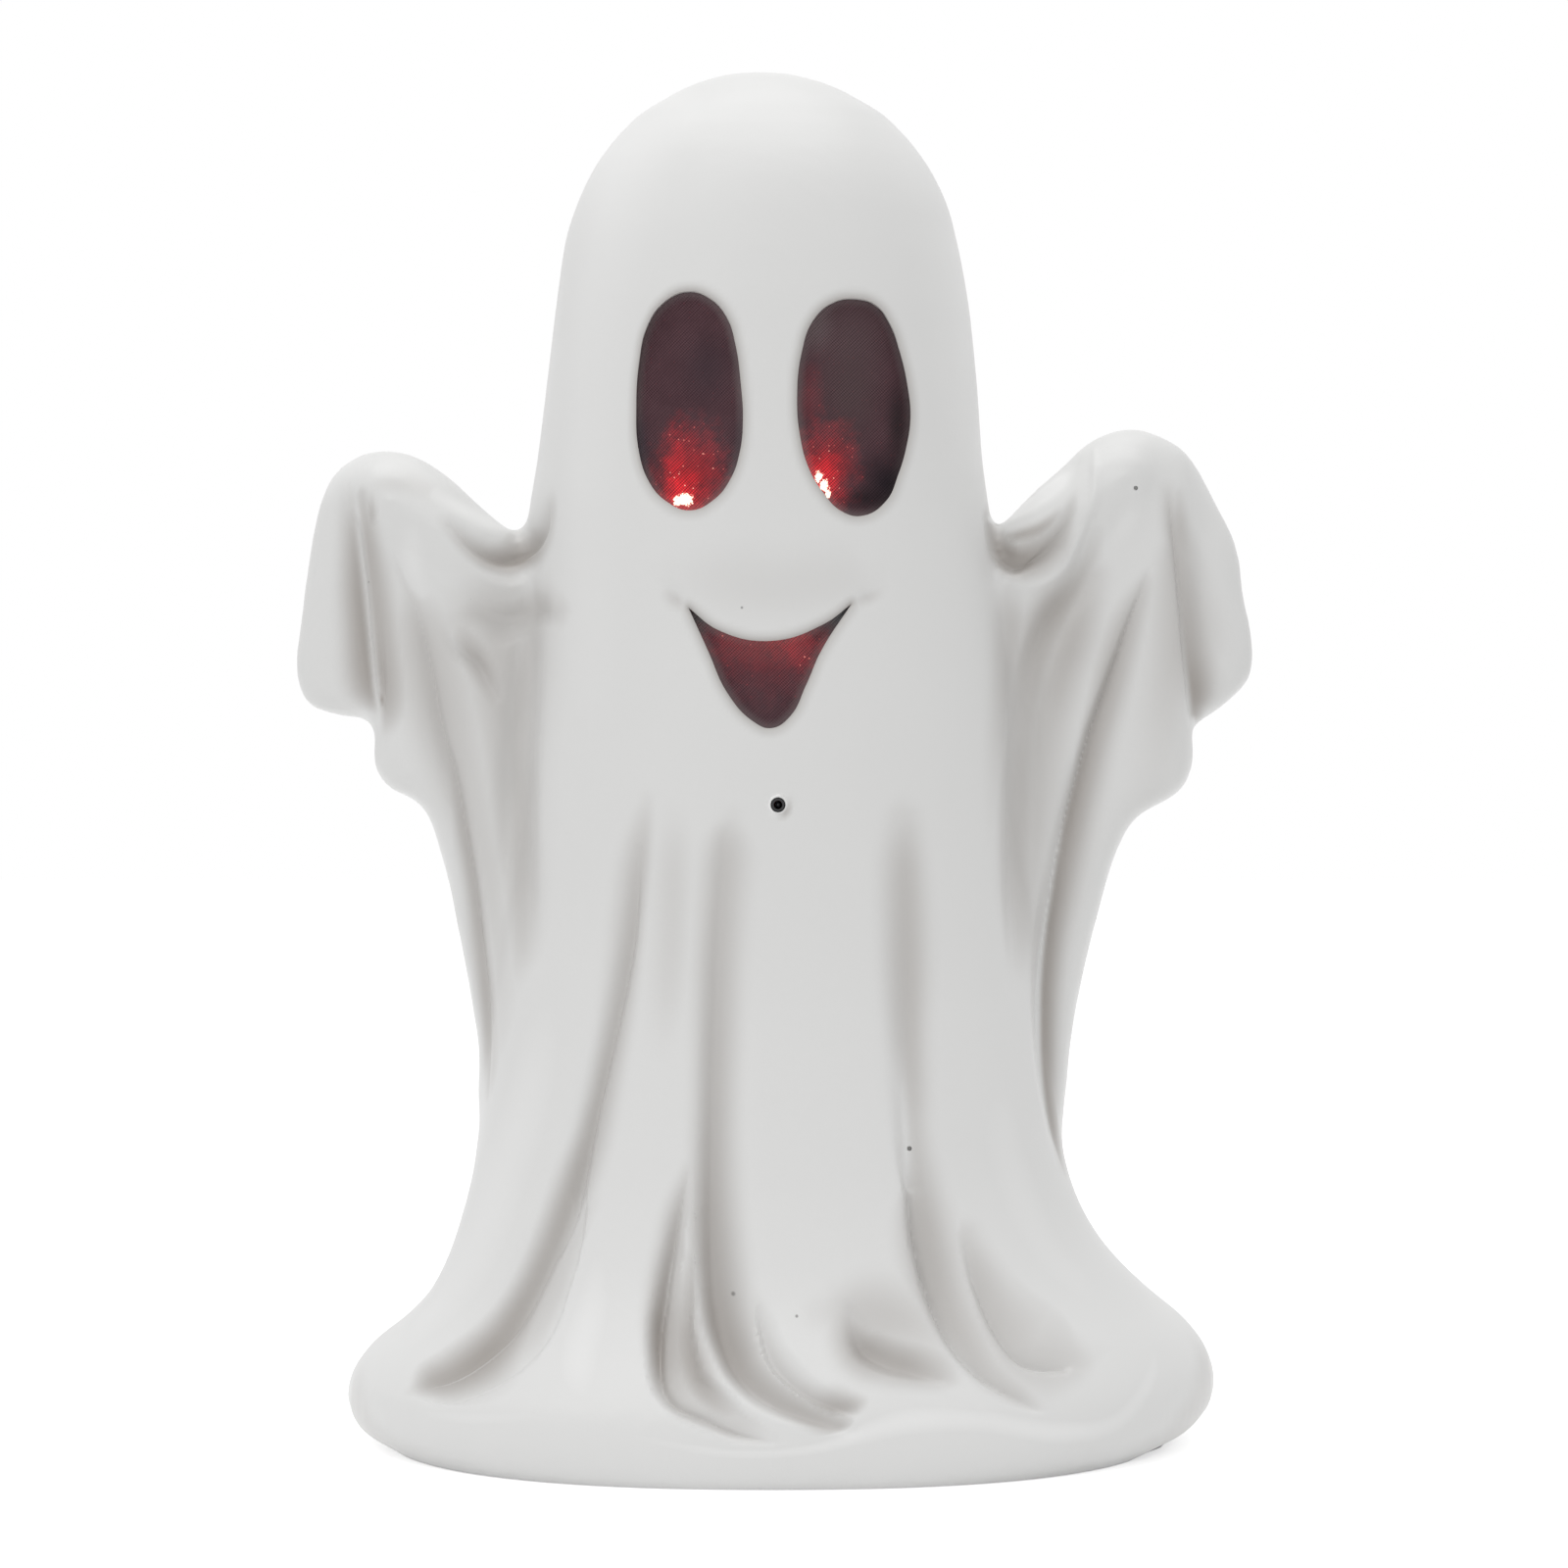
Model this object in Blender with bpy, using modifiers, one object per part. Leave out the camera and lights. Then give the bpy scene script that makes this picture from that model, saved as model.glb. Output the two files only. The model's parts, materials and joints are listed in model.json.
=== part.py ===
"""A hollow ghost figure that lights up: a thin moulded shell with dark cloth behind its eyes and mouth,
two lamps on a bracket inside the head, a small sensor in the chest, and a base plate that carries
the battery bay, the switch, the circuit board and a speaker.

Metres, +Z up. The figure faces -Y and stands on z = 0, with the middle of its box at x = y = 0.
"""

import math

import bmesh
import bpy
import numpy as np
from mathutils import Matrix, Vector

# The figure as a whole
HEIGHT = 0.500
ARMS_WIDTH = 0.351
BASE_WIDTH = 0.317
BASE_DEPTH = 0.230
HEAD_WIDTH = 0.158
HEAD_DEPTH = 0.138
WALL = 0.003
FIT = 0.0003
OVERRUN = 0.002
WELD = 0.00001
TURN_MERGE = 0.0001
SHARP_DEGREES = 35.0

# How squarely the rings of the body bulge: 2 is an ellipse
HEAD_SQUARENESS = 2.15
HEM_SQUARENESS = 2.3

# Rows of the skirt: height as a share of HEIGHT, left and right of BASE_WIDTH, depth of BASE_DEPTH
SKIRT_SHARES = (
    (-0.012, 0.430, 0.412, 0.462),
    (0.002, 0.459, 0.443, 0.489),
    (0.014, 0.485, 0.480, 0.499),
    (0.032, 0.496, 0.503, 0.500),
    (0.050, 0.491, 0.505, 0.494),
    (0.068, 0.469, 0.496, 0.474),
    (0.086, 0.431, 0.473, 0.448),
    (0.104, 0.403, 0.437, 0.424),
    (0.122, 0.387, 0.406, 0.404),
    (0.140, 0.375, 0.380, 0.391),
    (0.158, 0.366, 0.361, 0.382),
    (0.176, 0.358, 0.347, 0.374),
    (0.194, 0.351, 0.337, 0.367),
    (0.212, 0.347, 0.331, 0.363),
    (0.240, 0.342, 0.328, 0.357),
)

# Rows above the waist: height as a share of HEIGHT, left and right of HEAD_WIDTH, depth of HEAD_DEPTH
HEAD_SHARES = (
    (0.334, 0.661, 0.617, 0.565),
    (0.406, 0.630, 0.604, 0.547),
    (0.514, 0.592, 0.566, 0.522),
    (0.586, 0.579, 0.538, 0.507),
    (0.680, 0.575, 0.493, 0.500),
    (0.716, 0.555, 0.477, 0.500),
    (0.770, 0.534, 0.466, 0.500),
    (0.824, 0.514, 0.449, 0.493),
    (0.860, 0.499, 0.430, 0.478),
    (0.878, 0.490, 0.417, 0.467),
    (0.896, 0.472, 0.404, 0.453),
    (0.914, 0.449, 0.381, 0.431),
    (0.932, 0.419, 0.350, 0.399),
    (0.950, 0.377, 0.307, 0.355),
    (0.968, 0.321, 0.251, 0.297),
    (0.986, 0.226, 0.154, 0.203),
    (0.993, 0.174, 0.096, 0.145),
    (0.997, 0.128, 0.049, 0.091),
    (0.9992, 0.085, 0.006, 0.049),
)
RING_STEP = 0.004
RING_POINTS = 96

# The cloth that hangs from each raised arm: outlines seen from the front, as shares of ARMS_WIDTH and HEIGHT
LEFT_DRAPE_SHARES = (
    (-0.197, 0.649), (-0.254, 0.654), (-0.279, 0.662), (-0.310, 0.679), (-0.351, 0.705),
    (-0.387, 0.719), (-0.423, 0.721), (-0.459, 0.709), (-0.476, 0.688), (-0.487, 0.654),
    (-0.496, 0.608), (-0.502, 0.557), (-0.495, 0.541), (-0.459, 0.530), (-0.421, 0.526),
    (-0.419, 0.492), (-0.403, 0.476), (-0.372, 0.466), (-0.351, 0.433), (-0.331, 0.373),
    (-0.310, 0.291), (-0.295, 0.219), (-0.197, 0.204),
)
RIGHT_DRAPE_SHARES = (
    (0.203, 0.204), (0.285, 0.212), (0.299, 0.248), (0.305, 0.289), (0.315, 0.329),
    (0.336, 0.389), (0.356, 0.434), (0.377, 0.457), (0.403, 0.466), (0.426, 0.478),
    (0.435, 0.500), (0.434, 0.523), (0.454, 0.530), (0.481, 0.545), (0.496, 0.557),
    (0.501, 0.575), (0.491, 0.622), (0.484, 0.651), (0.461, 0.682), (0.429, 0.719),
    (0.403, 0.731), (0.367, 0.737), (0.326, 0.726), (0.295, 0.702), (0.264, 0.677),
    (0.233, 0.660), (0.218, 0.653), (0.203, 0.645),
)
DRAPE_THICKNESS = 0.026
DRAPE_EDGE = 0.009
SMOOTHING_ALLOWANCE = 0.0010
DRAPE_SET_BACK = 0.004
DRAPE_ROOT_SHARE = 0.250
DRAPE_ROOT_SWELL = 0.75
LOBE_SET_BACK = 0.007
LOBE_CREASE_SHARE = 0.424
LOBE_CREASE_WIDTH = 0.008

# The arm under each drape: shoulder, elbow and hand, as shares of ARMS_WIDTH and HEIGHT
LEFT_ARM_SHARES = ((-0.259, 0.608), (-0.351, 0.662), (-0.408, 0.688))
RIGHT_ARM_SHARES = ((0.223, 0.611), (0.305, 0.672), (0.360, 0.702))
ARM_RADIUS = 0.0165
ARM_DEPTH_RATIO = 1.3
HAND_ANGLES = (30.0, 60.0, 80.0)

# How a fold falls away from its line: share of the width, share of the depth
FOLD_PROFILE_SHARES = {
    "soft": ((0.0, 1.0), (0.15, 0.95), (0.35, 0.72), (0.6, 0.34), (0.8, 0.1), (1.0, 0.0)),
    "crisp": ((0.0, 1.0), (0.3, 0.62), (0.6, 0.25), (1.0, 0.0)),
    "hollow": ((0.0, 1.0), (0.12, 0.72), (0.3, 0.44), (0.6, 0.16), (1.0, 0.0)),
    "floor": ((0.0, 1.0), (0.14, 0.74), (0.5, 0.6), (0.84, 0.5), (1.0, 0.0)),
}
FOLD_WIDTH = 0.010
LEAST_FOLD_WIDTH = 0.0035
FOLD_DEPTH = 0.0075
FOLD_STEP = 0.003
FOLD_ROUNDS = 1
FOLD_FADE_HEIGHT = 0.003
FOLD_FULL_HEIGHT = 0.012
FOLD_FACING = (0.4, 2.0)

# Folds by the profiles of their two sides and by points of their line: x and z as shares of ARMS_WIDTH and HEIGHT,
# the width on the +x side of a line that runs down, or above one that runs to +x, and on the other side, both as
# shares of FOLD_WIDTH, and the depth as a share of FOLD_DEPTH
FRONT_FOLD_SHARES = (
    ("crisp", "soft", (
        (-0.138, 0.433, 0.17, 0.48, 0.08), (-0.144, 0.376, 0.21, 0.62, 0.35), (-0.158, 0.329, 0.24, 0.76, 0.51),
        (-0.190, 0.244, 0.31, 0.89, 0.67), (-0.209, 0.181, 0.41, 0.96, 0.80), (-0.227, 0.150, 0.48, 1.03, 0.80),
    )),
    ("floor", "soft", (
        (-0.198, 0.212, 0.21, 0.69, 0.27), (-0.209, 0.181, 0.69, 0.96, 0.73), (-0.232, 0.144, 1.17, 1.10, 0.87),
        (-0.270, 0.101, 1.58, 1.17, 0.93), (-0.325, 0.069, 1.16, 0.89, 0.67), (-0.364, 0.055, 0.27, 0.27, 0.05),
    )),
    ("hollow", "crisp", (
        (-0.054, 0.444, 0.68, 0.17, 0.08), (-0.061, 0.363, 1.37, 0.21, 0.35), (-0.066, 0.298, 1.71, 0.24, 0.53),
        (-0.068, 0.200, 1.84, 0.24, 0.75), (-0.068, 0.137, 1.90, 0.27, 0.93), (-0.053, 0.098, 2.02, 0.30, 1.00),
        (-0.026, 0.069, 1.87, 0.33, 0.93), (0.007, 0.053, 1.53, 0.33, 0.80), (0.070, 0.040, 0.67, 0.27, 0.13),
    )),
    ("soft", "crisp", (
        (-0.020, 0.122, 0.54, 0.17, 0.13), (-0.017, 0.107, 0.74, 0.20, 0.53), (-0.007, 0.083, 0.87, 0.20, 0.80),
        (0.029, 0.063, 0.73, 0.23, 0.67), (0.074, 0.051, 0.40, 0.17, 0.13),
    )),
    ("floor", "crisp", (
        (-0.088, 0.208, 0.14, 0.14, 0.08), (-0.105, 0.174, 0.61, 0.20, 0.48), (-0.119, 0.124, 1.08, 0.20, 0.75),
        (-0.123, 0.100, 1.42, 0.24, 0.85), (-0.120, 0.072, 1.61, 0.23, 0.83), (-0.109, 0.060, 1.54, 0.23, 0.77),
        (-0.069, 0.047, 1.26, 0.23, 0.64), (-0.040, 0.037, 0.93, 0.20, 0.45), (-0.003, 0.034, 0.60, 0.17, 0.11),
    )),
    ("soft", "soft", (
        (0.128, 0.441, 0.89, 1.38, 0.11), (0.131, 0.362, 0.96, 1.17, 0.37), (0.130, 0.297, 0.89, 1.03, 0.53),
        (0.132, 0.225, 0.82, 0.62, 0.64), (0.132, 0.200, 0.89, 0.34, 0.67),
    )),
    ("hollow", "crisp", (
        (0.132, 0.217, 0.82, 0.24, 0.53), (0.132, 0.200, 1.16, 0.24, 0.67), (0.136, 0.168, 1.43, 0.27, 0.80),
        (0.149, 0.130, 1.63, 0.27, 0.88), (0.172, 0.097, 1.62, 0.30, 0.85), (0.203, 0.072, 1.28, 0.30, 0.64),
        (0.253, 0.050, 0.47, 0.20, 0.11),
    )),
    ("hollow", "crisp", (
        (0.187, 0.156, 0.41, 0.27, 0.11), (0.197, 0.135, 0.82, 0.27, 0.40), (0.214, 0.107, 1.22, 0.27, 0.61),
        (0.236, 0.086, 1.35, 0.27, 0.69), (0.258, 0.078, 1.15, 0.27, 0.67), (0.283, 0.075, 0.81, 0.27, 0.27),
    )),
    ("soft", "crisp", (
        (0.069, 0.104, 0.34, 0.20, 0.13), (0.076, 0.093, 0.81, 0.20, 0.61), (0.102, 0.082, 0.94, 0.20, 0.48),
        (0.147, 0.071, 0.67, 0.17, 0.13),
    )),
    ("soft", "soft", (
        (-0.256, 0.592, 0.71, 0.71, 0.11), (-0.262, 0.557, 0.86, 0.86, 0.40), (-0.269, 0.485, 0.93, 0.93, 0.53),
        (-0.261, 0.408, 0.84, 0.84, 0.40), (-0.251, 0.353, 0.70, 0.70, 0.08),
    )),
    ("soft", "soft", (
        (0.261, 0.592, 0.78, 0.78, 0.13), (0.257, 0.535, 0.93, 0.86, 0.53), (0.249, 0.457, 0.92, 0.78, 0.59),
        (0.246, 0.388, 0.84, 0.70, 0.40), (0.245, 0.332, 0.63, 0.56, 0.08),
    )),
    ("soft", "crisp", (
        (-0.337, 0.667, 0.50, 0.18, 0.16), (-0.306, 0.647, 0.86, 0.21, 0.56), (-0.279, 0.642, 1.00, 0.25, 0.67),
        (-0.254, 0.651, 0.93, 0.25, 0.61), (-0.235, 0.663, 0.70, 0.21, 0.40), (-0.230, 0.679, 0.42, 0.18, 0.13),
    )),
    ("soft", "soft", (
        (-0.305, 0.604, 0.78, 0.78, 0.21), (-0.279, 0.595, 1.00, 1.00, 0.56), (-0.250, 0.602, 0.85, 0.85, 0.32),
    )),
    ("soft", "crisp", (
        (-0.423, 0.679, 0.43, 0.14, 0.11), (-0.435, 0.660, 0.57, 0.14, 0.35), (-0.429, 0.628, 0.64, 0.14, 0.51),
        (-0.423, 0.592, 0.64, 0.14, 0.48), (-0.418, 0.557, 0.57, 0.14, 0.35), (-0.415, 0.529, 0.43, 0.14, 0.13),
    )),
    ("hollow", "crisp", (
        (-0.399, 0.649, 0.29, 0.21, 0.04), (-0.380, 0.621, 0.57, 0.29, 0.24), (-0.364, 0.592, 0.71, 0.29, 0.43),
        (-0.352, 0.557, 0.71, 0.36, 0.51), (-0.342, 0.518, 0.71, 0.43, 0.56), (-0.327, 0.482, 0.64, 0.50, 0.53),
        (-0.317, 0.443, 0.57, 0.50, 0.51), (-0.309, 0.404, 0.50, 0.46, 0.45), (-0.302, 0.364, 0.43, 0.43, 0.40),
        (-0.298, 0.325, 0.36, 0.36, 0.32), (-0.296, 0.252, 0.21, 0.21, 0.04),
    )),
    ("soft", "soft", (
        (-0.340, 0.585, 0.43, 0.43, 0.11), (-0.325, 0.574, 0.50, 0.50, 0.37), (-0.309, 0.564, 0.50, 0.50, 0.40),
        (-0.291, 0.541, 0.43, 0.43, 0.11),
    )),
    ("soft", "crisp", (
        (0.216, 0.666, 0.43, 0.18, 0.11), (0.229, 0.645, 0.86, 0.21, 0.48), (0.245, 0.632, 1.07, 0.25, 0.72),
        (0.270, 0.635, 1.07, 0.25, 0.72), (0.292, 0.648, 1.00, 0.25, 0.59), (0.306, 0.671, 0.57, 0.18, 0.21),
        (0.310, 0.684, 0.29, 0.14, 0.05),
    )),
    ("soft", "soft", (
        (0.330, 0.669, 0.50, 0.50, 0.13), (0.312, 0.627, 0.78, 0.78, 0.48), (0.286, 0.600, 0.93, 0.93, 0.61),
        (0.266, 0.564, 0.93, 0.93, 0.56), (0.257, 0.521, 0.86, 0.86, 0.45),
    )),
    ("hollow", "crisp", (
        (0.387, 0.635, 0.29, 0.18, 0.05), (0.367, 0.600, 0.64, 0.21, 0.35), (0.353, 0.571, 0.71, 0.25, 0.48),
        (0.341, 0.547, 0.78, 0.29, 0.56), (0.325, 0.518, 0.78, 0.29, 0.61), (0.314, 0.491, 0.71, 0.36, 0.64),
        (0.304, 0.464, 0.64, 0.43, 0.64), (0.294, 0.428, 0.50, 0.50, 0.59), (0.284, 0.379, 0.43, 0.50, 0.53),
        (0.279, 0.329, 0.36, 0.50, 0.48), (0.280, 0.280, 0.32, 0.43, 0.40), (0.288, 0.234, 0.28, 0.28, 0.21),
        (0.299, 0.194, 0.18, 0.18, 0.04),
    )),
    ("hollow", "crisp", (
        (0.412, 0.687, 0.36, 0.14, 0.07), (0.411, 0.669, 0.93, 0.18, 0.29), (0.416, 0.639, 1.28, 0.18, 0.43),
        (0.419, 0.609, 1.43, 0.18, 0.48), (0.423, 0.580, 1.35, 0.18, 0.45), (0.428, 0.550, 1.07, 0.18, 0.35),
        (0.429, 0.523, 0.50, 0.14, 0.08),
    )),
)
BACK_FOLD_SHARES = (
    ("soft", "soft", (
        (-0.103, 0.670, 3.0, 3.0, 0.08), (-0.108, 0.560, 3.4, 3.4, 0.40), (-0.120, 0.400, 3.6, 3.6, 0.53),
        (-0.148, 0.220, 4.0, 4.0, 0.73), (-0.188, 0.100, 4.4, 4.4, 0.67), (-0.222, 0.044, 3.0, 3.0, 0.11),
    )),
    ("crisp", "hollow", (
        (-0.023, 0.600, 2.0, 2.0, 0.08), (-0.017, 0.440, 1.0, 4.6, 0.40), (-0.011, 0.260, 1.0, 5.4, 0.67),
        (-0.028, 0.120, 1.0, 5.8, 0.80), (-0.074, 0.052, 0.8, 2.4, 0.11),
    )),
    ("soft", "soft", (
        (0.097, 0.660, 3.0, 3.0, 0.08), (0.091, 0.520, 3.4, 3.4, 0.40), (0.097, 0.360, 3.6, 3.6, 0.53),
        (0.131, 0.200, 4.0, 4.0, 0.73), (0.182, 0.088, 4.2, 4.2, 0.67), (0.217, 0.040, 3.0, 3.0, 0.11),
    )),
    ("hollow", "crisp", (
        (0.040, 0.360, 1.6, 1.0, 0.08), (0.046, 0.220, 4.0, 1.0, 0.48), (0.057, 0.112, 4.8, 1.0, 0.67),
        (0.097, 0.048, 2.2, 0.8, 0.11),
    )),
    ("soft", "soft", (
        (-0.262, 0.660, 2.2, 2.2, 0.08), (-0.274, 0.580, 2.8, 2.8, 0.40), (-0.262, 0.480, 2.8, 2.8, 0.40),
        (-0.239, 0.380, 2.0, 2.0, 0.11),
    )),
    ("soft", "soft", (
        (0.274, 0.670, 2.2, 2.2, 0.08), (0.285, 0.580, 2.8, 2.8, 0.40), (0.268, 0.480, 2.8, 2.8, 0.40),
        (0.245, 0.380, 2.0, 2.0, 0.11),
    )),
    ("soft", "crisp", (
        (-0.399, 0.640, 1.6, 0.8, 0.08), (-0.393, 0.580, 2.6, 0.8, 0.35), (-0.382, 0.524, 2.0, 0.8, 0.11),
    )),
    ("crisp", "soft", (
        (0.422, 0.636, 0.8, 1.6, 0.08), (0.416, 0.580, 0.8, 2.6, 0.35), (0.405, 0.528, 0.8, 2.0, 0.11),
    )),
)

# Meshing of the shell
VOXEL = 0.003
OUTER_TRIANGLES = 6400
INNER_TRIANGLES = 2000
SMOOTHING_ROUNDS = 9

# Openings of the face. Places are shares of HEAD_WIDTH and HEIGHT, outlines of half each width and height
LEFT_EYE_SIZE = (0.0372, 0.0764)
RIGHT_EYE_SIZE = (0.0393, 0.0751)
MOUTH_SIZE = (0.0575, 0.0434)
LEFT_EYE_PLACE_SHARES = (-0.195, 0.748)
RIGHT_EYE_PLACE_SHARES = (0.171, 0.7446)
MOUTH_PLACE_SHARES = (-0.014, 0.562)
LEFT_EYE_SHARES = (
    (0.00, 1.00), (0.78, 0.70), (1.00, -0.16), (0.78, -0.72), (0.00, -1.00), (-0.78, -0.72), (-1.00, -0.16),
    (-0.81, 0.70),
)
RIGHT_EYE_SHARES = (
    (-0.03, 1.00), (0.68, 0.72), (1.00, -0.05), (0.72, -0.75), (0.12, -1.00), (-0.58, -0.76), (-1.00, 0.01),
    (-0.79, 0.74),
)
MOUTH_SHARES = (
    (-1.00, 0.94), (-0.64, 0.57), (0.00, 0.38), (0.64, 0.63), (0.99, 1.00), (0.62, 0.25), (0.43, -0.32),
    (0.24, -0.81), (0.01, -1.00), (-0.21, -0.89), (-0.52, -0.44), (-0.76, 0.25),
)
MOUTH_CORNERS = (0, 4)
CLOTH_THICKNESS = 0.0008
CLOTH_MARGIN = 0.006

# The sensor in the chest
SENSOR_PLACE_SHARES = (0.003, 0.465)
SENSOR_RADIUS = 0.0023
SENSOR_EYE_RADIUS = 0.0014
SENSOR_FLANGE_RADIUS = 0.0050
SENSOR_FLANGE_THICKNESS = 0.0012
SENSOR_BOSS_RADIUS = 0.0070
SENSOR_BOSS_HEIGHT = 0.0020
SENSOR_PROUD = 0.0003
SENSOR_LENS_LENGTH = 0.0080
LENS_DOME_SHARES = (0.7, 0.3)

# The lamps and their bracket behind the eyes, placed as shares of half of each eye
LAMP_RADIUS = 0.0025
LAMP_FLANGE_RADIUS = 0.0029
LAMP_FLANGE_THICKNESS = 0.0010
LAMP_LENGTH = 0.0086
LAMP_DOME_ANGLES = (0.0, 30.0, 60.0, 90.0)
LEFT_LAMP_SHARES = (-0.23, -0.86)
RIGHT_LAMP_SHARES = (-0.51, -0.70)
BRACKET_THICKNESS = 0.0020
BRACKET_BAR_HEIGHT = 0.0120
BRACKET_TAB_HALF_WIDTH = 0.0050
BRACKET_TAB_TOP = 0.0055
BRACKET_END = 0.0060
BRACKET_BELOW_EYES = 0.0150
BRACKET_SETBACK = 0.0200
BRACKET_BOSS_RADIUS = 0.0040
BRACKET_SCREW_INSET = 0.0120

# The foot of the figure, in heights above the floor and distances in from the widest line of the hem
RIM_HEIGHT = 0.0003
PLATE_HEIGHT = 0.0015
PLATE_THICKNESS = 0.0035
LEDGE_THICKNESS = 0.0035
REBATE_INSET = 0.0155
OPENING_INSET = 0.0235
PLATE_CORNER_POINTS = 40
BOSS_INSET = 0.0215
BOSS_RADIUS = 0.0045
BOSS_HEIGHT = 0.0160
BOSS_PAD = 0.0015
BOSS_ANGLES = (35.0, 145.0, 215.0, 325.0)
PAD_INSET = 0.0350
PAD_RADIUS = 0.0065
PAD_ANGLES = (55.0, 125.0, 235.0, 305.0)

# Screws
BASE_SCREW = {"head": 0.0029, "head_height": 0.0017, "shaft": 0.0015, "length": 0.0120}
SMALL_SCREW = {"head": 0.0022, "head_height": 0.0014, "shaft": 0.0011, "length": 0.0062}
SCREW_POINT_SHARE = 0.5
HEAD_EDGE_SHARE = 0.55
HEAD_CROWN_SHARE = 0.75
CROSS_LENGTH_SHARE = 1.1
CROSS_WIDTH_SHARE = 0.28
CROSS_DEPTH_SHARE = 0.55
POST_RADIUS = 0.0034
POST_HEIGHT = 0.0060

# Batteries and their bay
CELL_RADIUS = 0.00725
CELL_LENGTH = 0.0495
CELL_BUTTON_RADIUS = 0.00275
CELL_BUTTON_HEIGHT = 0.0010
CELL_EDGE = 0.0008
CELL_PITCH = 0.0153
CELL_COUNT = 3
CONTACT_THICKNESS = 0.0004
CONTACT_SIZE = 0.0090
SPRING_LENGTH = 0.0070
SPRING_WIRE = 0.0004
SPRING_SMALL_RADIUS = 0.0022
SPRING_LARGE_RADIUS = 0.0045
SPRING_TURNS = 4
SPRING_TURN_POINTS = 8
BAY_PLACE = (0.0, 0.0330)
BAY_WALL = 0.0020
BAY_CLEARANCE = 0.0004
BAY_EAR = (0.0110, 0.0080, 0.0020)
DOOR_THICKNESS = 0.0022
DOOR_LIP = 0.0020
DOOR_TONGUE = 0.0120
DOOR_PIN_RADIUS = 0.0006
DOOR_PIN_LENGTH = 0.0014
DOOR_EDGE_SEGMENTS = 6
DOOR_POST_HEIGHT = 0.0060
DOOR_SCREW = {"head": 0.0026, "head_height": 0.0012, "shaft": 0.0011, "length": 0.0062}

# Switch
SWITCH_PLACE = (0.0, -0.0560)
SWITCH_SIZE = (0.0190, 0.0085, 0.0075)
SWITCH_TRAVEL = 0.0040
SLIDER_BLOCK = (0.0060, 0.0046, 0.0030)
SLIDER_STEM = (0.0040, 0.0030)
SLIDER_TIP_HEIGHT = 0.0009

# Circuit board
BOARD_PLACE = (0.0740, -0.0250)
BOARD_SIZE = (0.0460, 0.0340, 0.0016)
BOARD_POST_HEIGHT = 0.0070
BOARD_HOLE_INSET = 0.0040
CHIP_SIZE = (0.0110, 0.0080, 0.0016)
CHIP_PLACE_SHARES = (-0.05, 0.10)
SOCKET_SIZE = (0.0075, 0.0050, 0.0045)
SOCKET_PLACE_SHARES = ((-0.32, -0.30), (0.05, -0.32), (0.32, 0.10), (-0.20, 0.32))

# Speaker
SPEAKER_PLACE = (-0.0740, -0.0250)
SPEAKER_RADIUS = 0.0180
SPEAKER_RIM_THICKNESS = 0.0014
SPEAKER_RIM_WIDTH = 0.0035
SPEAKER_DEPTH = 0.0090
SPEAKER_NECK_RADIUS = 0.0090
SPEAKER_METAL = 0.0010
MAGNET_HEIGHT = 0.0060
MAGNET_EDGE = 0.0008
COLLAR_WALL = 0.0016
COLLAR_HEIGHT = 0.0040
GRILLE_HOLE_RADIUS = 0.0014
GRILLE_RING_SHARES = ((0.0, 1), (0.28, 5), (0.56, 8))

# Leads inside the figure: hand-laid routes from end to end. The first two start behind the bracket and the sensor
LEAD_RADIUS = 0.0012
LEAD_STEP = 0.0100
LAMP_LEAD_START = (0.0020, 0.0085, -0.0037)
SENSOR_LEAD_SETBACK = 0.0044
LAMP_LEAD_ROUTE = (
    (0.0020, -0.0412, 0.3160), (0.0030, -0.0330, 0.3100), (0.0060, -0.0300, 0.2850),
    (0.0140, -0.0340, 0.2300), (0.0300, -0.0380, 0.1600), (0.0480, -0.0400, 0.0900),
    (0.0580, -0.0370, 0.0450), (0.0593, -0.0352, 0.0188),
)
SENSOR_LEAD_ROUTE = (
    (0.0005, -0.0632, 0.2325), (0.0010, -0.0570, 0.2300), (0.0080, -0.0520, 0.2050),
    (0.0280, -0.0500, 0.1400), (0.0600, -0.0470, 0.0800), (0.0740, -0.0400, 0.0420),
    (0.0763, -0.0359, 0.0188),
)
SPEAKER_LEAD_ROUTE = (
    (-0.0577, -0.0250, 0.0070), (-0.0577, -0.0250, 0.0120), (-0.0540, -0.0235, 0.0200),
    (-0.0250, -0.0180, 0.0270), (0.0150, -0.0140, 0.0290), (0.0500, -0.0138, 0.0300),
    (0.0638, -0.0140, 0.0255), (0.0648, -0.0141, 0.0188),
)
BATTERY_LEAD_ROUTE = (
    (0.0250, 0.0180, 0.0217), (0.0252, 0.0178, 0.0255), (0.0330, 0.0120, 0.0310), (0.0560, -0.0020, 0.0330),
    (0.0800, -0.0150, 0.0320), (0.0882, -0.0208, 0.0260), (0.0887, -0.0216, 0.0188),
)


def clear_scene():
    for found in list(bpy.data.objects):
        bpy.data.objects.remove(found)


def new_collection(name):
    made = bpy.data.collections.new(name)
    bpy.context.scene.collection.children.link(made)
    return made


def material(name, colour, roughness, metallic=0.0):
    made = bpy.data.materials.new(name)
    made.use_nodes = True
    shader = made.node_tree.nodes["Principled BSDF"]
    shader.inputs["Base Color"].default_value = (*colour, 1.0)
    shader.inputs["Roughness"].default_value = roughness
    shader.inputs["Metallic"].default_value = metallic
    return made


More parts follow.
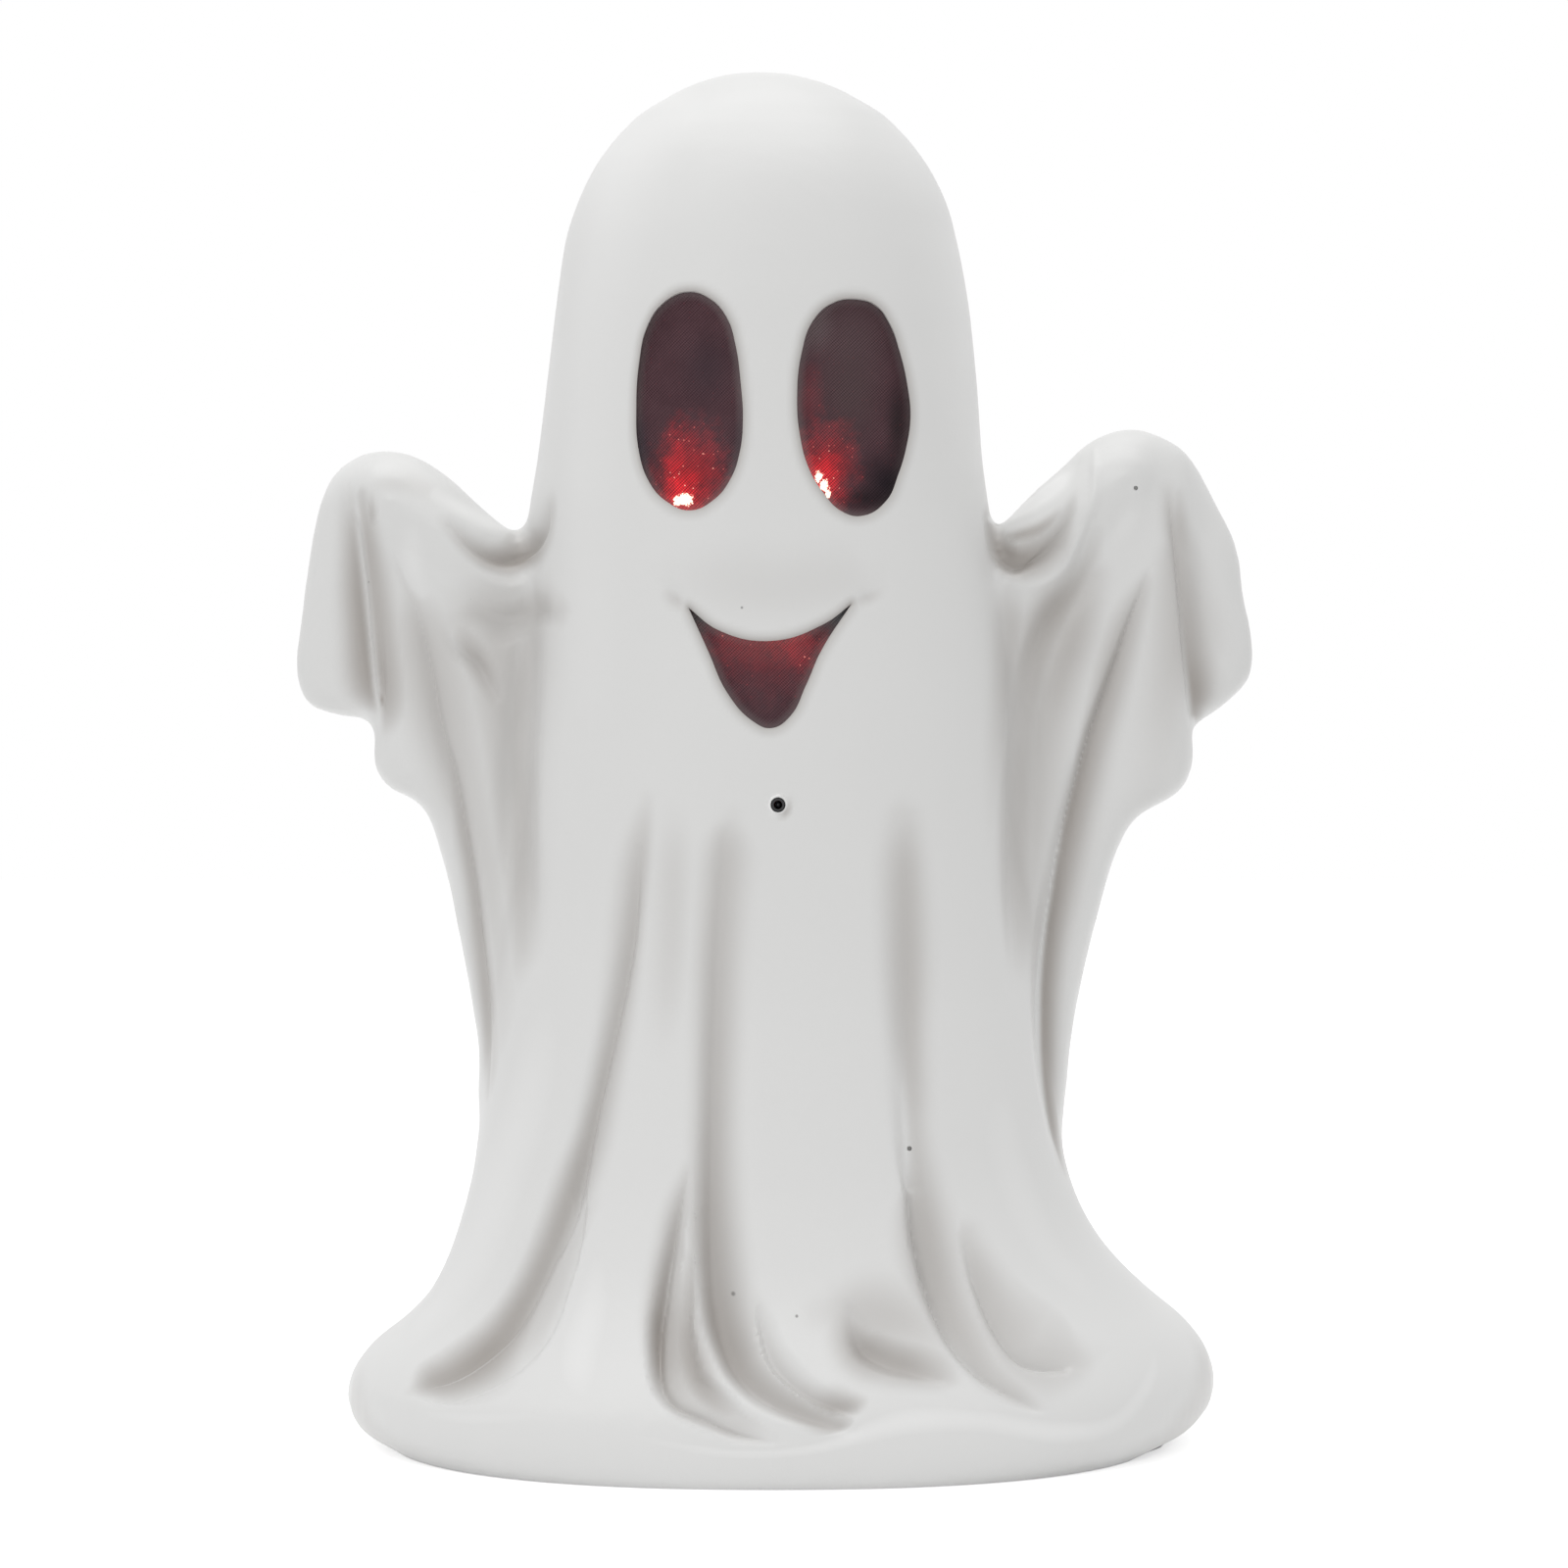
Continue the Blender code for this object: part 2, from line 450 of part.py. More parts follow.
clear_scene()
PARTS = new_collection("light_up_ghost")
CUTTERS = new_collection("cutters")
SHELL_WHITE = material("shell_white", (0.84, 0.84, 0.83), 0.6)
DARK_CLOTH = material("dark_cloth", (0.05, 0.02, 0.025), 0.9)
BLACK_PLASTIC = material("black_plastic", (0.02, 0.02, 0.022), 0.5)
WHITE_PLASTIC = material("white_plastic", (0.8, 0.8, 0.79), 0.45)
CLEAR_RED = material("clear_red", (0.8, 0.02, 0.03), 0.15)
STEEL = material("steel", (0.6, 0.6, 0.6), 0.3, 1.0)
RUBBER = material("rubber", (0.05, 0.05, 0.05), 0.85)
BOARD_GREEN = material("board_green", (0.02, 0.16, 0.07), 0.4)
CELL_WRAP = material("cell_wrap", (0.1, 0.12, 0.14), 0.35)
PAPER = material("paper", (0.06, 0.06, 0.06), 0.9)
LEAD_RED = material("lead_red", (0.5, 0.03, 0.03), 0.5)


def part(name, mesh, finish, smooth=True):
    """A named piece of the figure."""
    made = bpy.data.objects.new(name, mesh)
    mesh.materials.clear()
    mesh.materials.append(finish)
    if smooth:
        mesh.shade_smooth()
        mesh.set_sharp_from_angle(angle=math.radians(SHARP_DEGREES))
    PARTS.objects.link(made)
    return made


def helper(name, mesh):
    """A cutter or a guide, which stays out of the figure."""
    made = bpy.data.objects.new(name, mesh)
    CUTTERS.objects.link(made)
    made.hide_render = True
    made.display_type = "WIRE"
    return made


def finished_mesh(source, name):
    """The object's mesh with its modifiers applied and its place baked in."""
    bpy.context.view_layer.update()
    graph = bpy.context.evaluated_depsgraph_get()
    mesh = bpy.data.meshes.new_from_object(source.evaluated_get(graph))
    mesh.name = name
    mesh.transform(source.matrix_world)
    return mesh


def consume(source, name):
    """The finished mesh of a helper that is then no longer needed."""
    mesh = finished_mesh(source, name)
    bpy.data.objects.remove(source)
    return mesh


def modify(target, kind, **settings):
    modifier = target.modifiers.new(kind.title(), kind)
    for key, value in settings.items():
        setattr(modifier, key, value)
    return modifier


def cut(target, *cutters):
    for cutter in cutters:
        modify(target, "BOOLEAN", operation="DIFFERENCE", object=cutter)


def join(target, *others):
    for other in others:
        modify(target, "BOOLEAN", operation="UNION", object=other)


def mesh_arrays(mesh):
    """Points and triangles of a mesh."""
    mesh.calc_loop_triangles()
    points = np.empty(len(mesh.vertices) * 3)
    mesh.vertices.foreach_get("co", points)
    faces = np.empty(len(mesh.loop_triangles) * 3, int)
    mesh.loop_triangles.foreach_get("vertices", faces)
    return points.reshape(-1, 3), faces.reshape(-1, 3)


def point_normals(mesh):
    normals = np.empty(len(mesh.vertices) * 3)
    mesh.vertex_normals.foreach_get("vector", normals)
    return normals.reshape(-1, 3)


def move_points(mesh, points):
    mesh.vertices.foreach_set("co", np.ascontiguousarray(points, np.float32).ravel())
    mesh.update()


def box_mesh(name, low, high):
    form = bmesh.new()
    bmesh.ops.create_cube(form, size=1.0)
    low, high = np.array(low), np.array(high)
    for vertex in form.verts:
        vertex.co = (low + high) / 2 + np.array(vertex.co) * (high - low)
    return from_form(form, name)


def cylinder_mesh(name, radius, low, high, sides=16):
    """An upright cylinder between two heights on the z axis."""
    form = bmesh.new()
    depth = high - low
    bmesh.ops.create_cone(form, cap_ends=True, segments=sides, radius1=radius, radius2=radius, depth=depth)
    bmesh.ops.translate(form, verts=form.verts, vec=(0, 0, (low + high) / 2))
    return from_form(form, name)


def from_form(form, name):
    bmesh.ops.recalc_face_normals(form, faces=form.faces)
    mesh = bpy.data.meshes.new(name)
    form.to_mesh(mesh)
    form.free()
    return mesh


def outline_mesh(name, outline, low, high, rounded=False, corners=(), edge=0.0, growth=0.0):
    """A flat outline in x and y, filled and extruded between two heights."""
    curve = bpy.data.curves.new(name, "CURVE")
    curve.dimensions = "2D"
    curve.fill_mode = "BOTH"
    curve.extrude = (high - low) / 2 - edge
    curve.bevel_depth = edge
    curve.offset = growth - edge
    curve.bevel_resolution = 3
    curve.resolution_u = 5
    if rounded:
        spline = curve.splines.new("BEZIER")
        spline.bezier_points.add(len(outline) - 1)
        for index, (point, place) in enumerate(zip(spline.bezier_points, outline)):
            point.co = (*place, 0)
            handle = "VECTOR" if index in corners else "AUTO"
            point.handle_left_type = handle
            point.handle_right_type = handle
    else:
        spline = curve.splines.new("POLY")
        spline.points.add(len(outline) - 1)
        for point, place in zip(spline.points, outline):
            point.co = (*place, 0, 1)
    spline.use_cyclic_u = True
    holder = bpy.data.objects.new(name, curve)
    CUTTERS.objects.link(holder)
    holder.location.z = (low + high) / 2
    mesh = consume(holder, name)
    form = bmesh.new()
    form.from_mesh(mesh)
    bpy.data.meshes.remove(mesh)
    bmesh.ops.remove_doubles(form, verts=form.verts, dist=WELD)
    return from_form(form, name)


def stand_up(mesh, y):
    """Turns a mesh drawn in x and y into one in x and z, about the plane y."""
    points, _ = mesh_arrays(mesh)
    move_points(mesh, np.column_stack([points[:, 0], y - points[:, 2], points[:, 1]]))
    return mesh


def turned(name, profile, steps, finish=None, closed=False):
    """A profile of (radius, height) points, from the top down its outer side, turned about z."""
    mesh = bpy.data.meshes.new(name)
    edges = [(i, i + 1) for i in range(len(profile) - 1)]
    if closed:
        edges.append((len(profile) - 1, 0))
    mesh.from_pydata([(radius, 0, height) for radius, height in profile], edges, [])
    made = part(name, mesh, finish, smooth=False) if finish else helper(name, mesh)
    modify(
        made, "SCREW", steps=steps, render_steps=steps, use_merge_vertices=True, merge_threshold=TURN_MERGE,
        use_smooth_shade=True,
    )
    return made


def smooth_route(route, step):
    """Points at even steps along a smooth curve through the route's own points."""
    ends = np.array(route)
    known = np.concatenate([[2 * ends[0] - ends[1]], ends, [2 * ends[-1] - ends[-2]]])
    fine = []
    for a, b, c, d in zip(known, known[1:], known[2:], known[3:]):
        count = max(2, math.ceil(np.linalg.norm(c - b) / step))
        for t in np.arange(count) / count:
            fine.append(b + 0.5 * t * (c - a + t * (2 * a - 5 * b + 4 * c - d + t * (3 * (b - c) + d - a))))
    return [*fine, ends[-1]]


def tube(name, points, radius, finish, resolution=2, taper=None):
    """A round tube along points, as a mesh object with its caps welded."""
    curve = bpy.data.curves.new(name, "CURVE")
    curve.dimensions = "3D"
    curve.bevel_depth = radius
    curve.bevel_resolution = resolution
    curve.use_fill_caps = True
    spline = curve.splines.new("POLY")
    spline.points.add(len(points) - 1)
    for index, (point, place) in enumerate(zip(spline.points, points)):
        point.co = (*place, 1)
        point.radius = taper[index] if taper else 1.0
    holder = bpy.data.objects.new(name, curve)
    CUTTERS.objects.link(holder)
    mesh = consume(holder, name)
    form = bmesh.new()
    form.from_mesh(mesh)
    bpy.data.meshes.remove(mesh)
    bmesh.ops.remove_doubles(form, verts=form.verts, dist=WELD)
    mesh = from_form(form, name)
    return part(name, mesh, finish) if finish else helper(name, mesh)


def superellipse(half_left, half_right, half_depth, squareness, count):
    """Points of a ring about its own middle, seen from above."""
    middle = (half_right - half_left) / 2
    half = (half_right + half_left) / 2
    angles = np.arange(count) * 2 * math.pi / count
    power = 2 / squareness
    x = middle + half * np.sign(np.cos(angles)) * np.abs(np.cos(angles)) ** power
    y = half_depth * np.sign(np.sin(angles)) * np.abs(np.sin(angles)) ** power
    return np.column_stack([x, y])


def body_rows():
    """Height, left, right and depth of each row of the body, in metres."""
    skirt = np.array(SKIRT_SHARES) * (HEIGHT, BASE_WIDTH, BASE_WIDTH, BASE_DEPTH)
    head = np.array(HEAD_SHARES) * (HEIGHT, HEAD_WIDTH, HEAD_WIDTH, HEAD_DEPTH)
    return np.concatenate([skirt, head])


def body_at(height):
    rows = body_rows()
    left, right, depth = (np.interp(height, rows[:, 0], rows[:, column]) for column in (1, 2, 3))
    squareness = np.interp(height / HEIGHT, (0, 0.5), (HEM_SQUARENESS, HEAD_SQUARENESS))
    return left, right, depth, squareness


def front_at(x, height):
    """The y of the body's front surface."""
    left, right, depth, squareness = body_at(height)
    across = abs(x - (right - left) / 2) / ((right + left) / 2)
    return -depth * (1 - across**squareness) ** (1 / squareness)


def hem_outline(inset):
    """The widest line of the hem, drawn in by an inset."""
    rows = body_rows()
    _, left, right, depth = rows[np.argmax(rows[:, 1])]
    return superellipse(left - inset, right - inset, depth - inset, HEM_SQUARENESS, PLATE_CORNER_POINTS)


def on_hem(inset, degrees):
    """A point of the hem outline at an angle."""
    rows = body_rows()
    _, left, right, depth = rows[np.argmax(rows[:, 1])]
    angle = math.radians(degrees)
    power = 2 / HEM_SQUARENESS
    middle = (right - left) / 2
    half = (right + left) / 2 - inset
    x = middle + half * math.copysign(abs(math.cos(angle)) ** power, math.cos(angle))
    y = (depth - inset) * math.copysign(abs(math.sin(angle)) ** power, math.sin(angle))
    return x, y


def body_mesh():
    """The sheeted body without its arms, lofted through rings."""
    rows = body_rows()
    heights = np.unique(np.concatenate([np.arange(rows[0, 0], rows[-1, 0], RING_STEP), rows[:, 0]]))
    rings = []
    for height in heights:
        left, right, depth, squareness = body_at(height)
        ring = superellipse(left, right, depth, squareness, RING_POINTS)
        rings.append(np.column_stack([ring, np.full(RING_POINTS, height)]))
    last = len(rings) * RING_POINTS
    middle = rings[-1].mean(axis=0)
    crown = (middle[0], middle[1], HEIGHT)
    points = np.concatenate([*rings, [crown]])
    faces = [tuple(range(RING_POINTS))[::-1]]
    for ring in range(len(rings) - 1):
        for k in range(RING_POINTS):
            after = (k + 1) % RING_POINTS
            low, high = ring * RING_POINTS, (ring + 1) * RING_POINTS
            faces.append((low + k, low + after, high + after, high + k))
    top = last - RING_POINTS
    faces += [(top + k, top + (k + 1) % RING_POINTS, last) for k in range(RING_POINTS)]
    mesh = bpy.data.meshes.new("body_form")
    mesh.from_pydata(points.tolist(), [], faces)
    return mesh


def remeshed(mesh, voxel, rounds=0):
    """The mesh made anew from voxels, which joins what overlaps, then smoothed."""
    holder = helper("remesh", mesh)
    modify(holder, "REMESH", mode="VOXEL", voxel_size=voxel)
    if rounds:
        modify(holder, "SMOOTH", factor=0.5, iterations=rounds)
    return consume(holder, mesh.name)


def drape_mesh(name, outline_shares):
    """The cloth that hangs from one arm: a slab with round edges, its outer lobe set back."""
    outline = [(x * ARMS_WIDTH, z * HEIGHT) for x, z in outline_shares]
    half = DRAPE_THICKNESS / 2
    slab = outline_mesh(name, outline, -half, half, True, edge=DRAPE_EDGE, growth=SMOOTHING_ALLOWANCE)
    mesh = remeshed(stand_up(slab, DRAPE_SET_BACK), VOXEL)
    points, _ = mesh_arrays(mesh)
    out = np.clip((np.abs(points[:, 0]) / ARMS_WIDTH - DRAPE_ROOT_SHARE) / (0.5 - DRAPE_ROOT_SHARE), 0, 1)
    points[:, 1] = DRAPE_SET_BACK + (points[:, 1] - DRAPE_SET_BACK) * (1 + DRAPE_ROOT_SWELL * (1 - out))
    crease = LOBE_CREASE_SHARE * ARMS_WIDTH
    past = np.clip((np.abs(points[:, 0]) - crease) / LOBE_CREASE_WIDTH, 0, 1)
    points[:, 1] += LOBE_SET_BACK * past * past * (3 - 2 * past)
    move_points(mesh, points)
    return mesh


def arm_mesh(name, arm_shares):
    """The arm under the drape, with a round hand."""
    route = [(x * ARMS_WIDTH, 0.0, z * HEIGHT) for x, z in arm_shares]
    points = smooth_route(route, ARM_RADIUS / 2)
    reach = points[-1] - points[-2]
    reach /= np.linalg.norm(reach)
    tips = [points[-1] + reach * ARM_RADIUS * math.sin(a) for a in np.radians(HAND_ANGLES)]
    taper = [1.0] * len(points) + [math.cos(a) for a in np.radians(HAND_ANGLES)]
    mesh = consume(tube(name, [*points, *tips], ARM_RADIUS, None, taper=taper), name)
    places, _ = mesh_arrays(mesh)
    move_points(mesh, places * (1, ARM_DEPTH_RATIO, 1))
    return mesh


def joined(meshes):
    """One mesh that holds all of these, still overlapping."""
    form = bmesh.new()
    for mesh in meshes:
        form.from_mesh(mesh)
    return from_form(form, "figure_form")


def beside(spots, line):
    """For each spot: distance from a line, whether it is on the side of the first width, and the line's values."""
    nearest = np.full(len(spots), np.inf)
    side = np.zeros(len(spots))
    values = np.zeros((len(spots), 3))
    for start, end in zip(line, line[1:]):
        way = (end - start)[:2]
        gap = spots - start[:2]
        t = np.clip(gap @ way / (way @ way), 0, 1)
        apart = np.hypot(*(gap - t[:, None] * way).T)
        closer = apart < nearest
        nearest[closer] = apart[closer]
        side[closer] = (way[0] * gap[:, 1] - way[1] * gap[:, 0])[closer]
        values[closer] = (start[2:] + t[:, None] * (end - start)[2:])[closer]
    return nearest, side > 0, values


def fold_depths(spots, folds):
    """How far each spot, in x and z, sinks into the folds."""
    depth = np.zeros(len(spots))
    for first_profile, second_profile, shares in folds:
        guide = np.array(shares) * (ARMS_WIDTH, HEIGHT, FOLD_WIDTH, FOLD_WIDTH, FOLD_DEPTH)
        line = np.array(smooth_route(guide, FOLD_STEP))
        line[:, 2:4] = np.maximum(line[:, 2:4], LEAST_FOLD_WIDTH)
        reach = line[:, 2:4].max()
        low, high = line[:, :2].min(axis=0) - reach, line[:, :2].max(axis=0) + reach
        chosen = np.flatnonzero(((spots > low) & (spots < high)).all(axis=1))
        apart, on_first, values = beside(spots[chosen], line)
        share = apart / np.where(on_first, values[:, 0], values[:, 1])
        first = np.interp(share, *np.array(FOLD_PROFILE_SHARES[first_profile]).T)
        second = np.interp(share, *np.array(FOLD_PROFILE_SHARES[second_profile]).T)
        depth[chosen] = np.maximum(depth[chosen], values[:, 2] * np.where(on_first, first, second))
    return depth


def all_fold_depths(points, normals):
    """How far each point of the figure sinks into the folds of its front and of its back."""
    spots = points[:, [0, 2]]
    start, gain = FOLD_FACING
    facing = np.clip(start - gain * normals[:, 1], 0, 1)
    behind = np.clip(start + gain * normals[:, 1], 0, 1)
    above = np.clip((points[:, 2] - FOLD_FADE_HEIGHT) / (FOLD_FULL_HEIGHT - FOLD_FADE_HEIGHT), 0, 1)
    return (facing * fold_depths(spots, FRONT_FOLD_SHARES) + behind * fold_depths(spots, BACK_FOLD_SHARES)) * above


def figure_mesh():
    """The whole sheeted figure as one smooth closed surface, with its folds."""
    forms = [
        body_mesh(),
        drape_mesh("left_drape", LEFT_DRAPE_SHARES),
        drape_mesh("right_drape", RIGHT_DRAPE_SHARES),
        arm_mesh("left_arm", LEFT_ARM_SHARES),
        arm_mesh("right_arm", RIGHT_ARM_SHARES),
    ]
    mesh = remeshed(joined(forms), VOXEL, SMOOTHING_ROUNDS)
    points, _ = mesh_arrays(mesh)
    normals = point_normals(mesh)
    move_points(mesh, points - normals * all_fold_depths(points, normals)[:, None])
    holder = helper("folded", mesh)
    modify(holder, "SMOOTH", factor=0.5, iterations=FOLD_ROUNDS)
    return consume(holder, "figure_form")


def thinned(mesh, triangles):
    """The surface with far fewer triangles, most of them where it bends."""
    holder = helper("thinned", mesh)
    _, faces = mesh_arrays(mesh)
    modify(holder, "DECIMATE", ratio=triangles / len(faces), use_collapse_triangulate=True)
    return consume(holder, mesh.name)


def offset(mesh, distance, name):
    """A copy with each point moved along its normal."""
    copy = mesh.copy()
    copy.name = name
    points, _ = mesh_arrays(copy)
    move_points(copy, points + point_normals(copy) * distance)
    return copy


def clipped(mesh, height):
    """The part of a closed mesh that lies above a height."""
    reach = HEIGHT
    holder = helper("clipped", mesh)
    floor = helper("floor", box_mesh("floor", (-reach, -reach, -reach), (reach, reach, height)))
    cut(holder, floor)
    result = consume(holder, mesh.name)
    bpy.data.objects.remove(floor)
    return result


def face_outline(outline_shares, size, place_shares, margin=0.0):
    x, z = place_shares[0] * HEAD_WIDTH, place_shares[1] * HEIGHT
    half_width, half_height = size[0] / 2 + margin, size[1] / 2 + margin
    return [(x + a * half_width, z + b * half_height) for a, b in outline_shares]


FACE_OPENINGS = {
    "left_eye": (LEFT_EYE_SHARES, LEFT_EYE_SIZE, LEFT_EYE_PLACE_SHARES, ()),
    "right_eye": (RIGHT_EYE_SHARES, RIGHT_EYE_SIZE, RIGHT_EYE_PLACE_SHARES, ()),
    "mouth": (MOUTH_SHARES, MOUTH_SIZE, MOUTH_PLACE_SHARES, MOUTH_CORNERS),
}


def face_cutter(name, margin=0.0):
    """A prism from front to middle through one opening of the face."""
    shares, size, place, corners = FACE_OPENINGS[name]
    outline = face_outline(shares, size, place, margin)
    mesh = outline_mesh(f"{name}_cutter", outline, 0, HEAD_DEPTH, rounded=True, corners=corners)
    return helper(f"{name}_cutter", stand_up(mesh, 0.0))


def sensor_place():
    return SENSOR_PLACE_SHARES[0] * HEAD_WIDTH, SENSOR_PLACE_SHARES[1] * HEIGHT


def sensor_seat():
    """The y of the flat face behind the wall on which the sensor's flange sits."""
    return front_at(*sensor_place()) + WALL + SENSOR_BOSS_HEIGHT


def along_y(name, radius, x, z, front, back, sides=16):
    """A cylinder that runs from front to back."""
    mesh = cylinder_mesh(name, radius, front, back, sides)
    points, _ = mesh_arrays(mesh)
    move_points(mesh, np.column_stack([points[:, 0] + x, points[:, 2], z - points[:, 1]]))
    return helper(name, mesh)


def eye_bottom():
    bottoms = []
    for name in ("left_eye", "right_eye"):
        _, size, place, _ = FACE_OPENINGS[name]
        bottoms.append(place[1] * HEIGHT - size[1] / 2)
    return min(bottoms)


def lamp_places():
    """(x, z) of the left and the right lamp."""
    places = []
    for name, shares in (("left_eye", LEFT_LAMP_SHARES), ("right_eye", RIGHT_LAMP_SHARES)):
        _, size, place, _ = FACE_OPENINGS[name]
        x = place[0] * HEAD_WIDTH + shares[0] * size[0] / 2
        z = place[1] * HEIGHT + shares[1] * size[1] / 2
        places.append((x, z))
    return places


def bracket_front():
    """The y of the bracket's front face."""
    return front_at(0.0, bracket_level()) + BRACKET_SETBACK


def bracket_level():
    return eye_bottom() - BRACKET_BELOW_EYES


def bracket_screw_places():
    (left, _), (right, _) = lamp_places()
    return [(left + BRACKET_SCREW_INSET, bracket_level()), (right - BRACKET_SCREW_INSET, bracket_level())]


def plate_top():
    return PLATE_HEIGHT + PLATE_THICKNESS


def ledge_bottom():
    return plate_top() + FIT


def upright(name, radius, place, low, high, sides=16):
    mesh = cylinder_mesh(name, radius, low, high, sides)
    mesh.transform(translation(place[0], place[1], 0))
    return helper(name, mesh)


def translation(x, y, z):
    return Matrix.Translation((x, y, z))


def make_shell():
    figure = figure_mesh()
    hollow = remeshed(offset(figure, -WALL, "hollow"), VOXEL, 2)
    outer = clipped(thinned(figure, OUTER_TRIANGLES), RIM_HEIGHT)
    inner = clipped(thinned(hollow, INNER_TRIANGLES), ledge_bottom() + LEDGE_THICKNESS)
    shell = part("ghost_shell", outer, SHELL_WHITE)
    cut(shell, helper("hollow", inner))
    join(shell, *shell_bosses())
    cut(shell, *shell_cutters())
    return inner


def shell_bosses():
    """Posts for the base screws, for the lamp bracket and behind the sensor."""
    bosses = []
    low = ledge_bottom()
    for index, angle in enumerate(BOSS_ANGLES):
        place = on_hem(BOSS_INSET, angle)
        bosses.append(upright(f"boss_{index + 1}", BOSS_RADIUS, place, low, low + BOSS_HEIGHT))
    for index, (x, z) in enumerate(bracket_screw_places()):
        front, back = front_at(x, z) + WALL / 2, bracket_front() - FIT
        bosses.append(along_y(f"bracket_boss_{index + 1}", BRACKET_BOSS_RADIUS, x, z, front, back))
    x, z = sensor_place()
    bosses.append(along_y("sensor_boss", SENSOR_BOSS_RADIUS, x, z, front_at(x, z) + WALL / 2, sensor_seat()))
    return bosses


def shell_cutters():
    cutters = [face_cutter(name) for name in FACE_OPENINGS]
    low = RIM_HEIGHT - OVERRUN
    high = ledge_bottom() + LEDGE_THICKNESS + OVERRUN
    opening = helper("opening", outline_mesh("opening", hem_outline(OPENING_INSET), low, high))
    for index, angle in enumerate(BOSS_ANGLES):
        place = on_hem(BOSS_INSET, angle)
        keep = upright(f"keep_{index + 1}", BOSS_RADIUS + BOSS_PAD, place, low - OVERRUN, high + OVERRUN)
        cut(opening, keep)
    cutters.append(helper("rebate", outline_mesh("rebate", hem_outline(REBATE_INSET), low, ledge_bottom())))
    cutters.append(opening)
    for index, angle in enumerate(BOSS_ANGLES):
        place = on_hem(BOSS_INSET, angle)
        top = PLATE_HEIGHT + BASE_SCREW["head_height"] + BASE_SCREW["length"] + FIT
        cutters.append(upright(f"pilot_{index + 1}", BASE_SCREW["shaft"] + FIT, place, low, top, 10))
    for index, (x, z) in enumerate(bracket_screw_places()):
        back = bracket_front() + OVERRUN
        front = bracket_front() + BRACKET_THICKNESS - SMALL_SCREW["length"] - FIT
        pilot = SMALL_SCREW["shaft"] + FIT
        cutters.append(along_y(f"bracket_pilot_{index + 1}", pilot, x, z, front, back, 10))
    x, z = sensor_place()
    front = front_at(x, z) - WALL
    cutters.append(along_y("sensor_hole", SENSOR_RADIUS + FIT, x, z, front, sensor_seat() + OVERRUN, 16))
    return cutters


def make_cloths(inner):
    """The dark cloth glued behind each opening, lying just inside the wall."""
    for name in FACE_OPENINGS:
        cloth = part(f"{name}_cloth", offset(inner, -FIT, f"{name}_cloth"), DARK_CLOTH)
        limit = face_cutter(name, CLOTH_MARGIN)
        limit.name = f"{name}_cloth_limit"
        modify(cloth, "BOOLEAN", operation="INTERSECT", object=limit)
        cut(cloth, helper(f"{name}_behind", offset(inner, -FIT - CLOTH_THICKNESS, f"{name}_behind")))


def screw(name, size, steps=10):
    """A pan-head screw whose head bears on z = 0 and whose shaft runs up +z."""
    head, height, shaft, length = size["head"], size["head_height"], size["shaft"], size["length"]
    profile = [
        (0, length), (shaft * SCREW_POINT_SHARE, length), (shaft, length - shaft), (shaft, 0), (head, 0),
        (head, -height * HEAD_EDGE_SHARE), (head * HEAD_CROWN_SHARE, -height), (0, -height),
    ]
    made = turned(name, profile, steps, STEEL)
    arm = head * CROSS_LENGTH_SHARE / 2
    half = head * CROSS_WIDTH_SHARE / 2
    floor = -height * (1 - CROSS_DEPTH_SHARE)
    cross = helper(f"{name}_cross", box_mesh(name, (-arm, -half, -height - half), (arm, half, floor)))
    bar = helper(f"{name}_bar", box_mesh(name, (-half, -arm, -height - half), (half, arm, floor)))
    cut(made, cross, bar)
    for recess in (cross, bar):
        recess.parent = made
    return made


def make_base_screws():
    for index, angle in enumerate(BOSS_ANGLES):
        made = screw(f"base_screw_{index + 1}", BASE_SCREW)
        made.location = (*on_hem(BOSS_INSET, angle), PLATE_HEIGHT + BASE_SCREW["head_height"])


def make_pads():
    for index, angle in enumerate(PAD_ANGLES):
        mesh = cylinder_mesh("foot_pad", PAD_RADIUS, 0, PLATE_HEIGHT - FIT, 20)
        made = part(f"foot_pad_{index + 1}", mesh, RUBBER)
        made.location = (*on_hem(PAD_INSET, angle), 0)


def bay_size():
    """Inside length, width and height of the battery bay."""
    contacts = 2 * (CONTACT_THICKNESS + FIT)
    length = CELL_LENGTH + CELL_BUTTON_HEIGHT + SPRING_LENGTH + contacts + 2 * BAY_CLEARANCE
    width = CELL_PITCH * (CELL_COUNT - 1) + 2 * (CELL_RADIUS + BAY_CLEARANCE)
    return length, width, 2 * (CELL_RADIUS + BAY_CLEARANCE)


def door_top():
    return PLATE_HEIGHT + DOOR_THICKNESS


def bay_floor():
    """The height at which the cells' space begins, just above the door."""
    return door_top() + FIT


def bay_box(margin, low, high):
    length, width, _ = bay_size()
    x, y = BAY_PLACE
    half_x, half_y = length / 2 + margin, width / 2 + margin
    return (x - half_x, y - half_y, low), (x + half_x, y + half_y, high)


def bay_ceiling():
    return bay_floor() + bay_size()[2]


def ear_places():
    """(x, y) of the bay's two screws, one on each long side."""
    _, width, _ = bay_size()
    reach = width / 2 + BAY_WALL + BAY_EAR[1] / 2
    return [(BAY_PLACE[0], BAY_PLACE[1] - reach), (BAY_PLACE[0], BAY_PLACE[1] + reach)]


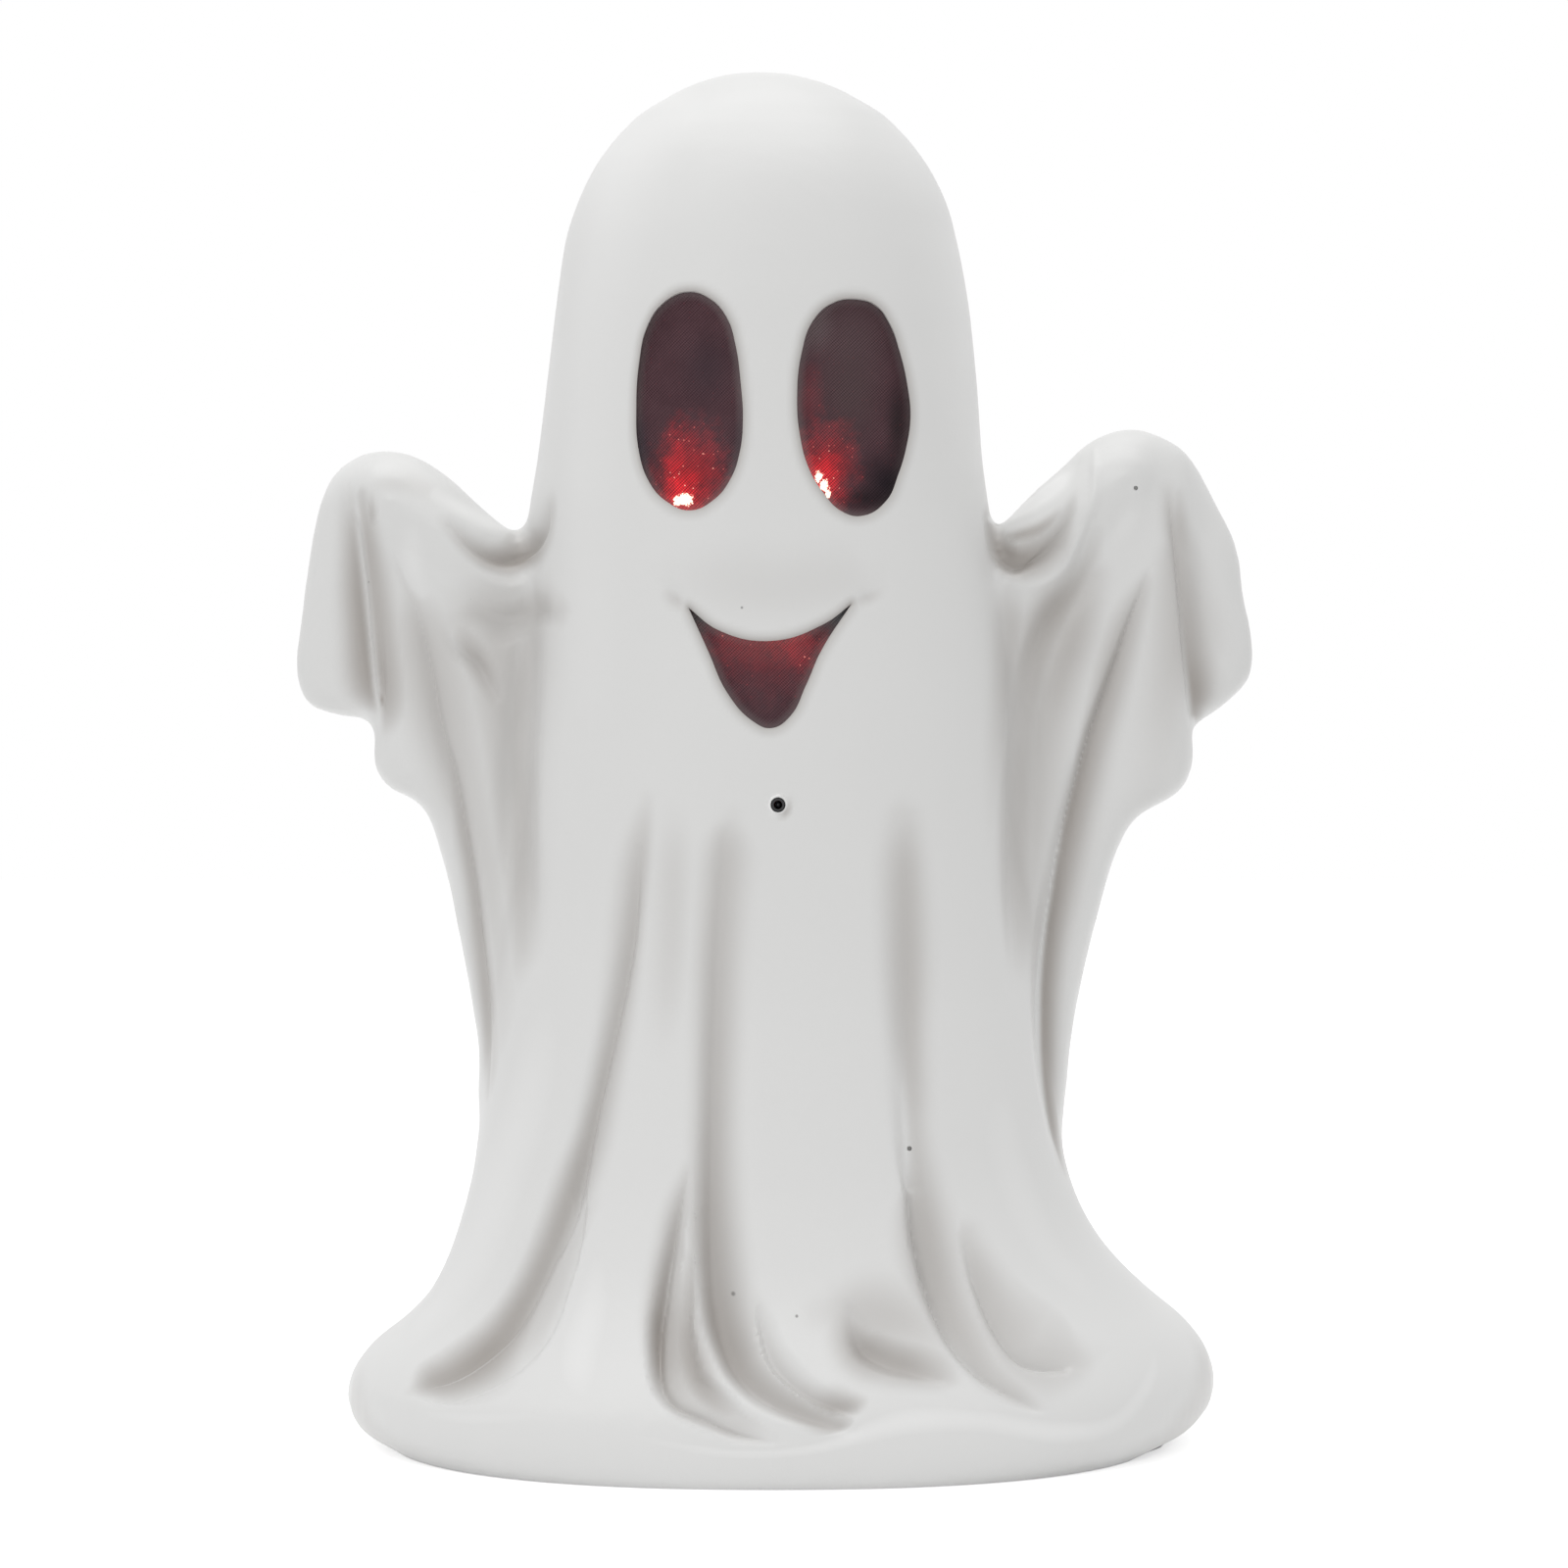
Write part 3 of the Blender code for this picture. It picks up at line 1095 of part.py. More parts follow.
def make_battery_box():
    """An open-bottomed tray over the cells, with an ear on each side."""
    top = bay_ceiling() + BAY_WALL
    outside = box_mesh("battery_box", *bay_box(BAY_WALL, ledge_bottom(), top))
    box = part("battery_box", outside, BLACK_PLASTIC)
    ear_low = plate_top() + POST_HEIGHT + FIT
    for index, (x, y) in enumerate(ear_places()):
        half_x, half_y = BAY_EAR[0] / 2, BAY_EAR[1] / 2
        inward = math.copysign(BAY_WALL / 2, BAY_PLACE[1] - y)
        low_y, high_y = y - half_y + min(inward, 0), y + half_y + max(inward, 0)
        ear = box_mesh("ear", (x - half_x, low_y, ear_low), (x + half_x, high_y, ear_low + BAY_EAR[2]))
        join(box, helper(f"ear_{index + 1}", ear))
    inside = box_mesh("bay_hollow", *bay_box(0, ledge_bottom() - OVERRUN, bay_ceiling()))
    cut(box, helper("bay_hollow", inside))
    bore = SMALL_SCREW["shaft"] + FIT
    for index, place in enumerate(ear_places()):
        cut(box, upright(f"ear_hole_{index + 1}", bore, place, ear_low - OVERRUN, top, 10))
        fixing = screw(f"battery_box_screw_{index + 1}", SMALL_SCREW)
        fixing.rotation_euler.x = math.pi
        fixing.location = (*place, ear_low + BAY_EAR[2] + FIT)


def cell_profile():
    half = CELL_LENGTH / 2
    button_top = half + CELL_BUTTON_HEIGHT
    return [
        (0, button_top), (CELL_BUTTON_RADIUS, button_top), (CELL_BUTTON_RADIUS, half),
        (CELL_RADIUS - CELL_EDGE, half), (CELL_RADIUS, half - CELL_EDGE), (CELL_RADIUS, -half + CELL_EDGE),
        (CELL_RADIUS - CELL_EDGE, -half), (0, -half),
    ]


def spring_points(length):
    """A cone of wire that widens away from the cell."""
    points = []
    count = SPRING_TURNS * SPRING_TURN_POINTS
    for index in range(count + 1):
        t = index / count
        angle = t * SPRING_TURNS * 2 * math.pi
        radius = SPRING_SMALL_RADIUS + (SPRING_LARGE_RADIUS - SPRING_SMALL_RADIUS) * t
        points.append((radius * math.cos(angle), radius * math.sin(angle), length * t))
    return points


def least_spring_gap(points):
    """The least space between the wire's neighbouring turns."""
    places = np.array(points)
    gaps = []
    for index, place in enumerate(places):
        later = places[index + SPRING_TURN_POINTS // 2 + 1:]
        if len(later):
            gaps.append(np.linalg.norm(later - place, axis=1).min())
    return min(gaps) - 2 * SPRING_WIRE


def make_cells():
    """Cells side by side, each the other way round from the last, between a spring and a contact."""
    length, _, _ = bay_size()
    height = bay_floor() + CELL_RADIUS + BAY_CLEARANCE
    seat = CONTACT_THICKNESS + FIT
    wire_length = SPRING_LENGTH - 2 * SPRING_WIRE - FIT
    for index in range(CELL_COUNT):
        way = 1 if index % 2 == 0 else -1
        y = BAY_PLACE[1] + (index - (CELL_COUNT - 1) / 2) * CELL_PITCH
        button_end = way * (length / 2 - seat - FIT - CELL_BUTTON_HEIGHT)
        cell = turned(f"battery_{index + 1}", cell_profile(), 16, CELL_WRAP)
        cell.rotation_euler.y = way * math.pi / 2
        cell.location = (BAY_PLACE[0] + button_end - way * CELL_LENGTH / 2, y, height)
        contact_x = BAY_PLACE[0] + way * (length / 2 - FIT - CONTACT_THICKNESS / 2)
        half = CONTACT_SIZE / 2
        low = (contact_x - CONTACT_THICKNESS / 2, y - half, height - half)
        high = (contact_x + CONTACT_THICKNESS / 2, y + half, height + half)
        part(f"battery_contact_{index + 1}", box_mesh("battery_contact", low, high), STEEL, smooth=False)
        points = spring_points(wire_length)
        spring = tube(f"battery_spring_{index + 1}", points, SPRING_WIRE, STEEL, resolution=1)
        spring.rotation_euler.y = -way * math.pi / 2
        inner_end = button_end - way * (CELL_LENGTH + FIT + SPRING_WIRE)
        spring.location = (BAY_PLACE[0] + inner_end, y, height)
    print(f"least gap between the spring's turns: {least_spring_gap(points) * 1000:.2f} mm")


def door_ends():
    """x of the door's hinge edge and of its screw end."""
    length, _, _ = bay_size()
    return BAY_PLACE[0] - length / 2 - DOOR_LIP, BAY_PLACE[0] + length / 2 + DOOR_TONGUE


def door_half_width():
    return bay_size()[1] / 2 + DOOR_LIP


def door_screw_place():
    return door_ends()[1] - DOOR_TONGUE / 3, BAY_PLACE[1]


def hinge_place():
    """x and z of the door's hinge axis."""
    return door_ends()[0] + DOOR_THICKNESS / 2, PLATE_HEIGHT + DOOR_THICKNESS / 2


def door_outline():
    """The door's side view in x and z, with a fully round hinge edge."""
    pivot, level = hinge_place()
    radius = DOOR_THICKNESS / 2
    turns = np.linspace(math.pi / 2, 3 * math.pi / 2, DOOR_EDGE_SEGMENTS + 1)
    round_edge = [(pivot + radius * math.cos(a), level + radius * math.sin(a)) for a in turns]
    return [*round_edge, (door_ends()[1], PLATE_HEIGHT), (door_ends()[1], door_top())]


def pin(name, radius, reach_low, reach_high, sides=12):
    """A cylinder along y on the hinge axis."""
    pivot, level = hinge_place()
    return along_y(name, radius, pivot, level, reach_low, reach_high, sides)


def set_origin(piece, point):
    """Moves a piece's origin, for instance to its joint's axis, and leaves its shape where it is."""
    piece.data.transform(Matrix.Translation(-Vector(point)))
    piece.location = point


def make_door():
    """The door of the bay, which turns about its hinge pins, and the screw that stays in it."""
    half = door_half_width()
    pivot, level = hinge_place()
    mesh = stand_up(outline_mesh("battery_door", door_outline(), -half, half), BAY_PLACE[1])
    door = part("battery_door", mesh, BLACK_PLASTIC)
    set_origin(door, (pivot, BAY_PLACE[1], level))
    reach = half + DOOR_PIN_LENGTH
    join(door, pin("door_pins", DOOR_PIN_RADIUS, BAY_PLACE[1] - reach, BAY_PLACE[1] + reach))
    place = door_screw_place()
    low, high = PLATE_HEIGHT - OVERRUN, door_top() + OVERRUN
    head_top = PLATE_HEIGHT + DOOR_SCREW["head_height"] + FIT
    cut(door, upright("door_head_seat", DOOR_SCREW["head"] + FIT, place, low, head_top))
    cut(door, upright("door_hole", DOOR_SCREW["shaft"] + FIT, place, low, high, 10))
    fixing = screw("battery_door_screw", DOOR_SCREW)
    fixing.parent = door
    fixing.location = Vector((*place, head_top - FIT)) - door.location


def door_recess_cutters():
    """The bay's mouth, the rebate in which the door lies and the notches for its pins."""
    half = door_half_width() + FIT
    hinge_end, screw_end = door_ends()
    low = PLATE_HEIGHT - OVERRUN
    high = door_top() + FIT
    _, y = BAY_PLACE
    rebate = box_mesh("door_rebate", (hinge_end - FIT, y - half, low), (screw_end + FIT, y + half, high))
    mouth = box_mesh("bay_mouth", *bay_box(0, low, plate_top() + OVERRUN))
    pivot, level = hinge_place()
    radius = DOOR_PIN_RADIUS + FIT
    reach = half + DOOR_PIN_LENGTH + FIT
    notch = box_mesh("pin_notch", (pivot - radius, y - reach, low), (pivot + radius, y + reach, level))
    hole = pin("pin_hole", radius, y - reach, y + reach)
    return [helper("door_rebate", rebate), helper("bay_mouth", mouth), helper("pin_notch", notch), hole]


def board_screw_places():
    half_x = BOARD_SIZE[0] / 2 - BOARD_HOLE_INSET
    half_y = BOARD_SIZE[1] / 2 - BOARD_HOLE_INSET
    x, y = BOARD_PLACE
    return [(x - half_x, y + half_y), (x + half_x, y - half_y)]


def make_base_plate():
    outline = hem_outline(REBATE_INSET + FIT)
    plate = part("base_plate", outline_mesh("base_plate", outline, PLATE_HEIGHT, plate_top()), BLACK_PLASTIC)
    low = plate_top() - PLATE_THICKNESS / 2
    posts = [(place, POST_HEIGHT) for place in ear_places()]
    posts += [(place, BOARD_POST_HEIGHT) for place in board_screw_places()]
    posts.append((door_screw_place(), DOOR_POST_HEIGHT))
    for index, (place, height) in enumerate(posts):
        join(plate, upright(f"post_{index + 1}", POST_RADIUS, place, low, plate_top() + height, 12))
    join(plate, speaker_collar(low))
    cut(plate, *door_recess_cutters(), *plate_hole_cutters(), *grille_cutters())


def plate_hole_cutters():
    """Counterbores and holes for the base screws, pilots in the posts, and the switch slot."""
    low = PLATE_HEIGHT - OVERRUN
    high = plate_top() + OVERRUN
    cutters = []
    for index, angle in enumerate(BOSS_ANGLES):
        place = on_hem(BOSS_INSET, angle)
        head_top = PLATE_HEIGHT + BASE_SCREW["head_height"] + FIT
        cutters.append(upright(f"head_seat_{index + 1}", BASE_SCREW["head"] + FIT, place, low, head_top))
        cutters.append(upright(f"screw_hole_{index + 1}", BASE_SCREW["shaft"] + FIT, place, low, high, 10))
    pilot = SMALL_SCREW["shaft"] + FIT
    for index, place in enumerate(ear_places()):
        top = plate_top() + POST_HEIGHT
        bottom = top + BAY_EAR[2] - SMALL_SCREW["length"]
        cutters.append(upright(f"ear_pilot_{index + 1}", pilot, place, bottom, top + OVERRUN, 10))
    for index, place in enumerate(board_screw_places()):
        top = plate_top() + BOARD_POST_HEIGHT
        bottom = top + BOARD_SIZE[2] - SMALL_SCREW["length"]
        cutters.append(upright(f"board_pilot_{index + 1}", pilot, place, bottom, top + OVERRUN, 10))
    tip = PLATE_HEIGHT + DOOR_SCREW["head_height"] + DOOR_SCREW["length"] + 2 * FIT
    cutters.append(upright("door_pilot", DOOR_SCREW["shaft"] + 2 * FIT, door_screw_place(), low, tip, 10))
    x, y = SWITCH_PLACE
    half_x = SLIDER_STEM[0] / 2 + SWITCH_TRAVEL / 2 + FIT
    half_y = SLIDER_STEM[1] / 2 + FIT
    slot = box_mesh("switch_slot", (x - half_x, y - half_y, low), (x + half_x, y + half_y, high))
    return [*cutters, helper("switch_slot", slot)]


def speaker_collar(low):
    """The ring on the plate that holds the speaker's rim."""
    inside = SPEAKER_RADIUS + FIT
    high = plate_top() + COLLAR_HEIGHT
    profile = [(inside + COLLAR_WALL, high), (inside + COLLAR_WALL, low), (inside, low), (inside, high)]
    collar = turned("speaker_collar", profile, 24, closed=True)
    collar.location = (*SPEAKER_PLACE, 0)
    return collar


def grille_cutters():
    cutters = []
    low, high = PLATE_HEIGHT - OVERRUN, plate_top() + OVERRUN
    x, y = SPEAKER_PLACE
    for share, count in GRILLE_RING_SHARES:
        radius = share * SPEAKER_RADIUS
        for k in range(count):
            angle = 2 * math.pi * k / count
            place = (x + radius * math.cos(angle), y + radius * math.sin(angle))
            cutters.append(upright(f"grille_{len(cutters) + 1}", GRILLE_HOLE_RADIUS, place, low, high, 8))
    return cutters


def make_speaker():
    """A steel basket, the paper cone in it and the magnet on top."""
    low = plate_top() + FIT
    rim_top = low + SPEAKER_RIM_THICKNESS
    top = low + SPEAKER_DEPTH
    wide = SPEAKER_RADIUS - SPEAKER_RIM_WIDTH
    basket_profile = [
        (SPEAKER_NECK_RADIUS, top), (wide, rim_top), (SPEAKER_RADIUS, rim_top), (SPEAKER_RADIUS, low),
        (wide - SPEAKER_METAL, low), (SPEAKER_NECK_RADIUS - SPEAKER_METAL, top - SPEAKER_METAL),
        (SPEAKER_NECK_RADIUS / 2, top - SPEAKER_METAL), (SPEAKER_NECK_RADIUS / 2, top),
    ]
    basket = turned("speaker_basket", basket_profile, 24, STEEL, closed=True)
    edge = wide - SPEAKER_METAL - 2 * FIT
    neck = SPEAKER_NECK_RADIUS / 2
    cone_top = top - SPEAKER_METAL - 2 * FIT
    cone_profile = [
        (0, cone_top - FIT), (neck - FIT, cone_top - FIT), (edge - FIT, low + SPEAKER_METAL),
        (edge, low + FIT), (edge - SPEAKER_METAL, low + FIT),
        (neck - SPEAKER_METAL, cone_top - SPEAKER_METAL), (0, cone_top - SPEAKER_METAL),
    ]
    cone = turned("speaker_cone", cone_profile, 24, PAPER)
    magnet_low = top + FIT
    magnet_high = magnet_low + MAGNET_HEIGHT
    radius = SPEAKER_NECK_RADIUS
    magnet_profile = [
        (0, magnet_high), (radius - MAGNET_EDGE, magnet_high), (radius, magnet_high - MAGNET_EDGE),
        (radius, magnet_low), (0, magnet_low),
    ]
    magnet = turned("speaker_magnet", magnet_profile, 24, STEEL)
    for piece in (basket, cone, magnet):
        piece.location = (*SPEAKER_PLACE, 0)


def block_mesh(name, place, size, low, high):
    """A box about an upright line, between two heights."""
    x, y = place
    half_x, half_y = size[0] / 2, size[1] / 2
    return box_mesh(name, (x - half_x, y - half_y, low), (x + half_x, y + half_y, high))


def make_switch():
    """The switch on the plate, and its slider with the stem in the plate's slot, slid to on."""
    x, y = SWITCH_PLACE
    low = ledge_bottom()
    mesh = block_mesh("switch_body", SWITCH_PLACE, SWITCH_SIZE, low, low + SWITCH_SIZE[2])
    body = part("switch_body", mesh, STEEL, smooth=False)
    length, width, height = SLIDER_BLOCK
    room_size = (length + SWITCH_TRAVEL + 2 * FIT, width + 2 * FIT)
    room = block_mesh("slider_room", SWITCH_PLACE, room_size, low - OVERRUN, low + height + FIT)
    cut(body, helper("slider_room", room))
    on_place = (x + SWITCH_TRAVEL / 2, y)
    mesh = block_mesh("switch_slider", on_place, SLIDER_BLOCK, low, low + height)
    slider = part("switch_slider", mesh, BLACK_PLASTIC, smooth=False)
    set_origin(slider, (*on_place, low))
    stem = block_mesh("slider_stem", on_place, SLIDER_STEM, SLIDER_TIP_HEIGHT, low + height / 2)
    join(slider, helper("slider_stem", stem))


def board_bottom():
    return plate_top() + BOARD_POST_HEIGHT + FIT


def on_board(shares):
    """(x, y) of a place on the board, from its middle."""
    return BOARD_PLACE[0] + shares[0] * BOARD_SIZE[0], BOARD_PLACE[1] + shares[1] * BOARD_SIZE[1]


def make_board():
    """The circuit board with its four lead sockets, its two screws and the sound chip."""
    low = board_bottom()
    thickness = BOARD_SIZE[2]
    top = low + thickness
    mesh = block_mesh("circuit_board", BOARD_PLACE, BOARD_SIZE, low, top)
    board = part("circuit_board", mesh, BOARD_GREEN, smooth=False)
    socket_low, socket_high = top - thickness / 2, top + SOCKET_SIZE[2]
    for index, shares in enumerate(SOCKET_PLACE_SHARES):
        socket = block_mesh("socket", on_board(shares), SOCKET_SIZE, socket_low, socket_high)
        join(board, helper(f"socket_{index + 1}", socket))
    bore = SMALL_SCREW["shaft"] + FIT
    for index, place in enumerate(board_screw_places()):
        cut(board, upright(f"board_hole_{index + 1}", bore, place, low - OVERRUN, top + OVERRUN, 10))
        fixing = screw(f"board_screw_{index + 1}", SMALL_SCREW)
        fixing.rotation_euler.x = math.pi
        fixing.location = (*place, top + FIT)
    low = top + FIT
    chip = block_mesh("sound_chip", on_board(CHIP_PLACE_SHARES), CHIP_SIZE, low, low + CHIP_SIZE[2])
    part("sound_chip", chip, BLACK_PLASTIC, smooth=False)


def bracket_outline():
    """A bar across the head with a tab up to each lamp, in x and z."""
    (left, left_z), (right, right_z) = lamp_places()
    low = bracket_level() - BRACKET_BAR_HEIGHT / 2
    high = bracket_level() + BRACKET_BAR_HEIGHT / 2
    half = BRACKET_TAB_HALF_WIDTH
    right_end, left_end = right + BRACKET_END, left - BRACKET_END
    right_top, left_top = right_z + BRACKET_TAB_TOP, left_z + BRACKET_TAB_TOP
    return [
        (left_end, low), (right_end, low), (right_end, high), (right + half, high),
        (right + half, right_top), (right - half, right_top), (right - half, high),
        (left + half, high), (left + half, left_top), (left - half, left_top),
        (left - half, high), (left_end, high),
    ]


def make_bracket():
    front = bracket_front()
    back = front + BRACKET_THICKNESS
    mesh = outline_mesh("lamp_bracket", bracket_outline(), 0, BRACKET_THICKNESS)
    bracket = part("lamp_bracket", stand_up(mesh, back), WHITE_PLASTIC, smooth=False)
    reach = (front - OVERRUN, back + OVERRUN)
    for index, (x, z) in enumerate(lamp_places()):
        cut(bracket, along_y(f"lamp_hole_{index + 1}", LAMP_RADIUS + FIT, x, z, *reach))
    for index, (x, z) in enumerate(bracket_screw_places()):
        cut(bracket, along_y(f"bracket_hole_{index + 1}", SMALL_SCREW["shaft"] + FIT, x, z, *reach, 10))
        fixing = screw(f"bracket_screw_{index + 1}", SMALL_SCREW)
        fixing.rotation_euler.x = math.pi / 2
        fixing.location = (x, back + FIT, z)


def make_lamps():
    """Round lamps whose flange lies behind the bracket and whose dome points at the eye."""
    radius = LAMP_RADIUS
    straight = LAMP_LENGTH - radius
    dome = [(radius * math.sin(a), straight + radius * math.cos(a)) for a in np.radians(LAMP_DOME_ANGLES)]
    profile = [
        *dome, (radius, 0), (LAMP_FLANGE_RADIUS, 0), (LAMP_FLANGE_RADIUS, -LAMP_FLANGE_THICKNESS),
        (0, -LAMP_FLANGE_THICKNESS),
    ]
    for name, (x, z) in zip(("lamp_left", "lamp_right"), lamp_places()):
        lamp = turned(name, profile, 14, CLEAR_RED)
        lamp.rotation_euler.x = math.pi / 2
        lamp.location = (x, bracket_front() + BRACKET_THICKNESS + FIT, z)


def make_sensor():
    """A black sleeve through the chest with a flange behind the wall, and the lens inside it."""
    x, z = sensor_place()
    nose = sensor_seat() + FIT - front_at(x, z) + SENSOR_PROUD
    bore = SENSOR_EYE_RADIUS + FIT / 2
    flange = -SENSOR_FLANGE_THICKNESS
    profile = [
        (bore, nose), (SENSOR_RADIUS, nose), (SENSOR_RADIUS, 0), (SENSOR_FLANGE_RADIUS, 0),
        (SENSOR_FLANGE_RADIUS, flange), (bore, flange),
    ]
    sleeve = turned("sensor_sleeve", profile, 16, BLACK_PLASTIC, closed=True)
    radius = SENSOR_EYE_RADIUS - FIT / 2
    tip = nose - SENSOR_RADIUS / 2
    across, down = LENS_DOME_SHARES
    lens_profile = [
        (0, tip), (radius * across, tip - radius * down), (radius, tip - radius),
        (radius, tip - SENSOR_LENS_LENGTH), (0, tip - SENSOR_LENS_LENGTH),
    ]
    lens = turned("sensor_lens", lens_profile, 12, BLACK_PLASTIC)
    for piece in (sleeve, lens):
        piece.rotation_euler.x = math.pi / 2
        piece.location = (x, sensor_seat() + FIT, z)


def brought(route, start):
    """A route with its first point brought to a place, and the others moved less the lower they lie."""
    points = np.array(route)
    share = (points[:, 2] - points[-1, 2]) / (points[0, 2] - points[-1, 2])
    return points + share[:, None] * (np.array(start) - points[0])


def make_leads():
    across, behind, above = LAMP_LEAD_START
    lamp_start = (across, bracket_front() + behind, bracket_level() + above)
    x, z = sensor_place()
    sensor_start = (x, sensor_seat() + SENSOR_LEAD_SETBACK, z)
    for name, route in (
        ("lamp_lead", brought(LAMP_LEAD_ROUTE, lamp_start)),
        ("sensor_lead", brought(SENSOR_LEAD_ROUTE, sensor_start)),
        ("speaker_lead", SPEAKER_LEAD_ROUTE),
        ("battery_lead", BATTERY_LEAD_ROUTE),
    ):
        tube(name, smooth_route(route, LEAD_STEP), LEAD_RADIUS, LEAD_RED)


def make_ghost():
    make_cloths(make_shell())
    make_base_plate()
    make_base_screws()
    make_pads()
    make_battery_box()
    make_cells()
    make_door()
    make_switch()
    make_board()
    make_speaker()
    make_bracket()
    make_lamps()
    make_sensor()
    make_leads()


make_ghost()
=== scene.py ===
"""The light-up ghost figure as it is seen: a fine white shell with its folds, glowing cloth windows and
finished inner pieces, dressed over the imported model.

Metres, +Z up. The figure faces -Y and stands on z = 0.
"""

import json
import math

import bmesh
import bpy
import numpy as np
from mathutils import Matrix, Vector
from mathutils.bvhtree import BVHTree
from mathutils.geometry import delaunay_2d_cdt


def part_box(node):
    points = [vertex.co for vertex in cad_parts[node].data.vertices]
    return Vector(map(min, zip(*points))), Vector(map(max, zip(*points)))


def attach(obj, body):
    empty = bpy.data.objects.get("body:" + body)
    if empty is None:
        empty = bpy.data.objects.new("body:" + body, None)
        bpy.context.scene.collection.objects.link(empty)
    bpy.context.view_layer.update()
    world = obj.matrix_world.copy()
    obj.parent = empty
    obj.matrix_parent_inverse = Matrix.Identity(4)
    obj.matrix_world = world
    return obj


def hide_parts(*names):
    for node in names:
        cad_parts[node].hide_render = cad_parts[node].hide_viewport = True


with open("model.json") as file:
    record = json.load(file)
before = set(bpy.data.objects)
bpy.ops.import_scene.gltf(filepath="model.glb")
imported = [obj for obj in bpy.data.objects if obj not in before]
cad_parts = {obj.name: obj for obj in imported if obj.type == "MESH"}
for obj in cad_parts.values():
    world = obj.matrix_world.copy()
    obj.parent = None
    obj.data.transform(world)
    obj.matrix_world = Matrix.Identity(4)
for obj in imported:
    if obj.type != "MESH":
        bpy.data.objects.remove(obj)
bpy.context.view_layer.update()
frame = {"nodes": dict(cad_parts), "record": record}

# The figure as a whole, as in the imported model
HEIGHT = 0.500
ARMS_WIDTH = 0.351
BASE_WIDTH = 0.317
BASE_DEPTH = 0.230
HEAD_WIDTH = 0.158
HEAD_DEPTH = 0.138
WALL = 0.003
FIT = 0.0003
OVERRUN = 0.002
WELD = 0.00001
SHARP_DEGREES = 35.0
CLOTH_SHARP_DEGREES = 60.0
IN_FRONT = -1.0
HEAD_SQUARENESS = 2.15
HEM_SQUARENESS = 2.3

# Rows of the skirt: height as a share of HEIGHT, left and right of BASE_WIDTH, depth of BASE_DEPTH
SKIRT_SHARES = (
    (-0.012, 0.414, 0.408, 0.464),
    (0.002, 0.447, 0.438, 0.491),
    (0.014, 0.485, 0.480, 0.499),
    (0.032, 0.496, 0.503, 0.500),
    (0.050, 0.491, 0.505, 0.494),
    (0.068, 0.469, 0.496, 0.474),
    (0.086, 0.431, 0.473, 0.448),
    (0.104, 0.403, 0.437, 0.424),
    (0.122, 0.387, 0.406, 0.404),
    (0.140, 0.375, 0.380, 0.391),
    (0.158, 0.366, 0.361, 0.382),
    (0.176, 0.358, 0.347, 0.374),
    (0.194, 0.351, 0.337, 0.367),
    (0.212, 0.347, 0.331, 0.363),
    (0.240, 0.342, 0.328, 0.357),
)

# Rows above the waist: height as a share of HEIGHT, left and right of HEAD_WIDTH, depth of HEAD_DEPTH
HEAD_SHARES = (
    (0.334, 0.661, 0.617, 0.565),
    (0.406, 0.630, 0.604, 0.547),
    (0.514, 0.592, 0.566, 0.522),
    (0.586, 0.579, 0.538, 0.507),
    (0.680, 0.575, 0.493, 0.500),
    (0.716, 0.555, 0.477, 0.500),
    (0.770, 0.534, 0.466, 0.500),
    (0.824, 0.514, 0.449, 0.493),
    (0.860, 0.499, 0.430, 0.478),
    (0.878, 0.490, 0.417, 0.467),
    (0.896, 0.472, 0.404, 0.453),
    (0.914, 0.449, 0.381, 0.431),
    (0.932, 0.419, 0.350, 0.399),
    (0.950, 0.377, 0.307, 0.355),
    (0.968, 0.321, 0.251, 0.297),
    (0.986, 0.226, 0.154, 0.203),
    (0.993, 0.174, 0.096, 0.145),
    (0.997, 0.128, 0.049, 0.091),
    (0.9992, 0.085, 0.006, 0.049),
)
RING_STEP = 0.004
RING_POINTS = 96

# The cloth that hangs from each raised arm: outlines from the front, as shares of ARMS_WIDTH and HEIGHT
LEFT_DRAPE_SHARES = (
    (-0.197, 0.649), (-0.254, 0.654), (-0.279, 0.662), (-0.310, 0.679), (-0.351, 0.705),
    (-0.387, 0.719), (-0.423, 0.721), (-0.459, 0.709), (-0.476, 0.688), (-0.487, 0.654),
    (-0.496, 0.608), (-0.502, 0.557), (-0.495, 0.541), (-0.459, 0.530), (-0.421, 0.526),
    (-0.419, 0.492), (-0.403, 0.476), (-0.372, 0.466), (-0.351, 0.433), (-0.331, 0.373),
    (-0.310, 0.291), (-0.295, 0.219), (-0.197, 0.204),
)
RIGHT_DRAPE_SHARES = (
    (0.203, 0.204), (0.285, 0.212), (0.299, 0.248), (0.305, 0.289), (0.315, 0.329),
    (0.336, 0.389), (0.356, 0.434), (0.377, 0.457), (0.403, 0.466), (0.426, 0.478),
    (0.435, 0.500), (0.434, 0.523), (0.454, 0.530), (0.481, 0.545), (0.496, 0.557),
    (0.499, 0.575), (0.487, 0.622), (0.482, 0.651), (0.461, 0.682), (0.429, 0.719),
    (0.403, 0.731), (0.367, 0.737), (0.326, 0.726), (0.295, 0.702), (0.264, 0.677),
    (0.233, 0.660), (0.218, 0.653), (0.203, 0.645),
)
DRAPE_THICKNESS = 0.026
DRAPE_EDGE = 0.009
SMOOTHING_ALLOWANCE = 0.0010
DRAPE_SET_BACK = 0.004
DRAPE_ROOT_SHARE = 0.250
DRAPE_ROOT_SWELL = 0.75
LOBE_SET_BACK = 0.007
LOBE_CREASE_SHARE = 0.424
LOBE_CREASE_WIDTH = 0.008

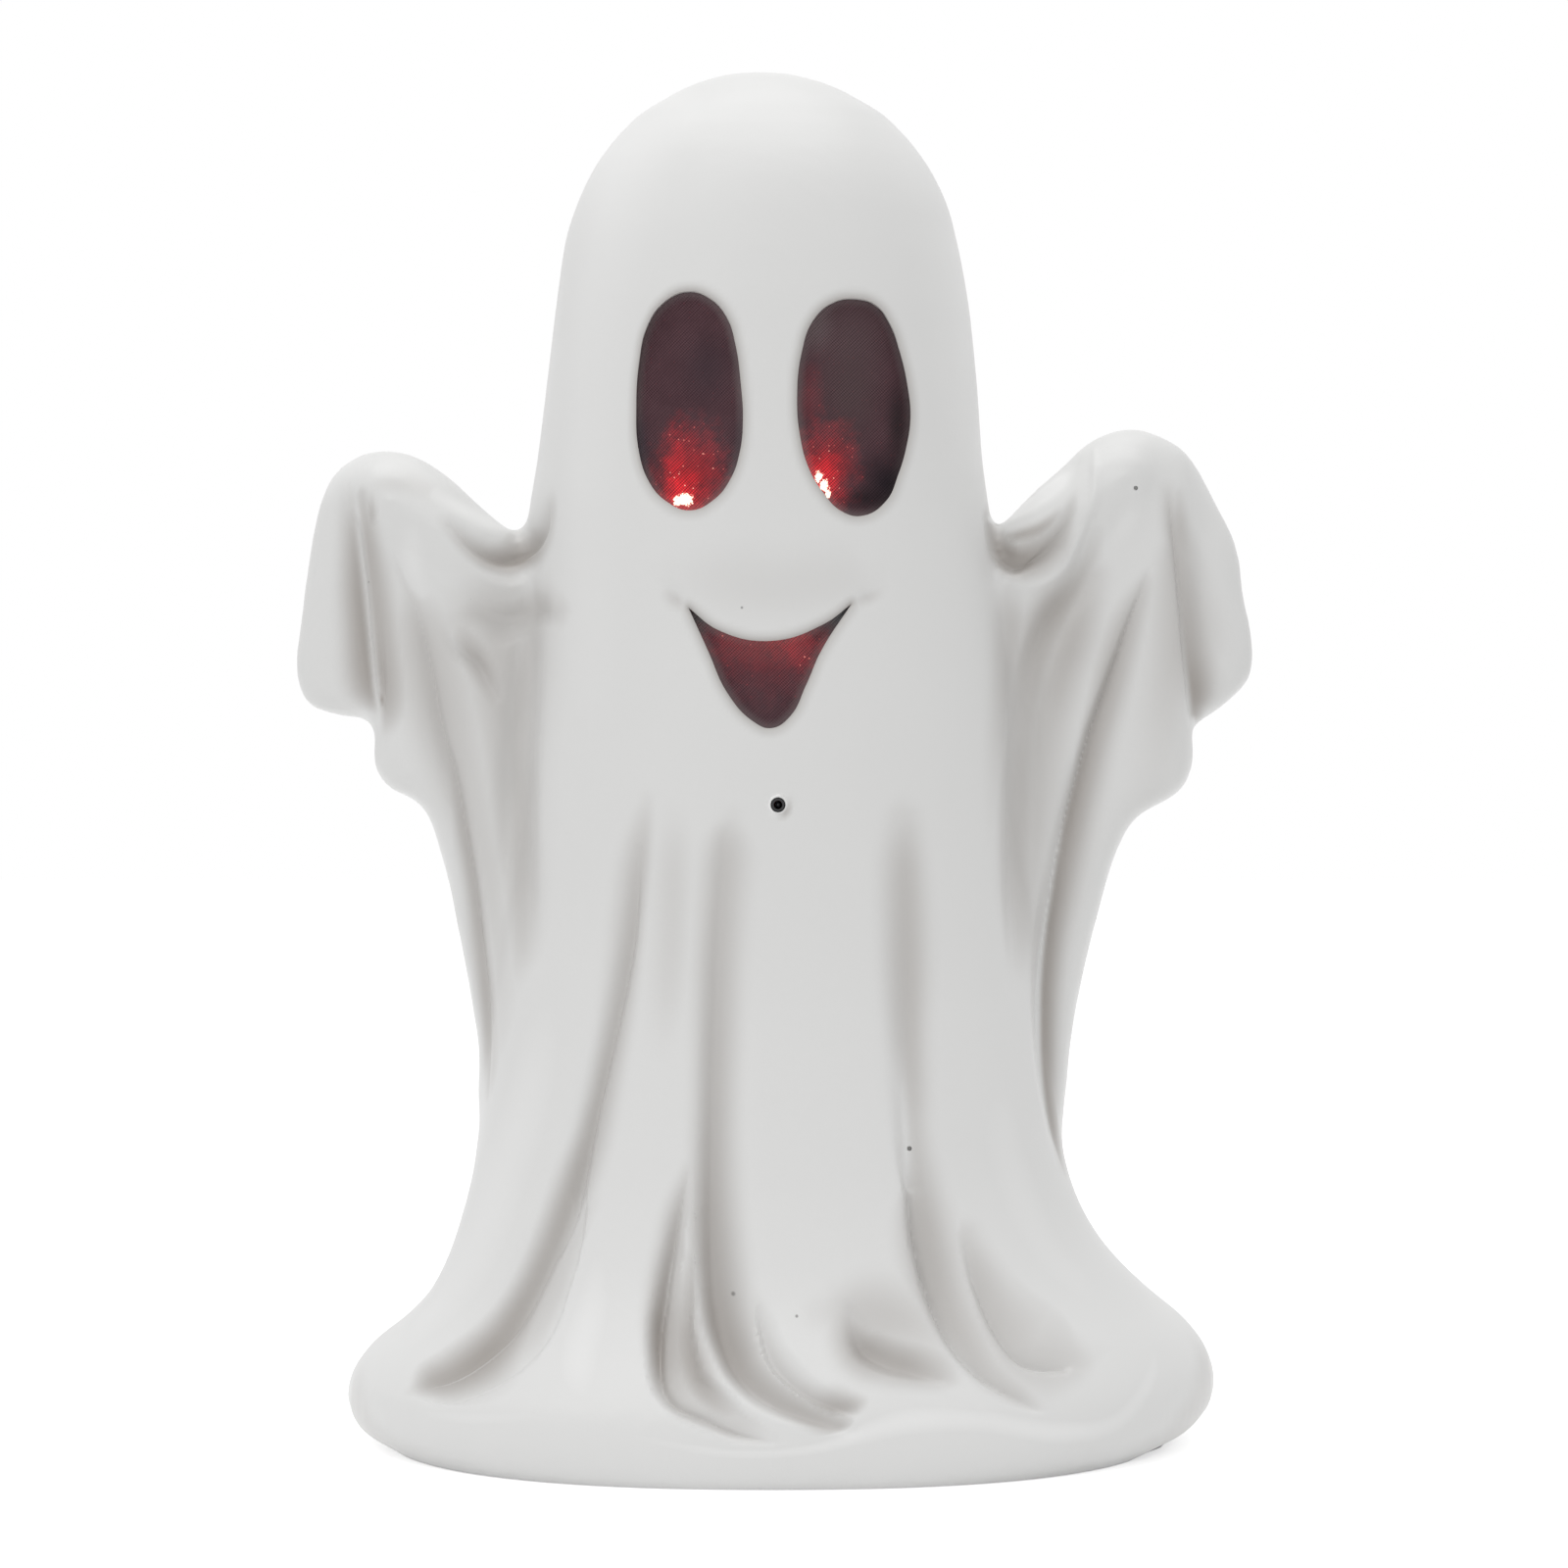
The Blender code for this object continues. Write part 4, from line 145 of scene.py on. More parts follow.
# The arm under each drape: shoulder, elbow and hand, as shares of ARMS_WIDTH and HEIGHT
LEFT_ARM_SHARES = ((-0.259, 0.608), (-0.351, 0.662), (-0.408, 0.688))
RIGHT_ARM_SHARES = ((0.223, 0.611), (0.305, 0.672), (0.360, 0.702))
ARM_RADIUS = 0.0165
ARM_DEPTH_RATIO = 1.3
HAND_ANGLES = (30.0, 60.0, 80.0)

# Openings of the face. Places are shares of HEAD_WIDTH and HEIGHT, outlines of half each width and height
LEFT_EYE_SIZE = (0.0372, 0.0764)
RIGHT_EYE_SIZE = (0.0393, 0.0751)
MOUTH_SIZE = (0.0575, 0.0434)
LEFT_EYE_PLACE_SHARES = (-0.195, 0.748)
RIGHT_EYE_PLACE_SHARES = (0.171, 0.7446)
MOUTH_PLACE_SHARES = (-0.014, 0.562)
LEFT_EYE_SHARES = (
    (-0.02, 1.02), (0.40, 0.95), (0.72, 0.77), (0.88, 0.52), (0.98, 0.16), (1.02, -0.18), (0.96, -0.47),
    (0.79, -0.71), (0.48, -0.90), (0.02, -1.00), (-0.44, -0.91), (-0.76, -0.73), (-0.96, -0.44),
    (-1.01, -0.04), (-0.95, 0.40), (-0.81, 0.70), (-0.50, 0.92),
)
RIGHT_EYE_SHARES = (
    (0.04, 1.02), (0.40, 0.97), (0.65, 0.81), (0.85, 0.53), (0.98, 0.24), (1.04, -0.06), (0.97, -0.34),
    (0.82, -0.61), (0.58, -0.88), (0.14, -1.02), (-0.24, -0.97), (-0.55, -0.80), (-0.80, -0.58),
    (-0.96, -0.27), (-1.01, 0.08), (-0.93, 0.50), (-0.72, 0.81), (-0.36, 0.98),
)
MOUTH_SHARES = (
    (-1.00, 0.95), (-0.64, 0.59), (0.00, 0.41), (0.66, 0.69), (0.99, 1.01), (0.62, 0.25), (0.43, -0.32),
    (0.24, -0.81), (0.01, -1.00), (-0.21, -0.89), (-0.52, -0.44), (-0.76, 0.25),
)
MOUTH_CORNERS = (0, 4)
FACE_OPENINGS = {
    "left_eye": (LEFT_EYE_SHARES, LEFT_EYE_SIZE, LEFT_EYE_PLACE_SHARES, ()),
    "right_eye": (RIGHT_EYE_SHARES, RIGHT_EYE_SIZE, RIGHT_EYE_PLACE_SHARES, ()),
    "mouth": (MOUTH_SHARES, MOUTH_SIZE, MOUTH_PLACE_SHARES, MOUTH_CORNERS),
}
RIM_ROUND = 0.0016
RIM_DEPTH = 0.0011
CLOTH_THICKNESS = 0.0008
CLOTH_MARGIN = 0.0055
CLOTH_PITCH = 0.0013
CLOTH_EDGE_REACH = 0.0028
CLOTH_ROUNDS = 2

# The foot of the figure, in heights above the floor and distances in from the widest line of the hem
RIM_HEIGHT = 0.0003
LEDGE_BOTTOM = 0.0053
LEDGE_THICKNESS = 0.0035
REBATE_INSET = 0.0155
OPENING_INSET = 0.0235
PLATE_CORNER_POINTS = 40
BASE_SCREWS = ("base_screw_1", "base_screw_2", "base_screw_3", "base_screw_4")
BRACKET_SCREWS = ("bracket_screw_1", "bracket_screw_2")
BOSS_RADIUS = 0.0045
BOSS_HEIGHT = 0.0160
BOSS_PAD = 0.0015
PILOT_RADIUS = 0.0018
SMALL_PILOT_RADIUS = 0.0014
BRACKET_BOSS_RADIUS = 0.0040
SENSOR_BOSS_RADIUS = 0.0070
SENSOR_BOSS_HEIGHT = 0.0020
SENSOR_RADIUS = 0.0023

# Meshing
VOXEL = 0.003
SMOOTHING_ROUNDS = 9
FINE_REACH = 7.0
FINE_ROUNDS = 1
INNER_ROUNDS = 2
CURVE_STEP = 9.0
ROUND_SIDES = 24
RELAXATION = 0.5

# The camera of the photograph, which is PHOTO_SIZE points each way
PHOTO_SIZE = 1600
CAMERA_PLACE = (0.0, -1.5, 0.2545)
FOCAL_POINTS = 4167.0
SENSOR_WIDTH = 36.0
CENTRE_POINT = (792.5, 757.0)

# How a fold falls away from its line: share of the width, share of the depth
PROFILES = {
    "soft": ((0.0, 1.0), (0.15, 0.95), (0.35, 0.72), (0.6, 0.34), (0.8, 0.1), (1.0, 0.0)),
    "crisp": ((0.0, 1.0), (0.3, 0.62), (0.6, 0.25), (1.0, 0.0)),
    "hollow": ((0.0, 1.0), (0.12, 0.72), (0.3, 0.44), (0.6, 0.16), (1.0, 0.0)),
    "floor": ((0.0, 1.0), (0.14, 0.74), (0.5, 0.6), (0.84, 0.5), (1.0, 0.0)),
}

# Folds of the front, by how each falls away to its left and to its right as it runs. A fold is a line of
# points of the photograph: across, down, its width to the left and right in points, and its depth in
# millimetres. A negative depth is a ridge
FRONT_FOLDS = {
    ("soft", "crisp"): (
        ((653, 868, 14, 5, 0.6), (647, 950, 18, 6, 2.6), (634, 1019, 22, 8, 3.8),
         (604, 1143, 24, 10, 5.0), (583, 1235, 26, 13, 6.0), (563, 1280, 28, 15, 6.0)),
        ((391, 650, 12, 4, 0.4), (391, 690, 20, 5, 2.2), (393, 716, 16, 5, 1.0)),
    ),
    ("soft", "floor"): (
        ((590, 1190, 20, 6, 2.0), (579, 1235, 28, 20, 5.5), (555, 1289, 32, 34, 6.5),
         (516, 1352, 34, 46, 7.0), (459, 1400, 26, 34, 5.0), (420, 1418, 8, 8, 0.4)),
        ((703, 1199, 6, 4, 0.5), (691, 1250, 12, 18, 3.2), (678, 1325, 14, 30, 5.2),
         (672, 1364, 15, 38, 6.0), (673, 1406, 14, 46, 5.8), (684, 1428, 12, 44, 5.4),
         (721, 1449, 11, 38, 4.4), (751, 1464, 9, 28, 3.0), (789, 1471, 6, 16, 0.6)),
    ),
    ("soft", "soft"): (
        ((740, 852, 12, 20, 0.6), (733, 971, 16, 34, 2.4), (729, 1067, 18, 42, 3.8),
         (726, 1211, 18, 46, 5.2), (727, 1306, 19, 50, 6.6), (738, 1366, 19, 52, 7.0),
         (762, 1408, 18, 48, 6.6), (800, 1435, 17, 40, 5.6), (866, 1459, 10, 20, 1.0)),
        ((923, 856, 40, 26, 0.8), (926, 971, 34, 28, 2.8), (926, 1067, 30, 26, 4.0),
         (928, 1172, 18, 24, 4.8), (928, 1210, 10, 26, 5.0)),
        ((866, 1330, 10, 12, 0.4), (872, 1352, 14, 20, 2.4), (882, 1374, 18, 28, 4.8),
         (904, 1388, 18, 30, 4.0), (932, 1398, 14, 26, 2.4), (958, 1408, 8, 14, 0.6)),
        ((540, 640, 20, 20, 0.8), (534, 690, 24, 24, 3.0), (528, 790, 26, 26, 4.0),
         (532, 900, 24, 24, 3.0), (540, 980, 20, 20, 0.6)),
        ((1050, 640, 22, 22, 1.0), (1046, 720, 24, 26, 4.0), (1040, 830, 22, 26, 4.4),
         (1038, 930, 20, 24, 3.0), (1038, 1010, 16, 18, 0.6)),
        ((478, 580, 8, 8, -0.3), (499, 594, 9, 9, -0.8), (520, 600, 10, 10, -0.9),
         (542, 593, 9, 9, -0.8), (557, 576, 8, 8, -0.3)),
        ((492, 624, 22, 22, 1.6), (518, 636, 28, 28, 4.2), (545, 626, 24, 24, 2.4)),
        ((458, 650, 12, 12, 0.8), (472, 666, 14, 14, 2.8), (488, 680, 14, 14, 3.0),
         (506, 712, 12, 12, 0.8)),
        ((1021, 588, 8, 8, -0.3), (1041, 598, 9, 9, -0.7), (1066, 595, 9, 9, -0.9),
         (1089, 573, 10, 10, -1.1), (1102, 543, 10, 10, -1.1), (1117, 504, 9, 9, -1.0),
         (1117, 462, 7, 7, -0.3)),
        ((1118, 532, 14, 14, 1.0), (1100, 592, 22, 22, 3.6), (1074, 630, 26, 26, 4.6),
         (1054, 680, 26, 26, 4.2), (1046, 740, 24, 24, 3.4)),
        ((678, 598, 12, 12, 0.3), (690, 610, 13, 12, 1.2), (702, 620, 8, 8, 0.4)),
        ((897, 600, 12, 12, 0.3), (884, 609, 12, 13, 1.2), (870, 615, 8, 8, 0.4)),
    ),
    ("crisp", "soft"): (
        ((772, 1330, 8, 16, 0.8), (776, 1354, 10, 22, 3.4), (788, 1390, 10, 26, 5.0),
         (825, 1423, 11, 22, 4.4), (870, 1443, 8, 12, 1.0)),
        ((461, 536, 8, 14, 1.0), (488, 560, 12, 24, 3.8), (516, 570, 13, 28, 4.8),
         (540, 560, 12, 26, 4.0), (555, 541, 9, 20, 2.2), (560, 520, 6, 12, 0.6)),
        ((359, 525, 5, 10, 0.6), (362, 555, 7, 12, 2.4), (366, 600, 8, 14, 3.6), (370, 645, 8, 14, 3.8),
         (376, 690, 8, 14, 3.4), (381, 718, 7, 12, 2.0), (384, 740, 5, 8, 0.4)),
        ((1006, 532, 6, 12, 0.8), (1016, 560, 8, 24, 3.4), (1032, 579, 10, 30, 4.8),
         (1057, 576, 12, 30, 4.6), (1078, 559, 12, 28, 3.8), (1092, 530, 8, 16, 1.6),
         (1097, 512, 4, 8, 0.4)),
    ),
    ("crisp", "hollow"): (
        ((927, 1180, 10, 24, 3.6), (929, 1210, 10, 34, 4.6), (934, 1258, 11, 42, 5.6),
         (948, 1316, 11, 48, 6.2), (972, 1367, 12, 48, 6.0), (1006, 1405, 11, 38, 4.6),
         (1057, 1438, 8, 14, 0.8)),
        ((985, 1273, 8, 12, 0.8), (995, 1306, 10, 24, 2.8), (1014, 1349, 11, 36, 4.2),
         (1038, 1382, 11, 40, 4.8), (1060, 1393, 11, 34, 4.6), (1086, 1396, 9, 24, 2.0)),
        ((400, 560, 6, 8, 0.3), (416, 600, 10, 16, 1.4), (430, 640, 12, 20, 2.4),
         (441, 690, 14, 20, 2.8), (451, 745, 15, 20, 3.2), (465, 795, 17, 18, 3.2),
         (475, 850, 17, 17, 3.2), (484, 905, 16, 16, 3.0), (490, 960, 14, 12, 2.8),
         (495, 1015, 12, 10, 2.4), (498, 1070, 9, 8, 1.4), (498, 1120, 6, 6, 0.3)),
    ),
    ("hollow", "crisp"): (
        ((1087, 1200, 5, 6, 0.3), (1075, 1145, 8, 10, 2.0), (1067, 1080, 10, 14, 3.4),
         (1065, 1010, 14, 14, 3.8), (1070, 940, 16, 15, 4.0), (1080, 870, 18, 15, 4.2),
         (1092, 820, 19, 15, 4.4), (1103, 782, 20, 14, 4.4), (1114, 744, 22, 11, 4.2),
         (1128, 704, 22, 10, 3.8), (1140, 670, 20, 9, 3.2), (1154, 630, 18, 7, 2.4),
         (1165, 602, 14, 6, 1.4), (1174, 580, 8, 5, 0.4)),
        ((1216, 740, 14, 6, 0.6), (1216, 702, 30, 9, 3.0), (1211, 658, 38, 9, 3.6),
         (1206, 616, 40, 8, 3.4), (1201, 574, 36, 8, 2.8), (1196, 532, 26, 8, 1.8),
         (1194, 505, 12, 6, 0.4)),
    ),
}

# Painted shade on the front, as FRONT_FOLDS, with its strength last: shade in and beside the folds, under
# the lips, in the corners of the mouth and of the hem and below the sensor's hole, partly the figure's own
# airbrushed grey. A negative strength is painted light, where the head's sides, the shoulders, the waist
# and the hem catch more light, and a painted highlight on the sensor's lip
FRONT_PAINTED_SHADE_AND_LIGHT = {
    ("soft", "soft"): (
        ((450, 532, 8, 10, 0.1), (464, 546, 12, 16, 0.35), (480, 560, 16, 20, 0.65),
         (498, 571, 19, 26, 1.0), (519, 575, 20, 38, 1.2), (538, 568, 18, 40, 1.15),
         (552, 554, 14, 30, 0.85), (560, 538, 10, 18, 0.5), (564, 516, 8, 14, 0.3),
         (565, 500, 6, 8, 0.05)),
        ((466, 636, 34, 34, 0.3), (490, 628, 44, 42, 0.58), (520, 630, 46, 40, 0.62),
         (548, 622, 42, 42, 0.62), (566, 624, 26, 30, 0.35)),
        ((466, 636, 18, 18, 0.3), (480, 660, 28, 30, 0.75), (495, 684, 32, 36, 0.78),
         (505, 708, 32, 36, 0.66), (511, 745, 24, 30, 0.48), (510, 790, 14, 20, 0.2)),
        ((546, 600, 22, 20, 0.12), (542, 640, 30, 28, 0.45), (534, 690, 34, 30, 0.58),
         (529, 760, 32, 30, 0.56), (530, 830, 28, 32, 0.58), (531, 900, 28, 34, 0.58),
         (531, 960, 22, 28, 0.42), (526, 1005, 14, 18, 0.05)),
        ((505, 582, 60, 60, 0.15), (508, 615, 80, 70, 0.5), (512, 660, 60, 74, 0.58),
         (508, 705, 50, 74, 0.55), (508, 760, 30, 66, 0.46), (514, 830, 26, 58, 0.38),
         (522, 910, 22, 46, 0.3), (528, 970, 14, 30, 0.14), (528, 1010, 10, 14, 0.0)),
        ((404, 566, 10, 10, 0.05), (420, 602, 14, 14, 0.3), (433, 645, 16, 20, 0.48),
         (443, 695, 18, 26, 0.5), (453, 745, 18, 30, 0.55), (465, 795, 18, 28, 0.62),
         (474, 850, 18, 24, 0.68), (483, 905, 17, 20, 0.7), (490, 965, 17, 18, 0.72),
         (497, 1030, 14, 16, 0.76), (499, 1085, 10, 12, 0.55), (498, 1130, 6, 6, 0.0)),
        ((414, 596, 30, 20, 0.02), (426, 640, 46, 56, 0.5), (440, 700, 50, 66, 0.6),
         (456, 765, 42, 60, 0.52), (476, 830, 34, 46, 0.42), (496, 900, 24, 36, 0.32),
         (508, 970, 12, 30, 0.26), (508, 1040, 10, 22, 0.18), (506, 1090, 8, 12, 0.0)),
        ((358, 500, 16, 10, 0.1), (360, 540, 21, 10, 0.6), (365, 595, 29, 12, 1.0),
         (370, 645, 33, 12, 1.12), (375, 690, 36, 10, 1.12), (379, 712, 28, 8, 0.85),
         (384, 728, 6, 6, 0.1)),
        ((368, 505, 7, 14, 0.4), (374, 545, 9, 20, 0.8), (381, 600, 10, 30, 0.88),
         (386, 650, 10, 36, 0.92), (391, 700, 10, 38, 0.92), (394, 728, 9, 28, 0.65),
         (393, 752, 6, 10, 0.05)),
        ((378, 505, 6, 7, 0.2), (379, 525, 8, 9, 0.7), (380, 550, 7, 7, 0.35), (382, 580, 4, 5, 0.05)),
        ((389, 700, 4, 5, 0.3), (390, 714, 5, 6, 1.2), (391, 724, 4, 5, 0.4)),
        ((370, 498, 14, 14, 0.05), (400, 493, 16, 16, 0.2), (430, 498, 16, 16, 0.2),
         (458, 514, 12, 12, 0.05)),
        ((1006, 522, 6, 10, 0.3), (1012, 545, 10, 20, 0.85), (1022, 564, 20, 28, 1.3),
         (1037, 574, 26, 34, 1.35), (1057, 567, 32, 34, 1.1), (1074, 553, 30, 28, 0.85),
         (1087, 534, 14, 20, 0.58), (1094, 515, 8, 12, 0.3), (1098, 500, 5, 6, 0.05)),
        ((1022, 548, 8, 8, 0.3), (1036, 547, 14, 10, 0.9), (1052, 543, 16, 11, 1.0),
         (1067, 535, 14, 10, 0.85), (1081, 522, 8, 7, 0.3)),
        ((1120, 545, 14, 14, 0.15), (1108, 578, 20, 20, 0.5), (1092, 604, 30, 28, 0.85),
         (1076, 624, 38, 38, 1.0), (1060, 655, 40, 44, 0.85), (1050, 695, 38, 42, 0.7),
         (1044, 745, 34, 36, 0.56), (1041, 800, 32, 34, 0.6), (1040, 850, 32, 32, 0.58),
         (1040, 905, 30, 30, 0.52), (1042, 955, 22, 24, 0.36), (1044, 1005, 16, 16, 0.0)),
        ((1112, 590, 30, 30, 0.4), (1096, 645, 44, 38, 0.74), (1080, 695, 44, 38, 0.7),
         (1068, 745, 44, 40, 0.52), (1062, 800, 40, 40, 0.42), (1054, 870, 36, 30, 0.38),
         (1050, 950, 30, 20, 0.25), (1048, 1010, 12, 10, 0.0)),
        ((1024, 596, 22, 22, 0.1), (1032, 635, 28, 30, 0.54), (1028, 690, 26, 30, 0.46),
         (1018, 780, 20, 16, 0.2), (1014, 880, 14, 12, 0.0)),
        ((1087, 1203, 5, 6, 0.0), (1076, 1160, 12, 7, 0.95), (1070, 1125, 17, 7, 1.15),
         (1066, 1085, 22, 7, 1.2), (1065, 1045, 25, 7, 1.2), (1066, 1000, 28, 7, 1.2),
         (1070, 955, 32, 7, 1.15), (1077, 910, 36, 8, 1.12), (1084, 870, 38, 9, 1.12),
         (1092, 830, 38, 10, 1.15), (1103, 790, 36, 12, 1.08), (1116, 750, 32, 20, 0.95),
         (1130, 708, 30, 27, 0.88), (1141, 672, 28, 33, 0.8), (1154, 632, 24, 28, 0.65),
         (1168, 598, 16, 16, 0.35), (1175, 580, 6, 8, 0.0)),
        ((1219, 728, 14, 8, 0.9), (1218, 706, 34, 10, 1.2), (1213, 664, 38, 12, 0.95),
         (1208, 615, 36, 14, 0.8), (1202, 570, 30, 16, 0.7), (1197, 535, 24, 18, 0.6),
         (1192, 508, 18, 14, 0.3), (1190, 488, 12, 12, 0.0)),
        ((1202, 505, 10, 12, 0.25), (1203, 540, 20, 20, 0.66), (1204, 600, 40, 44, 0.56),
         (1206, 660, 50, 58, 0.54), (1194, 720, 48, 24, 0.3), (1184, 780, 44, 30, 0.15),
         (1160, 840, 26, 20, 0.05)),
        ((661, 815, 14, 10, 0.1), (655, 870, 30, 16, 0.5), (648, 935, 34, 16, 0.62),
         (640, 995, 32, 18, 0.64), (629, 1050, 26, 22, 0.66), (616, 1105, 22, 26, 0.72),
         (603, 1155, 22, 30, 0.78), (588, 1205, 30, 29, 0.88), (574, 1245, 31, 28, 0.9),
         (559, 1282, 30, 30, 0.9), (541, 1320, 31, 32, 0.95), (518, 1358, 36, 38, 1.1),
         (493, 1385, 41, 46, 1.18), (465, 1404, 41, 38, 1.1), (439, 1412, 33, 26, 0.9),
         (419, 1420, 9, 8, 0.15)),
        ((604, 1170, 10, 8, 0.0), (592, 1225, 16, 26, 0.28), (568, 1290, 20, 40, 0.4),
         (532, 1352, 20, 46, 0.5), (474, 1404, 16, 30, 0.6), (432, 1420, 8, 8, 0.2)),
        ((690, 836, 26, 20, 0.05), (688, 880, 30, 24, 0.24), (686, 950, 32, 26, 0.26),
         (682, 1010, 30, 26, 0.2), (676, 1070, 24, 20, 0.03)),
        ((745, 835, 18, 22, 0.1), (740, 865, 32, 38, 0.5), (735, 920, 34, 40, 0.58),
         (731, 980, 34, 40, 0.62), (729, 1050, 32, 38, 0.66), (727, 1120, 30, 36, 0.7),
         (724, 1190, 29, 40, 0.8), (722, 1250, 28, 48, 0.94), (725, 1305, 26, 52, 1.0),
         (730, 1345, 25, 54, 1.12), (740, 1376, 22, 54, 1.14), (755, 1404, 19, 48, 1.05),
         (782, 1427, 15, 44, 0.88), (812, 1443, 14, 36, 0.84), (842, 1455, 13, 30, 0.82),
         (864, 1459, 10, 22, 0.6), (876, 1464, 4, 6, 0.0)),
        ((712, 1246, 8, 8, 0.1), (706, 1290, 16, 12, 0.4), (702, 1330, 24, 22, 0.68),
         (701, 1365, 30, 28, 0.96), (708, 1395, 34, 30, 1.04), (722, 1420, 30, 24, 0.94),
         (746, 1440, 24, 14, 0.5), (764, 1450, 8, 6, 0.0)),
        ((766, 1310, 8, 12, 0.1), (776, 1360, 14, 16, 0.32), (796, 1402, 18, 20, 0.44),
         (825, 1428, 18, 24, 0.6), (852, 1437, 18, 30, 0.9), (872, 1434, 14, 24, 0.7),
         (886, 1426, 6, 8, 0.0)),
        ((924, 835, 30, 26, 0.2), (925, 880, 38, 30, 0.56), (926, 940, 38, 34, 0.66),
         (927, 1000, 36, 34, 0.68), (928, 1060, 28, 30, 0.64), (931, 1110, 17, 28, 0.56),
         (933, 1150, 12, 26, 0.46), (936, 1190, 15, 30, 0.52), (940, 1240, 36, 42, 0.75),
         (949, 1290, 42, 48, 0.78), (961, 1332, 38, 50, 0.74), (984, 1372, 30, 46, 0.64),
         (1007, 1404, 20, 38, 0.5), (1040, 1427, 14, 28, 0.42), (1066, 1441, 7, 12, 0.05)),
        ((984, 1262, 18, 26, 0.3), (995, 1298, 20, 38, 0.54), (1008, 1338, 24, 64, 0.58),
         (1026, 1368, 36, 80, 0.54), (1048, 1386, 50, 84, 0.44), (1073, 1390, 52, 80, 0.42),
         (1098, 1390, 30, 56, 0.34), (1118, 1384, 12, 26, 0.05)),
        ((850, 1318, 16, 20, 0.1), (862, 1346, 30, 34, 0.45), (878, 1377, 38, 44, 0.95),
         (905, 1390, 34, 48, 0.96), (933, 1399, 26, 50, 0.9), (960, 1405, 20, 42, 0.55),
         (982, 1410, 8, 14, 0.05)),
        ((838, 1340, 30, 30, 0.15), (880, 1340, 50, 56, 0.5), (920, 1350, 50, 56, 0.5),
         (956, 1372, 26, 36, 0.25)),
        ((676, 602, 10, 10, 0.05), (690, 614, 13, 12, 0.42), (703, 624, 8, 8, 0.15)),
        ((902, 602, 8, 8, 0.05), (886, 611, 11, 11, 0.36), (870, 618, 8, 8, 0.15)),
        ((690, 590, 30, 40, 0.05), (740, 595, 46, 60, 0.14), (800, 600, 46, 60, 0.16),
         (860, 592, 40, 60, 0.14), (890, 588, 20, 30, 0.03)),
        ((794, 833, 4, 4, 0.1), (801, 831, 6, 5, 0.75), (806, 823, 5, 5, 0.5), (807, 814, 4, 4, 0.1)),
        ((790, 831, 2, 2, -0.3), (785, 823, 2.4, 2.4, -2.5), (789, 814, 2.4, 2.4, -2.5),
         (796, 811, 2, 2, -0.6)),
        ((420, 532, 14, 14, 0.0), (420, 560, 18, 18, -0.6), (424, 590, 16, 16, -0.5),
         (432, 615, 12, 12, 0.0)),
        ((1012, 530, 6, 8, -0.8), (1030, 527, 8, 12, -2.2), (1055, 512, 13, 12, -2.4),
         (1080, 492, 16, 10, -2.2), (1096, 478, 8, 8, -0.2)),
        ((1134, 560, 12, 12, -0.1), (1150, 530, 16, 16, -0.55), (1164, 502, 10, 10, -0.1)),
        ((332, 520, 10, 10, 0.0), (338, 495, 14, 14, -0.6), (352, 478, 14, 14, -0.6),
         (375, 468, 12, 12, -0.3)),
        ((446, 505, 10, 10, -0.3), (475, 521, 12, 12, -1.2), (500, 535, 10, 12, -1.2),
         (514, 540, 7, 8, -0.4)),
        ((560, 1010, 30, 30, -0.1), (540, 1110, 40, 44, -0.75), (512, 1200, 44, 50, -0.95),
         (476, 1290, 40, 56, -1.0), (425, 1355, 34, 44, -0.8), (390, 1390, 16, 20, 0.0)),
        ((612, 1250, 20, 20, -0.1), (604, 1330, 34, 34, -1.0), (590, 1390, 40, 40, -1.1),
         (596, 1434, 30, 30, -0.4)),
        ((1212, 1345, 12, 12, 0.02), (1232, 1385, 18, 18, 0.3), (1226, 1430, 22, 22, 0.34),
         (1198, 1466, 20, 20, 0.26), (1150, 1485, 12, 12, 0.02)),
        ((372, 1380, 12, 12, 0.02), (362, 1420, 16, 16, 0.2), (378, 1462, 20, 20, 0.22),
         (430, 1486, 16, 16, 0.12), (500, 1500, 8, 8, 0.0)),
        ((400, 1436, 10, 12, -0.2), (470, 1447, 14, 14, -0.9), (560, 1447, 18, 14, -0.6),
         (640, 1464, 14, 12, -0.6), (740, 1482, 12, 8, -1.2), (830, 1478, 12, 10, -1.3),
         (920, 1452, 24, 24, -1.5), (1000, 1450, 22, 20, -1.3), (1080, 1461, 22, 20, -1.5),
         (1140, 1450, 20, 18, -1.1), (1176, 1400, 16, 16, -0.9), (1170, 1360, 10, 10, -0.2)),
        ((1024, 1090, 30, 20, -0.1), (1028, 1170, 44, 34, -0.7), (1060, 1260, 44, 40, -0.75),
         (1110, 1320, 40, 40, -0.6), (1150, 1360, 20, 20, 0.0)),
        ((690, 110, 40, 40, -0.5), (640, 160, 50, 70, -0.9), (616, 230, 40, 80, -0.85),
         (602, 300, 30, 80, -0.6), (596, 380, 30, 70, -0.45), (594, 460, 30, 60, -0.4),
         (594, 540, 30, 60, -0.3), (600, 620, 30, 50, -0.25), (600, 720, 20, 40, -0.1)),
        ((930, 140, 60, 30, -0.3), (958, 210, 60, 30, -0.4), (974, 280, 50, 20, -0.45),
         (982, 360, 50, 20, -0.45), (986, 440, 40, 20, -0.35), (990, 500, 30, 20, -0.15)),
    ),
    ("soft", "floor"): (
        ((704, 1188, 12, 5, 0.15), (695, 1235, 26, 8, 0.6), (687, 1275, 27, 12, 0.85),
         (679, 1315, 27, 18, 1.0), (674, 1350, 25, 40, 1.2), (674, 1385, 20, 46, 1.2),
         (678, 1412, 15, 46, 0.95), (691, 1437, 11, 44, 0.68), (720, 1451, 10, 36, 0.58),
         (752, 1464, 9, 26, 0.52), (784, 1471, 6, 14, 0.1)),
    ),
}

